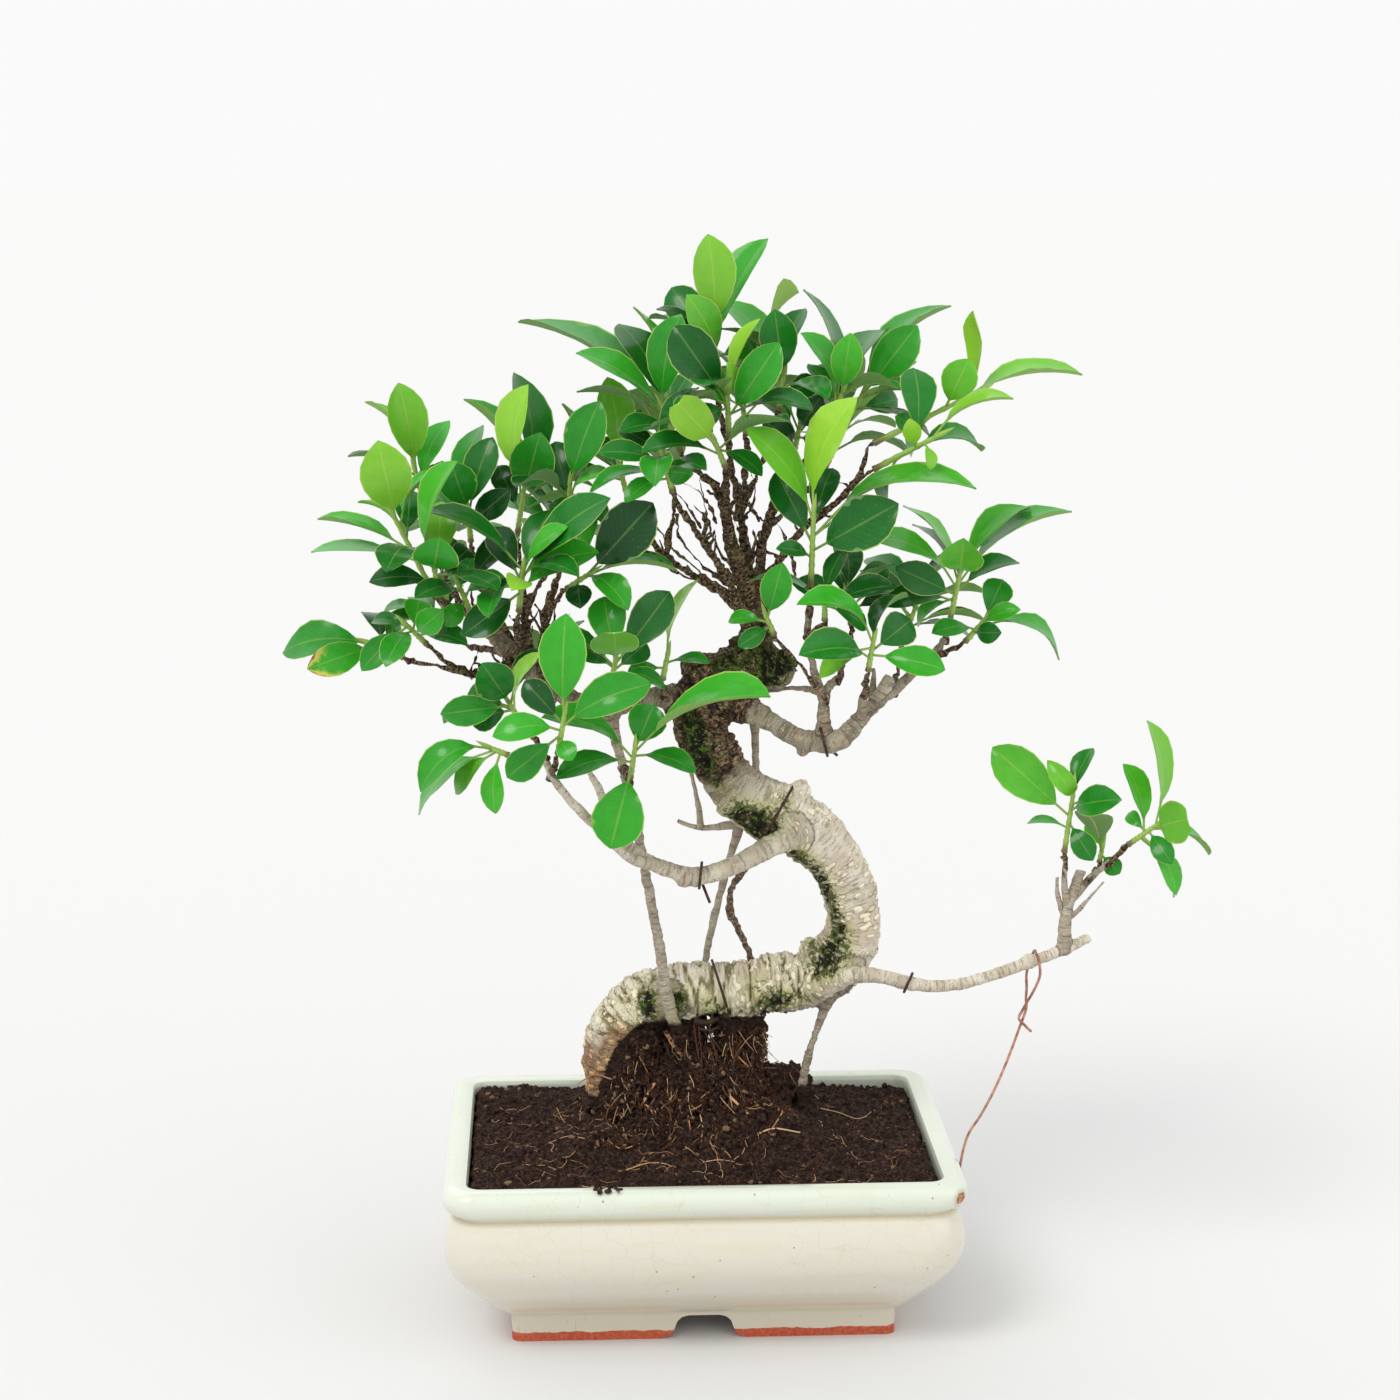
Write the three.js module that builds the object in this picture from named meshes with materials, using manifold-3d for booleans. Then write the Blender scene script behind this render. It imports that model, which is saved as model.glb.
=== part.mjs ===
// A Chinese banyan (small-leaved fig) bonsai in a glazed rectangular pot, all sizes in millimetres.
// The pot stands on z = 0 with its long side along X. The tree is one woody piece, from the roots in the
// soil to the twigs, and each green shoot with its leaves stands on the end of a twig.
import * as THREE from "three";
import { mergeVertices } from "three/addons/utils/BufferGeometryUtils.js";
import Module from "manifold-3d";

const wasm = await Module();
wasm.setup();

// Driving dimensions
const POT_WIDTH = 220;
const POT_DEPTH = 160;
const POT_HEIGHT = 76;
const FOOT_HEIGHT = 12.5;
const FOOT_INSET = 27;
const FOOT_THICKNESS = 11;
const RIM_THICKNESS = 10.5;
const FLOOR_THICKNESS = 6;
const ARCH_HEIGHT = 10.5;
const FRONT_OPENING = 37;
const SIDE_OPENING = 32;
const DRAIN_RADIUS = 8;
const DRAIN_OFFSET = 45;
const CLEARANCE = 0.35;
const SCREEN_SIZE = 26;
const SCREEN_THICKNESS = 1.2;
const SCREEN_HOLE = 4.5;
const SCREEN_PITCH = 3.5;
const SCREEN_FLOOR = FOOT_HEIGHT + FLOOR_THICKNESS + CLEARANCE;
const SOIL_HEIGHT = 73;
const SOIL_FALL = 0.015;
const SOIL_EDGE_GAP = 1.4;
const SOIL_SHARES = [1, 0.85, 0.68, 0.52, 0.38, 0.24, 0.1];
const MOUND_HEIGHT = 28;
const MOUND_HALF_WIDTH = 56;
const MOUND_HALF_DEPTH = 42;
const CLODS = [
  { size: [34, 21, 22], place: [-4, -2, 93] },
  { size: [14, 13, 11], place: [37, 6, 91] },
];
const LEAF_LENGTH = 34;
const BLADE_THICKNESS = 0.7;
const PETIOLE_THICKNESS = 1.3;
const PETIOLE_SHARE = 0.2;
const SHOOT_RADIUS = 1.25;
const BUD_LENGTH = 7;
const TWIG_END = 3.5;
const TWIG_ROOT = 3;
const WIRE_RADIUS = 0.8;
const TIE_RADIUS = 0.75;
const RING_STEP = 36;
const FIRST_SEED = 1001;
const EYE = new THREE.Vector3(-61, -1241, 514);
const UP = new THREE.Vector3(0, 0, 1);

// Places in the tables are across (x) and height (z) in the plane of the trunk, y = 0, as they are seen
// from EYE. The third number is the depth, y, to which the place slides along its line of sight.
function seen([x, z, depth]) {
  const share = (depth - EYE.y) / -EYE.y;
  return new THREE.Vector3(
    EYE.x + (x - EYE.x) * share,
    depth,
    EYE.z + (z - EYE.z) * share,
  );
}

// The same place's entry in a table.
function asSeen({ x, y, z }) {
  const share = -EYE.y / (y - EYE.y);
  return [EYE.x + (x - EYE.x) * share, EYE.z + (z - EYE.z) * share, y];
}

// Random numbers from 0 to 1, the same in every run.
function draws(seed) {
  let state = seed;
  return () => {
    state = (state * 1664525 + 1013904223) % 4294967296;
    return state / 4294967296;
  };
}

// Solids from meshes and back

function solidOfArrays(vertices, triangles) {
  return new wasm.Manifold(
    new wasm.Mesh({
      numProp: 3,
      vertProperties: new Float32Array(vertices.flatMap((v) => [v.x, v.y, v.z])),
      triVerts: new Uint32Array(triangles.flat()),
    }),
  );
}

function solidOfGeometry(geometry) {
  const bare = geometry.clone();
  bare.deleteAttribute("normal");
  bare.deleteAttribute("uv");
  const merged = mergeVertices(bare, 1e-4);
  return new wasm.Manifold(
    new wasm.Mesh({
      numProp: 3,
      vertProperties: merged.attributes.position.array,
      triVerts: new Uint32Array(merged.index.array),
    }),
  );
}

function geometryOf(solid) {
  const mesh = solid.getMesh();
  const places = new Float32Array(mesh.numVert * 3);
  for (let i = 0; i < mesh.numVert; i++) {
    places.set(mesh.vertProperties.subarray(i * mesh.numProp, i * mesh.numProp + 3), i * 3);
  }
  return new THREE.BufferGeometry()
    .setAttribute("position", new THREE.BufferAttribute(places, 3))
    .setIndex(new THREE.BufferAttribute(mesh.triVerts, 1));
}

function joined(solids) {
  return wasm.Manifold.union(solids);
}

// The main body of a solid, without its loose crumbs and with any sealed hollow filled.
function mainBody(solid) {
  return solid.decompose().reduce((most, body) => (body.volume() > most.volume() ? body : most));
}

// A solid of these triangles, turned inside out if they face inwards.
function facingOut(vertices, triangles) {
  const solid = solidOfArrays(vertices, triangles);
  return solid.volume() < 0
    ? solidOfArrays(vertices, triangles.map(([a, b, c]) => [a, c, b]))
    : solid;
}

// A closed skin over rings of equally many points, with both end rings filled by a fan.
function loft(rings) {
  const count = rings[0].length;
  const triangles = [];
  for (let ring = 0; ring + 1 < rings.length; ring++) {
    for (let i = 0; i < count; i++) {
      const here = ring * count + i;
      const next = ring * count + ((i + 1) % count);
      triangles.push([here, next, here + count], [next, next + count, here + count]);
    }
  }
  const last = (rings.length - 1) * count;
  for (let i = 1; i + 1 < count; i++) {
    triangles.push([0, i + 1, i], [last, last + i, last + i + 1]);
  }
  return facingOut(rings.flat(), triangles);
}

function ringAround(centre, side, across, radius, count) {
  return Array.from({ length: count }, (_, k) => {
    const turn = (2 * Math.PI * k) / count;
    return centre
      .clone()
      .addScaledVector(side, radius * Math.cos(turn))
      .addScaledVector(across, radius * Math.sin(turn));
  });
}

// A round limb through [across, height, depth, radius] places. Its last ring faces along endDirection.
function limb(route, { sides, grow = 0, endDirection = null }) {
  const path = new THREE.CatmullRomCurve3(route.map(seen));
  const last = route.length - 1;
  const side = new THREE.Vector3(0.31, -0.9, 0.3);
  return loft(
    route.map(([, , , radius], i) => {
      const along = i === last && endDirection ? endDirection : path.getTangent(i / last);
      side.addScaledVector(along, -side.dot(along)).normalize();
      return ringAround(path.getPoint(i / last), side, along.clone().cross(side), radius + grow, sides);
    }),
  );
}

// The woody tree: each route is a list of [across, height, depth, radius]
const TRUNK = [
  [-37, 60, 6, 7],
  [-39, 84, 5, 10.5],
  [-40, 97, 3, 11.5],
  [-39, 110, 2, 12.5],
  [-33, 124, 1, 13.5],
  [-22, 134, 0, 13.5],
  [-8, 139, 0, 12.2],
  [8, 139, 0, 11.8],
  [24, 140, 0, 11.6],
  [40, 142, 1, 12.4],
  [53, 145, 2, 13],
  [62, 153, 3, 12.8],
  [67, 164, 3, 11.8],
  [67, 177, 2, 11.4],
  [63, 190, 1, 11.6],
  [56, 201, 0, 12],
  [46, 211, 0, 13],
  [34, 217, 0, 14.2],
  [23, 224, 0, 12.6],
  [14, 232, 0, 11.4],
  [7, 242, 0, 11.2],
  [2, 253, 0, 11.6],
  [3, 265, 0, 12.8],
  [11, 276, 1, 13.6],
  [22, 283, 3, 13.2],
  [31, 287, 4, 9.5],
];
const LIMBS = {
  upper_trunk: [
    [25, 284, 6, 9], [25, 296, 6, 7], [24, 306, 5, 5.8], [20, 318, 2, 4.4], [15, 332, -2, 3.6],
    [12, 346, -5, 3], [9, 358, -6, 2.5],
  ],
  upper_middle: [
    [24, 304, 8, 5], [22, 318, 10, 3.4], [20, 334, 11, 2.7], [18, 348, 13, 2.3], [17, 357, 14, 2.1],
  ],
  upper_right: [
    [25, 303, 5, 5], [26, 319, 3, 3.2], [27, 334, 0, 2.6], [30, 346, -5, 2.2], [34, 358, -8, 2],
  ],
  upper_left: [
    [21, 300, 3, 3.4], [13, 319, -10, 2.4], [5, 332, -16, 2], [-3, 344, -21, 1.7],
  ],
  upper_left_back: [
    [23, 303, 8, 3.6], [13, 312, 15, 2.7], [5, 318, 20, 2.1], [-7, 325, 26, 1.9], [-18, 334, 30, 1.7],
  ],
  upper_far_right: [
    [25, 314, 5, 3.4], [36, 330, -10, 2.3], [46, 343, -13, 2], [58, 352, -13, 1.9],
    [66, 361, -13, 1.8],
  ],
  high_left: [
    [-2, 267, 0, 10], [-14, 270, -5, 5.2], [-28, 268, -10, 4.4], [-40, 264, -11, 4.4],
    [-54, 269, -6, 4.4], [-68, 279, 2, 4.6], [-80, 290, 8, 4.6], [-89, 299, 13, 3.4],
    [-98, 307, 14, 2.4],
  ],
  high_left_middle: [
    [-72, 283, 5, 4], [-73, 296, 13, 3], [-74, 308, 21, 2.4],
  ],
  high_left_inner: [
    [-64, 277, 0, 4], [-66, 292, -2, 2.7], [-65, 307, 0, 2.1],
  ],
  high_left_back: [
    [-80, 290, 10, 4], [-84, 302, 22, 2.8], [-88, 314, 32, 2.2],
  ],
  high_left_outer: [
    [-76, 286, 6, 3.4], [-87, 281, -2, 2.6], [-98, 280, -6, 2.3],
  ],
  low_left: [
    [46, 210, -3, 8], [36, 206, -16, 5.6], [24, 199, -24, 4.4], [12, 193.5, -29, 3.9],
    [0, 190.5, -32, 3.9], [-12, 193, -34, 3.5], [-22, 197.5, -35, 3.1], [-32, 206, -34, 2.7],
    [-38, 217, -29, 2.3], [-43, 230, -26, 1.9], [-48, 239, -24, 1.3],
  ],
  low_left_outer: [
    [-17, 195, -35, 2.9], [-30, 199, -43, 2.1], [-40, 209, -50, 2], [-50, 219, -53, 2],
    [-57, 227, -54, 1.9], [-63, 236, -54, 1.8], [-67, 247, -53, 1.5],
  ],
  right: [
    [14, 267, 0, 9], [24, 262, -5, 5.6], [33, 257, -8, 4.6], [42, 251.5, -13, 4.3],
    [52, 249, -14, 4.9], [61, 250, -16, 4.6], [68, 257, -14, 4.2], [75, 265, -11, 3.3],
    [84, 271, -8, 2.6], [92, 279, -5, 2.4], [101, 287, 0, 2.2], [106, 294, 3, 1.9],
  ],
  right_riser: [
    [54, 250, -14, 4], [54, 262, -16, 2.9], [55, 272, -14, 2.7], [60, 277, -10, 2],
  ],
  right_riser_left: [
    [54, 266, -16, 2.4], [50, 279, -19, 2], [47, 293, -22, 1.8], [47, 306, -26, 1.6],
  ],
  right_cross: [
    [55, 269, -16, 1.9], [46, 272.5, -8, 1.4], [30, 272, 5, 1.3],
  ],
  right_stub: [
    [74, 263, -11, 3.4], [79, 271, -10, 2.8], [82.5, 277.5, -10, 2.8],
  ],
  right_spur: [
    [70, 259, -14, 2.8], [71, 269, -21, 2],
  ],
  right_twin: [
    [73, 262, -13, 2.4], [75, 270, -5, 1.8], [75, 281, 2, 1.3],
  ],
  far: [
    [46, 140, -2, 9], [57, 142, -10, 5.8], [68, 145, -14, 3.9], [80, 144, -15, 3.2],
    [91, 141, -16, 3.1], [102, 139.3, -16, 2.8], [114, 140, -16, 2.7], [126, 143, -15, 2.6],
    [138, 147, -15, 2.7], [148, 150.5, -14, 2.6], [160, 155, -13, 2.6], [171.5, 160.5, -12, 2.2],
  ],
  far_riser: [
    [160, 153, -13, 3.3], [160.5, 165, -13, 3], [161.5, 175, -12, 2.9], [164.5, 183, -11, 2.5],
    [167, 191, -10, 2.5],
  ],
  far_riser_left: [
    [161, 173, -12, 2], [160, 183, -14, 1.6], [159.5, 192, -15, 1.4],
  ],
  far_riser_right: [
    [163, 178, -11, 2.2], [171, 187, -10, 1.8], [180, 195, -10, 1.6],
  ],
  far_dead_twig: [
    [159.5, 171, -12, 1.4], [157, 179, -13, 1.1], [156.5, 188, -14, 0.9],
  ],
  far_thin_twig: [
    [162, 169, -12, 1.1], [169, 176, -16, 0.9], [177, 185.5, -19, 0.8],
  ],
  aerial_front: [
    [-37, 264, -8, 3.4], [-36, 254, -12, 2.6], [-32.5, 240, -14, 2.4], [-28, 221, -15, 2.4],
    [-24.5, 202, -15, 2.3], [-21, 182, -15, 2.4], [-17, 160, -15, 2.5], [-15, 145, -14.5, 2.8],
    [-12, 130, -13, 3.2], [-7, 117, -10, 3],
  ],
  aerial_back: [
    [19, 216, 6, 2.4], [13, 196, 12, 1.8], [7.5, 174, 14, 1.7], [3, 152, 16, 1.8], [0, 128, 18, 2],
    [-2, 92, 19, 2],
  ],
  aerial_dark: [
    [35, 212, 5, 3.6], [22, 195, 12, 2], [14.5, 185, 14, 1.9], [14, 174, 15, 2], [19, 163, 16, 2],
    [24, 150, 17, 2], [27, 130, 18, 2.1], [28, 92, 18, 2.1],
  ],
  aerial_right: [
    [58, 138, -2, 4], [54, 126, -5, 2.1], [50, 114, -7, 2], [46.5, 100, -8, 2.3], [45, 84, -8, 2],
  ],
  aerial_short: [
    [24, 262, 4, 2.6], [24.5, 250, 6, 1.8], [25, 236, 6, 2], [27, 226, 4, 2.4],
  ],
  dead_spur: [
    [18, 213, 8, 2.2], [6, 212, 13, 1.5], [-1, 212, 16, 1.5], [-9, 215, 18, 1],
  ],
  dead_spur_riser: [
    [1, 212, 15, 1.7], [0, 222, 12, 1.3], [-3, 236, 8, 1.2],
  ],
  root_left: [
    [-27, 124, -3, 10], [-29, 109, -5, 11.5], [-31, 94, -7, 12], [-28, 66, -7, 8],
  ],
  root_middle: [
    [-8, 134, 2, 9], [-7, 121, 1, 9.4], [-8, 108, 0, 9.6], [-8, 96, -2, 9], [-6, 66, -4, 5],
  ],
  root_centre: [
    [13, 132, 1, 8], [14, 121, 1, 7.6], [14, 110, 0, 7.4], [13, 98, -3, 8], [16, 66, -4, 4],
  ],
  root_right: [
    [21, 132, 1, 8], [21.5, 116, 1, 5.4], [21, 100, 0, 6.5], [28, 66, 2, 4],
  ],
  root_back: [
    [-28, 118, 8, 8], [-24, 98, 15, 7], [-20, 70, 20, 4],
  ],
};
const BURLS = [
  [44, 227, -5, 5.5],
  [12, 221, -8, 4.5],
  [54, 153, 4, 8],
  [0, 281, -2, 8],
  [33, 281, 0, 9],
  [24, 290, 8, 8],
  [-6, 190, -32, 4.6],
  [145, 150, -14, 3.6],
];

// Green shoots. Each stands on a twig that leaves the woody tree along `wood` and ends at the shoot's foot.
// `stem` is the foot and the tip. A leaf is [tip across, tip height, tip depth past its foot, width as it
// is seen, freshness from 0 dark to 1 lime, arch as a share of its length where it isn't the usual one].
// `more` leaves stand round the stem by rule.
const SHOOTS = [
  {
    name: "left_outer_high",
    wood: [[-98, 307, 14, 2.3], [-107, 311, 5, 1.9]],
    stem: [[-113, 317, -5], [-129, 350, -16]],
    leaves: [
      [-163, 333, 0, 3, 0.45, 0.07], [-160, 347, 8, 3, 0.5, 0.08], [-121, 359, 15, 14, 0.1],
      [-143, 354, 8, 2, 0.7], [-134, 380, -18, 22, 0.78],
    ],
    more: 2,
  },
  {
    name: "left_outer_back",
    wood: [[-98, 307, 16, 2], [-107, 322, 29, 1.6], [-113, 340, 38, 1.4]],
    stem: [[-115, 352, 42], [-119, 368, 42]],
    leaves: [
      [-104, 388, 12, 11, 0.45], [-139, 396, 15, 6, 0.6], [-125, 404, -8, 19, 0.66],
    ],
    more: 2,
  },
  {
    name: "left_outer_mid",
    wood: [[-98, 307, 13, 2], [-105, 310, -8, 1.6]],
    stem: [[-109, 314, -21], [-112, 327, -30]],
    leaves: [
      [-139, 320, -8, 10, 0.12], [-97, 334, 10, 12, 0.1], [-108, 354, 11, 15, 0.7],
      [-101, 371, -2, 7, 0.6], [-109, 339, -20, 20, 0.42],
    ],
    more: 1,
  },
  {
    name: "left_mid_high",
    wood: [[-88, 314, 32, 2.2], [-93, 326, 22, 1.8]],
    stem: [[-96, 338, 13], [-97, 351, 5]],
    leaves: [
      [-110, 357, 18, 12, 0.2], [-79, 359, -12, 13, 0.05], [-90, 386, 20, 12, 0.35],
      [-86, 381, 2, 15, 0.1], [-104, 371, -10, 17, 0.3],
    ],
    more: 3,
  },
  {
    name: "left_top",
    wood: [[-74, 308, 21, 2.4], [-75, 325, 22, 1.9]],
    stem: [[-76, 342, 16], [-73, 361, 5]],
    leaves: [
      [-84, 369, 10, 12, 0.05], [-98, 397, 10, 6, 0.5], [-49, 400, 12, 7, 0.5],
      [-77, 408, 18, 16, 0.3], [-66, 383, -15, 20, 0.36], [-71, 403, -4, 14, 0.92],
    ],
    more: 3,
  },
  {
    name: "left_inner_high",
    wood: [[-65, 307, 0, 2.1], [-58, 325, 2, 1.7]],
    stem: [[-55, 343, -2], [-54, 361, -8]],
    leaves: [
      [-63, 352, -18, 12, 0.12], [-60, 379, 10, 14, 0.05], [-57, 395, 15, 6, 0.2],
      [-37, 366, -10, 5, 0.5], [-41, 396, -8, 18, 0.26],
    ],
    more: 3,
  },
  {
    name: "left_big_dark",
    wood: [[-65, 305, 0, 2], [-60, 312, -10, 1.6]],
    stem: [[-55, 317, -18], [-46, 323, -24]],
    leaves: [
      [-50, 308, -12, 12, 0.1], [-9, 324, 2, 3, 0.38], [-19, 353, -8, 24, 0],
    ],
    more: 2,
  },
  {
    name: "left_front",
    wood: [[-76, 286, 6, 3.2], [-77, 297, -10, 2.3]],
    stem: [[-76, 308, -22], [-74, 326, -35]],
    leaves: [
      [-42, 332, -20, 14, 0.46, 0.2], [-100, 297, -12, 16, 0.1], [-92, 320, 8, 8, 0.05],
      [-79, 316, -25, 9, 0.85], [-86, 343, 15, 14, 0], [-37, 355, 0, 15, 0.24],
      [-62, 350, 12, 13, 0.1], [-55, 343, -10, 7, 0.52], [-115, 350, 0, 8, 0.15],
    ],
    more: 2,
  },
  {
    name: "left_shoulder",
    wood: [[-89, 299, 13, 2.4], [-94, 303, -6, 1.7]],
    stem: [[-97, 308, -18], [-101, 318, -22]],
    leaves: [
      [-108, 301, -8, 10, 0.42], [-82, 322, -10, 7, 0.3], [-120, 313, 8, 8, 0.2],
      [-95, 330, -8, 7, 0.22],
    ],
    more: 2,
  },
  {
    name: "left_low_outer",
    wood: [[-98, 280, -6, 2.2], [-108, 286, -10, 1.7]],
    stem: [[-116, 294, -13], [-124, 302, -18]],
    leaves: [
      [-98, 293, -14, 9, 0.2], [-108, 308, -12, 12, 0.42], [-118, 312, 8, 13, 0.5],
      [-138, 303, 10, 7, 0.2], [-143, 282, -10, 12, 0.32],
    ],
    more: 1,
  },
  {
    name: "left_far",
    wood: [[-98, 280, -6, 2], [-112, 284, 3, 1.6]],
    stem: [[-126, 288, 8], [-139, 294, 5]],
    leaves: [
      [-129, 302, 12, 8, 0.25], [-176, 290, 10, 16, 0.3, 0.22], [-166, 283, -15, 15, 0.5, 0.2],
    ],
    more: 1,
  },
  {
    name: "low_front",
    wood: [[-63, 236, -54, 1.8], [-61, 241, -59, 1.6]],
    stem: [[-60, 246, -62], [-57, 263, -69]],
    leaves: [
      [-54, 242, -10, 9, 0.5], [-82, 235, 2, 14, 0.3], [-88, 253, -8, 12, 0.42, 0.2],
      [-20, 275, -8, 18, 0.36, 0.22], [-74, 277, 5, 13, 0.1], [-67, 292, 10, 9, 0.5],
      [-56, 306, -8, 20, 0.46],
    ],
    more: 0,
  },
  {
    name: "low_outer",
    wood: [[-66, 243, -54, 1.6], [-74, 242, -51, 1.3]],
    stem: [[-82, 245, -50], [-89, 248, -50]],
    leaves: [
      [-87, 219, -8, 10, 0.56], [-104, 228, 8, 9, 0.6], [-120, 219, 10, 8, 0.48],
      [-119, 229, -10, 13, 0.4, 0.3],
    ],
    more: 0,
  },
  {
    name: "low_glossy",
    wood: [[-67, 247, -53, 1.5], [-72, 255, -45, 1.3]],
    stem: [[-77, 261, -37], [-81, 268, -35]],
    leaves: [
      [-67, 289, -8, 5, 0.88], [-98, 261, 5, 14, 0.15], [-98, 272, 10, 13, 0.15],
      [-110, 263, -8, 14, 0.36], [-92, 285, -10, 19, 0.15],
    ],
    more: 2,
  },
  {
    name: "low_right",
    wood: [[-32, 238, -14, 2.2], [-31, 236, -30, 1.6]],
    stem: [[-29, 235, -43], [-27, 248, -53]],
    leaves: [
      [-38, 203, -10, 23, 0.46], [-61, 234, -5, 10, 0.3], [-67, 261, -30, 10, 0.42],
      [-1, 236, -8, 9, 0.36], [31, 269, -18, 5, 0.48, 0.1], [-19, 266, 2, 18, 0.36],
    ],
    more: 0,
  },
  {
    name: "low_high_right",
    wood: [[-40, 264, -11, 3.4], [-40, 270, -22, 1.9]],
    stem: [[-37, 276, -32], [-35, 287, -42]],
    leaves: [
      [-14, 273, 10, 7, 0.3], [-22, 293, 10, 12, 0.1], [-49, 292, 8, 10, 0.2],
      [-12, 315, 8, 18, 0.14], [-40, 313, 10, 18, 0.36], [-36, 301, -20, 20, 0.62],
    ],
    more: 1,
  },
  {
    name: "trunk_left_sprig",
    wood: [[-14, 270, -10, 2.6], [-15, 274, -16, 1.4]],
    stem: [[-15, 278, -21], [-13, 288, -24]],
    leaves: [
      [-30, 281, 0, 7, 0.36], [5, 284, -5, 5, 0.3], [0, 320, 8, 5, 0.78],
    ],
    more: 0,
  },
  {
    name: "crown_left_low",
    wood: [[-3, 344, -21, 1.8], [-8, 351, -24, 1.5]],
    stem: [[-11, 358, -26], [-15, 373, -29]],
    leaves: [
      [-31, 353, -5, 8, 0.35], [-46, 357, 5, 6, 0.3], [-2, 365, -12, 12, 0.3],
      [-42, 374, -5, 9, 0.2], [-34, 384, 10, 8, 0.1], [-18, 360, -32, 14, 0.28],
    ],
    more: 3,
  },
  {
    name: "crown_left_back",
    wood: [[-18, 334, 30, 1.7], [-25, 346, 32, 1.4]],
    stem: [[-30, 356, 32], [-34, 372, 29]],
    leaves: [
      [-58, 362, 10, 9, 0.15], [-24, 392, 12, 11, 0.3], [-38, 406, -5, 17, 0.72],
    ],
    more: 3,
  },
  {
    name: "crown_left",
    wood: [[9, 358, -6, 2.2], [0, 366, -8, 1.7]],
    stem: [[-8, 376, -10], [-15, 393, -14]],
    leaves: [
      [-33, 383, -12, 8, 0.2], [-75, 429, 15, 5, 0.3], [-51, 416, -8, 9, 0.5],
      [-33, 428, 14, 17, 0.16], [-27, 435, 22, 3, 0.62], [-7, 432, -10, 17, 0.42],
    ],
    more: 2,
  },
  {
    name: "crown_heart",
    wood: [[12, 348, -6, 2], [12, 360, -19, 1.5]],
    stem: [[11, 369, -29], [7, 379, -37]],
    leaves: [
      [-24, 374, -8, 8, 0.25], [27, 364, -10, 8, 0.2], [-13, 400, -18, 16, 0.88],
    ],
    more: 3,
  },
  {
    name: "crown_front",
    wood: [[10, 356, -6, 2.2], [13, 370, -14, 1.6]],
    stem: [[13, 382, -21], [12, 401, -30]],
    leaves: [
      [34, 420, -10, 18, 0.44], [-2, 415, -10, 12, 0.42], [-5, 387, 8, 12, 0.15],
      [-10, 427, 15, 22, 0.05], [12, 412, -10, 5, 0.76], [26, 430, 5, 6, 0.92, 0.07],
    ],
    more: 3,
  },
  {
    name: "crown_top",
    wood: [[16, 357, 14, 2.1], [12, 378, 13, 1.7], [9, 394, 8, 1.5]],
    stem: [[8, 404, 5], [6, 424, -2]],
    leaves: [
      [-5, 440, -12, 14, 0.66], [24, 420, 12, 14, 0.35], [-11, 443, 12, 17, 0.12],
      [29, 463, 10, 14, 0.4, 0.06], [4, 465, -6, 19, 0.76, 0.08],
    ],
    more: 3,
  },
  {
    name: "crown_round",
    wood: [[17, 348, 13, 2.2], [27, 370, 11, 1.6], [32, 383, 6, 1.4]],
    stem: [[34, 393, 2], [36, 406, -5]],
    leaves: [
      [50, 404, 5, 11, 0.05], [42, 441, 25, 2, 0.7], [8, 437, -5, 13, 0.4], [45, 434, 12, 12, 0.14],
      [32, 434, -10, 17, 0.3],
    ],
    more: 3,
  },
  {
    name: "crown_right",
    wood: [[34, 358, -8, 2], [45, 371, -8, 1.7]],
    stem: [[54, 384, -8], [61, 400, -13]],
    leaves: [
      [46, 411, 10, 8, 0.42], [43, 424, -6, 8, 0.46], [44, 442, 15, 5, 0.25],
      [79, 425, 20, 13, 0.2], [64, 424, -12, 14, 0.5],
    ],
    more: 3,
  },
  {
    name: "crown_right_big",
    wood: [[40, 365, -8, 1.8], [54, 378, 8, 1.5]],
    stem: [[63, 388, 10], [69, 398, 6]],
    leaves: [
      [84, 396, 12, 11, 0.15], [106, 435, 15, 9, 0.3], [92, 427, -10, 19, 0.46],
    ],
    more: 3,
  },
  {
    name: "crown_dark_centre",
    wood: [[30, 346, -5, 2], [36, 360, 8, 1.5]],
    stem: [[40, 371, 13], [43, 386, 13]],
    leaves: [
      [27, 388, -10, 13, 0.05], [60, 378, -8, 12, 0.05], [52, 398, -12, 13, 0.1],
    ],
    more: 6,
  },
  {
    name: "long_shoot_high",
    wood: [[66, 361, -13, 2], [70, 369, -13, 1.6]],
    stem: [[75, 378, -13], [118, 399, -22]],
    leaves: [
      [83, 389, -10, 9, 0.3], [98, 389, 12, 4, 0.2], [90, 372, 15, 7, 0.7],
      [114, 413, -8, 16, 0.66], [162, 406, 5, 5, 0.62, 0.11], [115, 433, -5, 8, 0.96, -0.13],
    ],
    more: 0,
  },
  {
    name: "long_shoot_low",
    wood: [[64, 358, -13, 1.8], [69, 363, -21, 1.4]],
    stem: [[75, 367, -27], [102, 381, -37]],
    leaves: [
      [80, 351, -8, 8, 0.3], [120, 374, 18, 9, 0.3, 0.2], [89, 388, -10, 8, 0.86],
      [98, 366, -10, 5, 0.66], [133, 396, -5, 4, 0.7],
    ],
    more: 1,
  },
  {
    name: "right_main",
    wood: [[47, 306, -26, 1.8], [47, 312, -29, 1.6]],
    stem: [[48, 318, -30], [49, 350, -43]],
    leaves: [
      [33, 333, -8, 7, 0.15], [85, 352, -8, 24, 0.1], [33, 366, 8, 16, 0.1],
      [118, 358, -5, 6, 0.52, 0.2], [57, 367, 15, 13, 0.1], [20, 384, -10, 13, 0.62],
      [67, 397, -8, 15, 0.96],
    ],
    more: 1,
  },
  {
    name: "right_round",
    wood: [[54, 268, -18, 1.7], [45, 281, -21, 1.4], [37, 290, -24, 1.3]],
    stem: [[32, 297, -27], [29, 304, -30]],
    leaves: [
      [17, 291, -8, 9, 0.25], [13, 302, 8, 7, 0.4], [36, 327, -10, 14, 0.7],
    ],
    more: 0,
  },
  {
    name: "right_mid_left",
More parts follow.
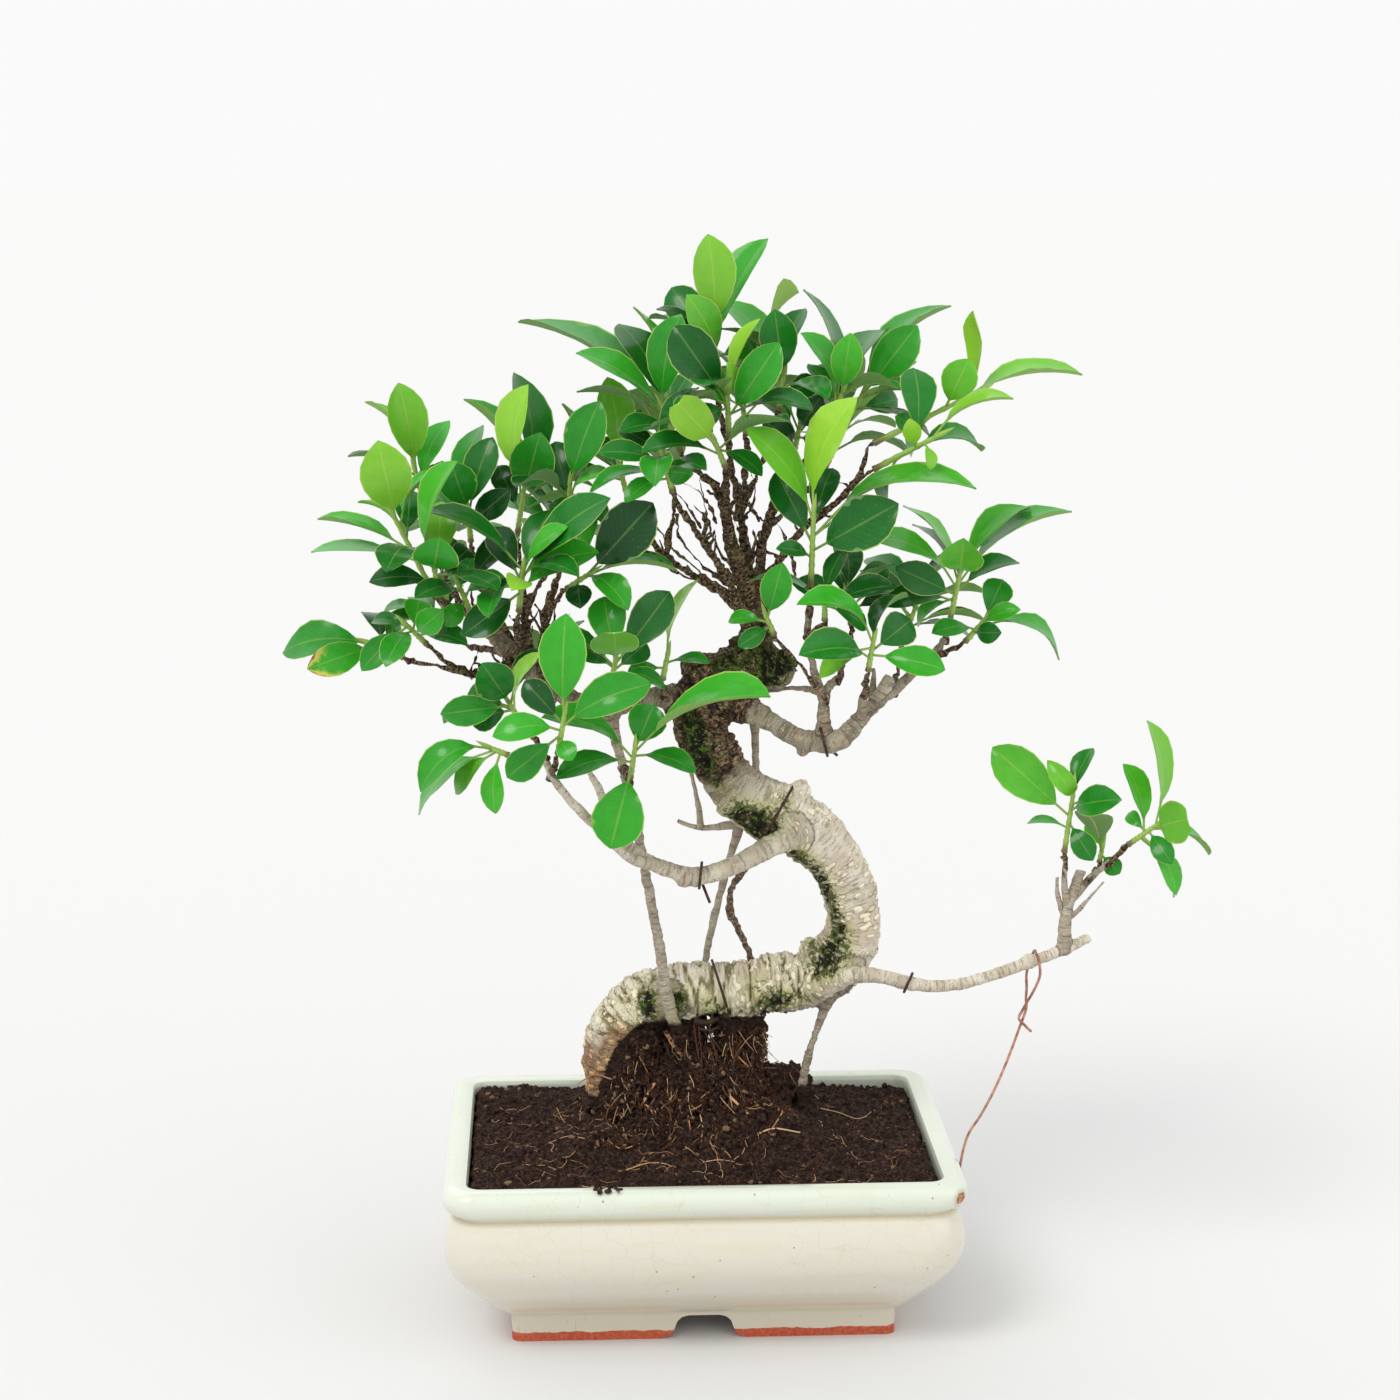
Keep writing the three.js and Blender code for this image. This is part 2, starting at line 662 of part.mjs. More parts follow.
    wood: [[47, 296, -24, 1.7], [51, 299, -29, 1.3]],
    stem: [[54, 303, -32], [54, 311, -37]],
    leaves: [
      [24, 304, -8, 9, 0.3], [84, 316, -5, 11, 0.1], [72, 298, 5, 8, 0.2], [63, 333, 5, 8, 0.18],
    ],
    more: 1,
  },
  {
    name: "right_low",
    wood: [[71, 269, -21, 2], [72, 275, -27, 1.7]],
    stem: [[73, 281, -32], [75, 293, -38]],
    leaves: [
      [43, 287, -10, 15, 0.26], [106, 280, -10, 14, 0.52], [91, 302, 8, 16, 0.14],
      [52, 277, -5, 8, 0.72], [42, 309, -2, 8, 0.56, 0.28],
    ],
    more: 1,
  },
  {
    name: "right_mid",
    wood: [[60, 277, -10, 2], [64, 290, 3, 1.6]],
    stem: [[65, 301, 10], [63, 312, 11]],
    leaves: [
      [88, 311, 8, 9, 0.05], [40, 318, -5, 11, 0.08], [80, 326, 8, 12, 0.15],
    ],
    more: 4,
  },
  {
    name: "right_outer",
    wood: [[106, 294, 3, 2], [107, 299, 2, 1.7]],
    stem: [[108, 303, 0], [112, 324, -10]],
    leaves: [
      [79, 308, -8, 10, 0.1], [94, 299, 10, 6, 0.42], [84, 325, -8, 15, 0.1], [137, 326, 10, 9, 0.2],
      [71, 337, -10, 8, 0.46, 0.2], [159, 348, -2, 7, 0.4], [91, 343, 12, 5, 0.3],
      [141, 350, 12, 11, 0.52], [87, 351, 20, 5, 0.62], [113, 337, -20, 20, 0.62],
    ],
    more: 0,
  },
  {
    name: "right_outer_low",
    wood: [[101, 286, 0, 2], [109, 289, -3, 1.6]],
    stem: [[115, 293, -5], [123, 302, -8]],
    leaves: [
      [130, 296, -12, 10, 0.1], [100, 296, -12, 8, 0.3], [155, 284, 2, 7, 0.36, 0.24],
      [138, 306, -10, 8, 0.5], [130, 319, 10, 14, 0.25],
    ],
    more: 0,
  },
  {
    name: "far_upright",
    wood: [[159.5, 192, -15, 1.5], [159.5, 196, -15, 1.4]],
    stem: [[159.5, 200, -15], [163, 228, -17]],
    leaves: [
      [143, 212, 4, 4, 0.5], [172, 195, -10, 11, 0.3, 0.2], [127, 246, -6, 22, 0.6],
      [184, 222, -4, 14, 0.25], [177, 221, -12, 6, 0.62], [171, 245, 8, 9, 0.3],
      [151, 240, -6, 10, 0.6, 0.45],
    ],
    more: 0,
  },
  {
    name: "far_right",
    wood: [[180, 195, -10, 1.7], [184, 199, -10, 1.5]],
    stem: [[188, 202.5, -10], [200, 211, -12]],
    leaves: [
      [208, 178, 2, 7, 0.36], [209, 179, -10, 9, 0.56], [184, 238, 2, 10, 0.6],
      [187, 216, 10, 7, 0.42], [207, 193, -14, 10, 0.36], [223, 197, 10, 4, 0.5],
      [217, 214, -14, 19, 0.6], [194, 257, 4, 8, 0.7],
    ],
    more: 0,
  },
  {
    name: "far_inner",
    wood: [[171, 187, -10, 1.6], [173, 191, -5, 1.3]],
    stem: [[175, 195, -1], [176, 201, 1]],
    leaves: [
      [184, 189, -6, 9, 0.42], [171, 214, 4, 10, 0.62],
    ],
    more: 1,
  },
  {
    name: "back_crown_left",
    wood: [[-14, 331, 29, 1.9], [-10, 352, 42, 1.6]],
    stem: [[-12, 366, 52], [-17, 384, 62]],
    leaves: [],
    more: 8,
  },
  {
    name: "back_crown_middle",
    wood: [[17, 348, 10, 2.2], [20, 366, 34, 1.7]],
    stem: [[20, 382, 49], [18, 402, 60]],
    leaves: [],
    more: 9,
  },
  {
    name: "back_crown_right",
    wood: [[28, 340, -1, 2], [44, 356, 29, 1.6]],
    stem: [[54, 368, 44], [63, 386, 55]],
    leaves: [],
    more: 8,
  },
  {
    name: "back_left_outer",
    wood: [[-88, 314, 26, 2.2], [-97, 322, 42, 1.7]],
    stem: [[-104, 331, 52], [-112, 346, 62]],
    leaves: [],
    more: 8,
  },
  {
    name: "back_left_inner",
    wood: [[-74, 308, 17, 2.2], [-66, 320, 39, 1.7]],
    stem: [[-61, 331, 52], [-58, 348, 62]],
    leaves: [],
    more: 8,
  },
  {
    name: "back_left_low",
    wood: [[-80, 290, 8, 3], [-92, 291, 26, 1.8]],
    stem: [[-101, 295, 36], [-111, 305, 44]],
    leaves: [],
    more: 6,
  },
  {
    name: "back_right",
    wood: [[84, 271, -6, 2.2], [86, 284, 18, 1.6]],
    stem: [[88, 293, 34], [93, 308, 47]],
    leaves: [],
    more: 8,
  },
  {
    name: "back_low",
    wood: [[-60, 273, 0, 3], [-62, 270, 18, 1.7]],
    stem: [[-64, 270, 31], [-70, 280, 44]],
    leaves: [],
    more: 6,
  },
];

// Leaves

const FINE_STATIONS = [[0.42, [-1, 0, 1]], [0.8, [-1, 1]]];
const COARSE_STATIONS = [[0.55, [-1, 0, 1]]];
const FULLNESS = 1.08;
const ARCH = 0.13;
const FOLD = 0.31;
const BLADE_RATIO = 0.46;
const MOST_TURN = 1.3;
const LEAF_GAP = 0.4;
const BLADE_GAP = 0.1;
const MOST_LEAVES = 16;
const TIP_SWINGS = [0, -5, 5, -10, 10, -16, 16, -22, 22, -29, 29, -36, 36];
const TURN_SWINGS = [0, 15, -15, 30, -30, 48, -48, 70, -70, 95, -95];
const GOLDEN_TURN = 2.399963;

// Half the width of a blade, as a share of its greatest, from its base (0) to its tip (1).
function outline(u) {
  return Math.pow(Math.sin(Math.PI * Math.pow(u, 1.35)), 0.65);
}

// The leaf's curve and its faces: a quadratic arc from foot to tip that bows towards the upper side.
function leafFrame({ foot, tip, facing, turn, arch }) {
  const along = tip.clone().sub(foot);
  const length = along.length();
  along.normalize();
  const front = facing.clone().addScaledVector(along, -facing.dot(along)).normalize();
  const across = along.clone().cross(front);
  if (across.z < 0) across.negate();
  const upper = front.multiplyScalar(Math.cos(turn)).addScaledVector(across, Math.sin(turn));
  const side = upper.clone().cross(along);
  const middle = foot.clone().lerp(tip, 0.5).addScaledVector(upper, arch * length * 2);
  return { curve: new THREE.QuadraticBezierCurve3(foot, middle, tip), side };
}

// A leaf as a folded sheet of some thickness: its stalk, then the blade, row by row from foot to tip.
function leafSolid(leaf, { extra = 0, stalk = true } = {}) {
  const { curve, side } = leafFrame(leaf);
  const rows = [];
  const addRow = (t, halfWidth, thickness, columns) => {
    const centre = curve.getPoint(t);
    const upper = curve.getTangent(t).cross(side).normalize();
    rows.push({
      middle: columns.map((column) =>
        centre
          .clone()
          .addScaledVector(side, column * halfWidth * Math.cos(leaf.fold))
          .addScaledVector(upper, Math.abs(column) * halfWidth * Math.sin(leaf.fold)),
      ),
      lift: upper.multiplyScalar(thickness / 2 + extra),
    });
  };
  const stalkHalf = PETIOLE_THICKNESS / 2 + extra;
  if (stalk) addRow(0, 0, PETIOLE_THICKNESS, [0]);
  addRow(PETIOLE_SHARE, stalkHalf, PETIOLE_THICKNESS, [-1, 1]);
  for (const [u, columns] of leaf.stations) {
    const t = PETIOLE_SHARE + u * (1 - PETIOLE_SHARE);
    addRow(t, (leaf.width / 2) * FULLNESS * outline(u) + extra, BLADE_THICKNESS, columns);
  }
  addRow(1, 0, BLADE_THICKNESS, [0]);
  return sheetSolid(rows);
}

// Closes rows of one, two or three points into a solid: upper face, lower face, edges and foot.
function sheetSolid(rows) {
  const vertices = [];
  const starts = [];
  for (const { middle, lift } of rows) {
    starts.push(vertices.length);
    for (const place of middle) {
      vertices.push(place.clone().add(lift), place.clone().sub(lift));
    }
  }
  const upper = (row, column) => starts[row] + 2 * column;
  const lower = (row, column) => upper(row, column) + 1;
  const triangles = [];
  for (let row = 0; row + 1 < rows.length; row++) {
    const here = rows[row].middle.length - 1;
    const next = rows[row + 1].middle.length - 1;
    let i = 0;
    let j = 0;
    while (i < here || j < next) {
      const forward = i === here || (j < next && (j + 1) * here <= (i + 1) * next);
      const corner = forward ? [row + 1, j + 1] : [row, i + 1];
      triangles.push([upper(row, i), upper(...corner), upper(row + 1, j)]);
      triangles.push([lower(row, i), lower(row + 1, j), lower(...corner)]);
      if (forward) j++;
      else i++;
    }
    triangles.push([upper(row, 0), upper(row + 1, 0), lower(row, 0)]);
    triangles.push([upper(row + 1, 0), lower(row + 1, 0), lower(row, 0)]);
    triangles.push([upper(row, here), lower(row, here), upper(row + 1, next)]);
    triangles.push([upper(row + 1, next), lower(row, here), lower(row + 1, next)]);
  }
  const end = rows[0].middle.length - 1;
  if (end > 0) {
    triangles.push([upper(0, 0), lower(0, 0), upper(0, end)]);
    triangles.push([upper(0, end), lower(0, 0), lower(0, end)]);
  }
  return facingOut(vertices, triangles);
}

// A shoot's stem is straight and ends in a pointed bud.
function stemOf({ stem }) {
  const foot = seen(stem[0]);
  const tip = seen(stem[1]);
  return { foot, tip, along: tip.clone().sub(foot).normalize() };
}

function stemSolid(shoot) {
  const { foot, tip, along } = stemOf(shoot);
  const side = along.clone().cross(new THREE.Vector3(0.31, -0.9, 0.3)).normalize();
  const across = along.clone().cross(side);
  return loft([
    ringAround(foot.clone().addScaledVector(along, CLEARANCE), side, across, SHOOT_RADIUS, 4),
    ringAround(tip, side, across, SHOOT_RADIUS * 0.8, 4),
    ringAround(tip.clone().addScaledVector(along, BUD_LENGTH), side, across, 0.2, 4),
  ]);
}

// Every leaf of a shoot as the list of its tries. Those from the table come first, in reverse, because
// its last leaf stands in front. A leaf is as wide as its length asks, and turned from the eye until it
// looks as narrow as listed.
function leavesOf(shoot, seed) {
  const draw = draws(seed);
  const { foot, tip, along } = stemOf(shoot);
  const baseOf = (i, count) => foot.clone().lerp(tip, 0.3 + (0.65 * (i + 0.5)) / count);
  const listed = shoot.leaves.map(([x, z, past, visible, , arch = ARCH], i) => {
    const base = baseOf(i, shoot.leaves.length);
    const bend = arch * (0.8 + 0.4 * draw());
    const fold = FOLD * (0.5 + draw());
    const tries = TIP_SWINGS.map((swing) => {
      const end = seen([x, z, base.y + past + swing]);
      const width = Math.max(visible, BLADE_RATIO * base.distanceTo(end));
      const turn = Math.min(Math.acos(visible / width), MOST_TURN);
      const facing = EYE.clone().sub(base);
      return { foot: base, tip: end, facing, turn, arch: bend, fold, width, stations: FINE_STATIONS };
    });
    return tries;
  });
  const side = along.clone().cross(new THREE.Vector3(0.31, 0.59, 0.74)).normalize();
  const across = along.clone().cross(side);
  const ruled = Array.from({ length: shoot.more }, (_, i) => {
    const base = baseOf(i, shoot.more);
    const length = LEAF_LENGTH * (0.8 + 0.35 * draw());
    const spread = 1.3 - 0.6 * (i / shoot.more) + 0.2 * (draw() - 0.5);
    const start = GOLDEN_TURN * i + 2 * Math.PI * draw();
    const turn = 0.9 * (draw() - 0.5);
    const bend = ARCH * (0.7 + 0.8 * draw());
    const fold = FOLD * (0.5 + draw());
    const tries = TURN_SWINGS.map((swing) => {
      const angle = start + THREE.MathUtils.degToRad(swing);
      const end = base
        .clone()
        .addScaledVector(along, length * Math.cos(spread))
        .addScaledVector(side, length * Math.sin(spread) * Math.cos(angle))
        .addScaledVector(across, length * Math.sin(spread) * Math.sin(angle));
      const width = length * BLADE_RATIO;
      return { foot: base, tip: end, facing: UP, turn, arch: bend, fold, width, stations: COARSE_STATIONS };
    });
    return tries;
  });
  return [...listed.reverse(), ...ruled];
}

// Wood

const WOOD_DETAIL = 0.5;
const LEAF_DETAIL = 0.1;

function woodSolids(grow = 0) {
  const solids = [limb(TRUNK, { sides: 9, grow })];
  for (const route of Object.values(LIMBS)) {
    solids.push(limb(route, { sides: route[0][3] > 4 ? 6 : 4, grow }));
  }
  for (const [x, z, depth, radius] of BURLS) {
    const burl = new THREE.IcosahedronGeometry(radius + grow, 1);
    burl.translate(...seen([x, z, depth]).toArray());
    solids.push(solidOfGeometry(burl));
  }
  return solids;
}

// The twig that carries a shoot: it is rooted inside the limb that it leaves, and its last stretch runs
// straight on into the shoot's stem.
function twigSolid(shoot) {
  const { foot, along } = stemOf(shoot);
  const before = asSeen(foot.clone().addScaledVector(along, -TWIG_END));
  const [start, next] = shoot.wood.map(seen);
  const root = asSeen(start.addScaledVector(start.clone().sub(next).normalize(), TWIG_ROOT));
  return limb(
    [
      [...root, shoot.wood[0][3]],
      ...shoot.wood.slice(1),
      [...before, SHOOT_RADIUS + 0.25],
      [...shoot.stem[0], SHOOT_RADIUS + 0.1],
    ],
    { sides: 4, endDirection: along },
  );
}

// Pot

function roundedRing(halfWidth, halfDepth, radius, z, perCorner = 3) {
  const ring = [];
  for (let corner = 0; corner < 4; corner++) {
    const signX = corner === 0 || corner === 3 ? 1 : -1;
    const signY = corner < 2 ? 1 : -1;
    for (let i = 0; i <= perCorner; i++) {
      const angle = (Math.PI / 2) * (corner + i / perCorner);
      ring.push(
        new THREE.Vector3(
          signX * (halfWidth - radius) + radius * Math.cos(angle),
          signY * (halfDepth - radius) + radius * Math.sin(angle),
          z,
        ),
      );
    }
  }
  return ring;
}

// Profiles are [inset from the pot's full width, corner radius, height], from the foot up to the rim.
const OUTER_PROFILE = [
  [FOOT_INSET + 1, 4, 0],
  [FOOT_INSET + 0.5, 4, FOOT_HEIGHT - 0.5],
  [FOOT_INSET - 3, 7, FOOT_HEIGHT + 1.5],
  [16, 12, 21],
  [7.5, 16, 29.5],
  [2, 18, 38],
  [0.2, 18, 47],
  [1.2, 17, 56],
  [3.6, 15, 62.5],
  [1, 14, 66],
  [0, 13, 70],
  [1, 12.5, 74],
  [3.4, 11, POT_HEIGHT],
];
const INNER_PROFILE = [
  [FOOT_INSET + 5, 8, FOOT_HEIGHT + FLOOR_THICKNESS],
  [17, 10, 27],
  [RIM_THICKNESS + 1, 7, 40],
  [RIM_THICKNESS, 6, POT_HEIGHT + 2],
];

function potRing(inset, radius, z, perCorner) {
  return roundedRing(POT_WIDTH / 2 - inset, POT_DEPTH / 2 - inset, radius, z, perCorner);
}

// The opening between two feet, cut straight through under the pot's long or short side.
function footOpening(halfOpening, depth) {
  const shape = new THREE.Shape();
  shape.moveTo(-halfOpening, -2);
  shape.lineTo(-halfOpening, 0);
  shape.quadraticCurveTo(-halfOpening + 5, 1, -halfOpening + 6, 5);
  shape.quadraticCurveTo(-halfOpening + 7, ARCH_HEIGHT - 0.5, -halfOpening + 12, ARCH_HEIGHT);
  shape.lineTo(halfOpening - 12, ARCH_HEIGHT);
  shape.quadraticCurveTo(halfOpening - 7, ARCH_HEIGHT - 0.5, halfOpening - 6, 5);
  shape.quadraticCurveTo(halfOpening - 5, 1, halfOpening, 0);
  shape.lineTo(halfOpening, -2);
  const arch = new THREE.ExtrudeGeometry(shape, { depth, bevelEnabled: false, curveSegments: 2 });
  return arch.translate(0, 0, -depth / 2).rotateX(Math.PI / 2);
}

function potSolid() {
  const hollowInset = FOOT_INSET + FOOT_THICKNESS;
  const cuts = [
    loft(INNER_PROFILE.map((step) => potRing(...step))),
    loft([potRing(hollowInset, 3, -2, 2), potRing(hollowInset, 3, FOOT_HEIGHT, 2)]),
    solidOfGeometry(footOpening(FRONT_OPENING / 2, POT_DEPTH)),
    solidOfGeometry(footOpening(SIDE_OPENING / 2, POT_WIDTH).rotateZ(Math.PI / 2)),
  ];
  for (const x of [-DRAIN_OFFSET, DRAIN_OFFSET]) {
    const hole = new THREE.CylinderGeometry(DRAIN_RADIUS, DRAIN_RADIUS, 4 * FLOOR_THICKNESS, 12);
    hole.rotateX(Math.PI / 2).translate(x, 0, FOOT_HEIGHT);
    cuts.push(solidOfGeometry(hole));
  }
  return loft(OUTER_PROFILE.map((step) => potRing(...step))).subtract(joined(cuts));
}

// A square plastic screen over each drain hole, on the pot's floor under the soil.
function screenSolid(x, grow = 0) {
  const width = SCREEN_SIZE + 2 * grow;
  const plate = new THREE.BoxGeometry(width, width, SCREEN_THICKNESS + 2 * grow);
  plate.translate(x, 0, SCREEN_FLOOR + SCREEN_THICKNESS / 2);
  if (grow > 0) return solidOfGeometry(plate);
  const holes = [];
  for (const across of [-SCREEN_PITCH, SCREEN_PITCH]) {
    for (const along of [-SCREEN_PITCH, SCREEN_PITCH]) {
      const hole = new THREE.BoxGeometry(SCREEN_HOLE, SCREEN_HOLE, SCREEN_THICKNESS * 3);
      holes.push(solidOfGeometry(hole.translate(x + across, along, SCREEN_FLOOR)));
    }
  }
  return solidOfGeometry(plate).subtract(joined(holes));
}

// Soil fills the pot and rises to the roots in a mound, with clods of the old root ball between them.
function soilHeight(x, y) {
  const slope = SOIL_HEIGHT - x * SOIL_FALL;
  const fall = (x / MOUND_HALF_WIDTH) ** 4 + (y / MOUND_HALF_DEPTH) ** 2;
  const mound = MOUND_HEIGHT * Math.exp(-fall);
  const crumbs = 0.8 * Math.sin(x * 0.31 + 1) * Math.sin(y * 0.37 + 2);
  return slope + mound + crumbs;
}

function soilSolid() {
  const [floor, ...walls] = INNER_PROFILE.slice(0, 3);
  const rings = [floor, ...walls].map(([inset, radius, z]) =>
    potRing(inset + CLEARANCE, radius, z === floor[2] ? z + CLEARANCE : z, 2),
  );
  const edge = potRing(RIM_THICKNESS + SOIL_EDGE_GAP, 6, 0, 2);
  for (const share of SOIL_SHARES) {
    rings.push(
      edge.map(({ x, y }) => new THREE.Vector3(x * share, y * share, soilHeight(x * share, y * share))),
    );
  }
  const clods = CLODS.map(({ size, place }) =>
    solidOfGeometry(new THREE.IcosahedronGeometry(1, 2).scale(...size).translate(...place)),
  );
  const cuts = [
    ...woodSolids(CLEARANCE),
    screenSolid(-DRAIN_OFFSET, CLEARANCE),
    screenSolid(DRAIN_OFFSET, CLEARANCE),
  ];
  return mainBody(joined([loft(rings), ...clods]).subtract(joined(cuts)));
}

// Wires

function wireSolid(route, radius) {
  return limb(route.map((place) => [...place, radius]), { sides: 4 });
}

// An open ring of wire round a limb at [across, height, depth]. Lean is how far the ring's plane is
// turned from upright in the picture, and it runs from one angle to another, counted from its top.
function ringRoute([x, z, depth], limbRadius, lean, from, to, tail = []) {
  const radius = limbRadius + WIRE_RADIUS + CLEARANCE;
  const steps = Math.round((to - from) / RING_STEP);
  const ring = Array.from({ length: steps + 1 }, (_, i) => {
    const angle = THREE.MathUtils.degToRad(from + ((to - from) * i) / steps);
    const rise = radius * Math.cos(angle);
    return [x + rise * Math.sin(lean), z + rise * Math.cos(lean), depth - radius * Math.sin(angle)];
  });
  return [...ring, ...tail];
}

const RING_WIRES = {
  wire_lower_trunk: ringRoute([10, 139.5, 0], 12.4, -0.3, -10, 190),
  wire_upper_trunk: ringRoute([34, 217, 0], 14.6, 0.5, 20, 200),
  wire_left_limb: ringRoute([1, 190.6, -32], 4.6, 0.1, -20, 250, [[5, 178.5, -37]]),
  wire_right_limb: ringRoute([54, 249.5, -14.5], 5.6, -0.25, -30, 250, [[60, 243, -8]]),
  wire_far_limb: ringRoute([92, 141, -16], 3.4, 0.4, -20, 290),
};

// The copper tie loops round the far limb, is twisted on itself and pulls the limb down: it bends over
// the pot's rim, follows the belly, goes in between two feet and hooks up into a drain hole.
const TIE_WIRE = [
  [146.5, 118, -15], [143.5, 121, -17.2], [141, 124, -15], [142.5, 127.5, -12.8], [144, 130.5, -15],
  [146, 134, -17.5], [148.5, 139, -17.5], [150, 144, -18.5], [149.5, 149, -19.2], [148.2, 153, -18],
  [147.4, 154.9, -14.2], [146.4, 153, -10.2], [145, 149, -8.6], [144, 144, -10], [144.2, 138, -13],
  [144, 133, -13], [144.3, 129, -12], [143.4, 125.5, -14.6], [141.5, 120, -13.2], [136, 104, -18],
  [130, 89.4, -24], [125, 79.6, -28], [119.5, 70.5, -31],
  ...[
    [111.6, -33, 69], [111.3, -32, 62], [111.1, -30, 47], [109.6, -27, 38], [104, -23, 28.6],
    [95.5, -16, 19.6], [88, -8, 11.6], [82, -3, 7.2], [70, 0, 6.5], [56, 1, 8], [48, 2, 11], [45, 2, 17],
  ].map((place) => asSeen(new THREE.Vector3(...place))),
];

const LOOKS = {
  pot: { color: 0xe6e8d6, roughness: 0.18 },
  soil: { color: 0x2a1c15, roughness: 0.95 },
  bark: { color: 0x857a66, roughness: 0.85 },
  leaf: { color: 0x2f7d2a, roughness: 0.35 },
  copper: { color: 0x9a5f4a, roughness: 0.35, metalness: 0.9 },
  iron: { color: 0x3a2a24, roughness: 0.7, metalness: 0.4 },
  screen: { color: 0x1c1c1c, roughness: 0.6 },
};

const bonsai = new THREE.Group();

function addPiece(name, solid, look) {
  const material = new THREE.MeshStandardMaterial({ metalness: 0, ...LOOKS[look] });
  const mesh = new THREE.Mesh(geometryOf(solid), material);
  mesh.name = name;
  bonsai.add(mesh);
}

// Joins touching solids into one body and drops the finest slivers where they meet.
function grownTogether(solids, detail) {
  return mainBody(joined(solids).asOriginal().simplify(detail));
}

// The bark has grown up round the ring wires, which lie in grooves.
function ringWires(grow = 0) {
  return Object.entries(RING_WIRES).map(([name, route]) => [name, wireSolid(route, WIRE_RADIUS + grow)]);
}

const grooves = joined(ringWires(CLEARANCE).map(([, solid]) => solid));
const timber = grownTogether([...woodSolids(), ...SHOOTS.map(twigSolid)], WOOD_DETAIL);
const wood = mainBody(timber.subtract(grooves));
const tieWire = wireSolid(TIE_WIRE, TIE_RADIUS);

// Every shoot places its first leaf, then every shoot its second, and so on. A leaf that would cross
// what is there tries its next swing, and is left out when none is clear. A stalk may meet the other
// leaves of its own shoot.
function obstacle(solid, owner) {
  const { min, max } = solid.boundingBox();
  return { solid, owner, box: new THREE.Box3(new THREE.Vector3(...min), new THREE.Vector3(...max)) };
}

function meets(guard, others) {
  const { box } = obstacle(guard);
  return others.some((other) => other.box.intersectsBox(box) && !guard.intersect(other.solid).isEmpty());
}

const stems = SHOOTS.map(stemSolid);
const standing = [wood, tieWire, grooves].map((solid) => obstacle(solid));
standing.push(...stems.map((solid, owner) => obstacle(solid, owner)));
const blades = SHOOTS.map(() => []);
const sprays = stems.map((stem) => [stem]);
const plan = SHOOTS.map((shoot, i) => leavesOf(shoot, FIRST_SEED + i));
for (let rank = 0; rank < MOST_LEAVES; rank++) {
  plan.forEach((leaves, owner) => {
    const others = standing.filter((other) => other.owner !== owner);
    const clear = leaves[rank]?.find(
      (leaf) =>
        !meets(leafSolid(leaf, { extra: LEAF_GAP }), others) &&
        !meets(leafSolid(leaf, { extra: BLADE_GAP, stalk: false }), blades[owner]),
    );
    if (!clear) return;
    const solid = leafSolid(clear);
    sprays[owner].push(solid);
    standing.push(obstacle(solid, owner));
    blades[owner].push(obstacle(leafSolid(clear, { extra: BLADE_GAP, stalk: false })));
  });
}

addPiece("pot", potSolid(), "pot");
addPiece("drain_screen_left", screenSolid(-DRAIN_OFFSET), "screen");
addPiece("drain_screen_right", screenSolid(DRAIN_OFFSET), "screen");
addPiece("soil", soilSolid(), "soil");
addPiece("trunk", wood, "bark");
SHOOTS.forEach(({ name }, i) => addPiece("shoot_" + name, grownTogether(sprays[i], LEAF_DETAIL), "leaf"));
for (const [name, solid] of ringWires()) addPiece(name, solid, "iron");
addPiece("tie_wire", tieWire, "copper");

// The part's origin is at the middle of its box, on the surface that the pot stands on.
const middle = new THREE.Box3().setFromObject(bonsai).getCenter(new THREE.Vector3());
bonsai.position.set(-middle.x, -middle.y, 0);

export default bonsai;
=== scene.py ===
"""A Chinese banyan (small-leaved fig) bonsai in a glazed rectangular pot.

Sizes in the tables are millimetres in the pot's own frame: x to the right along the pot, y to the back and
z up, with the pot's middle at the origin. Pieces are made in metres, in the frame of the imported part.
"""

import math
import random
from collections import namedtuple

import bmesh
import bpy
import numpy as np
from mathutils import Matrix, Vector, noise
from mathutils.bvhtree import BVHTree
from mathutils.kdtree import KDTree


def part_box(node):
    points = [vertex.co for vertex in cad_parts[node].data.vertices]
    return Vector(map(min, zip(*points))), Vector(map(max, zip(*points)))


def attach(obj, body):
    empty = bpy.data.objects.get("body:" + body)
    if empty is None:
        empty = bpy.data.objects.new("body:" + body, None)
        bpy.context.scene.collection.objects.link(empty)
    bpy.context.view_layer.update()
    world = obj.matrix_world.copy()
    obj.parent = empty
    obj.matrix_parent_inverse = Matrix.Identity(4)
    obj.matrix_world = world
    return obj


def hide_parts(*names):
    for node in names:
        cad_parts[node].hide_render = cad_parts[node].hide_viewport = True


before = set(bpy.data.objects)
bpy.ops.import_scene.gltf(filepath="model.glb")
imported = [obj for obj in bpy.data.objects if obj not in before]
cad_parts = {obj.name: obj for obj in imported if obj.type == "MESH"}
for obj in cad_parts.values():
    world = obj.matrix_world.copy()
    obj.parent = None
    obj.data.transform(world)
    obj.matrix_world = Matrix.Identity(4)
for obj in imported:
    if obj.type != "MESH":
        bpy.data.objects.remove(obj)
bpy.ops.object.select_all(action="DESELECT")
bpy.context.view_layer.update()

bl_info = {
    "name": "Chinese banyan bonsai",
    "version": (1, 0, 0),
    "blender": (4, 5, 0),
    "location": "View3D > Sidebar > Bonsai",
    "description": "A banyan bonsai with its leaves, bark, soil, wires and glazed pot",
    "category": "Object",
}

# A millimetre in the frame's metres, and the places in the frame of the pot's middle and of the tree's,
# at which the lamps shine.
MM = 0.001
POT_LOW, POT_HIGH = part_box("pot")
POT_PLACE = Vector(((POT_LOW.x + POT_HIGH.x) / 2, (POT_LOW.y + POT_HIGH.y) / 2, 0))
TREE_MIDDLE = Vector((0, 0, 0.25))

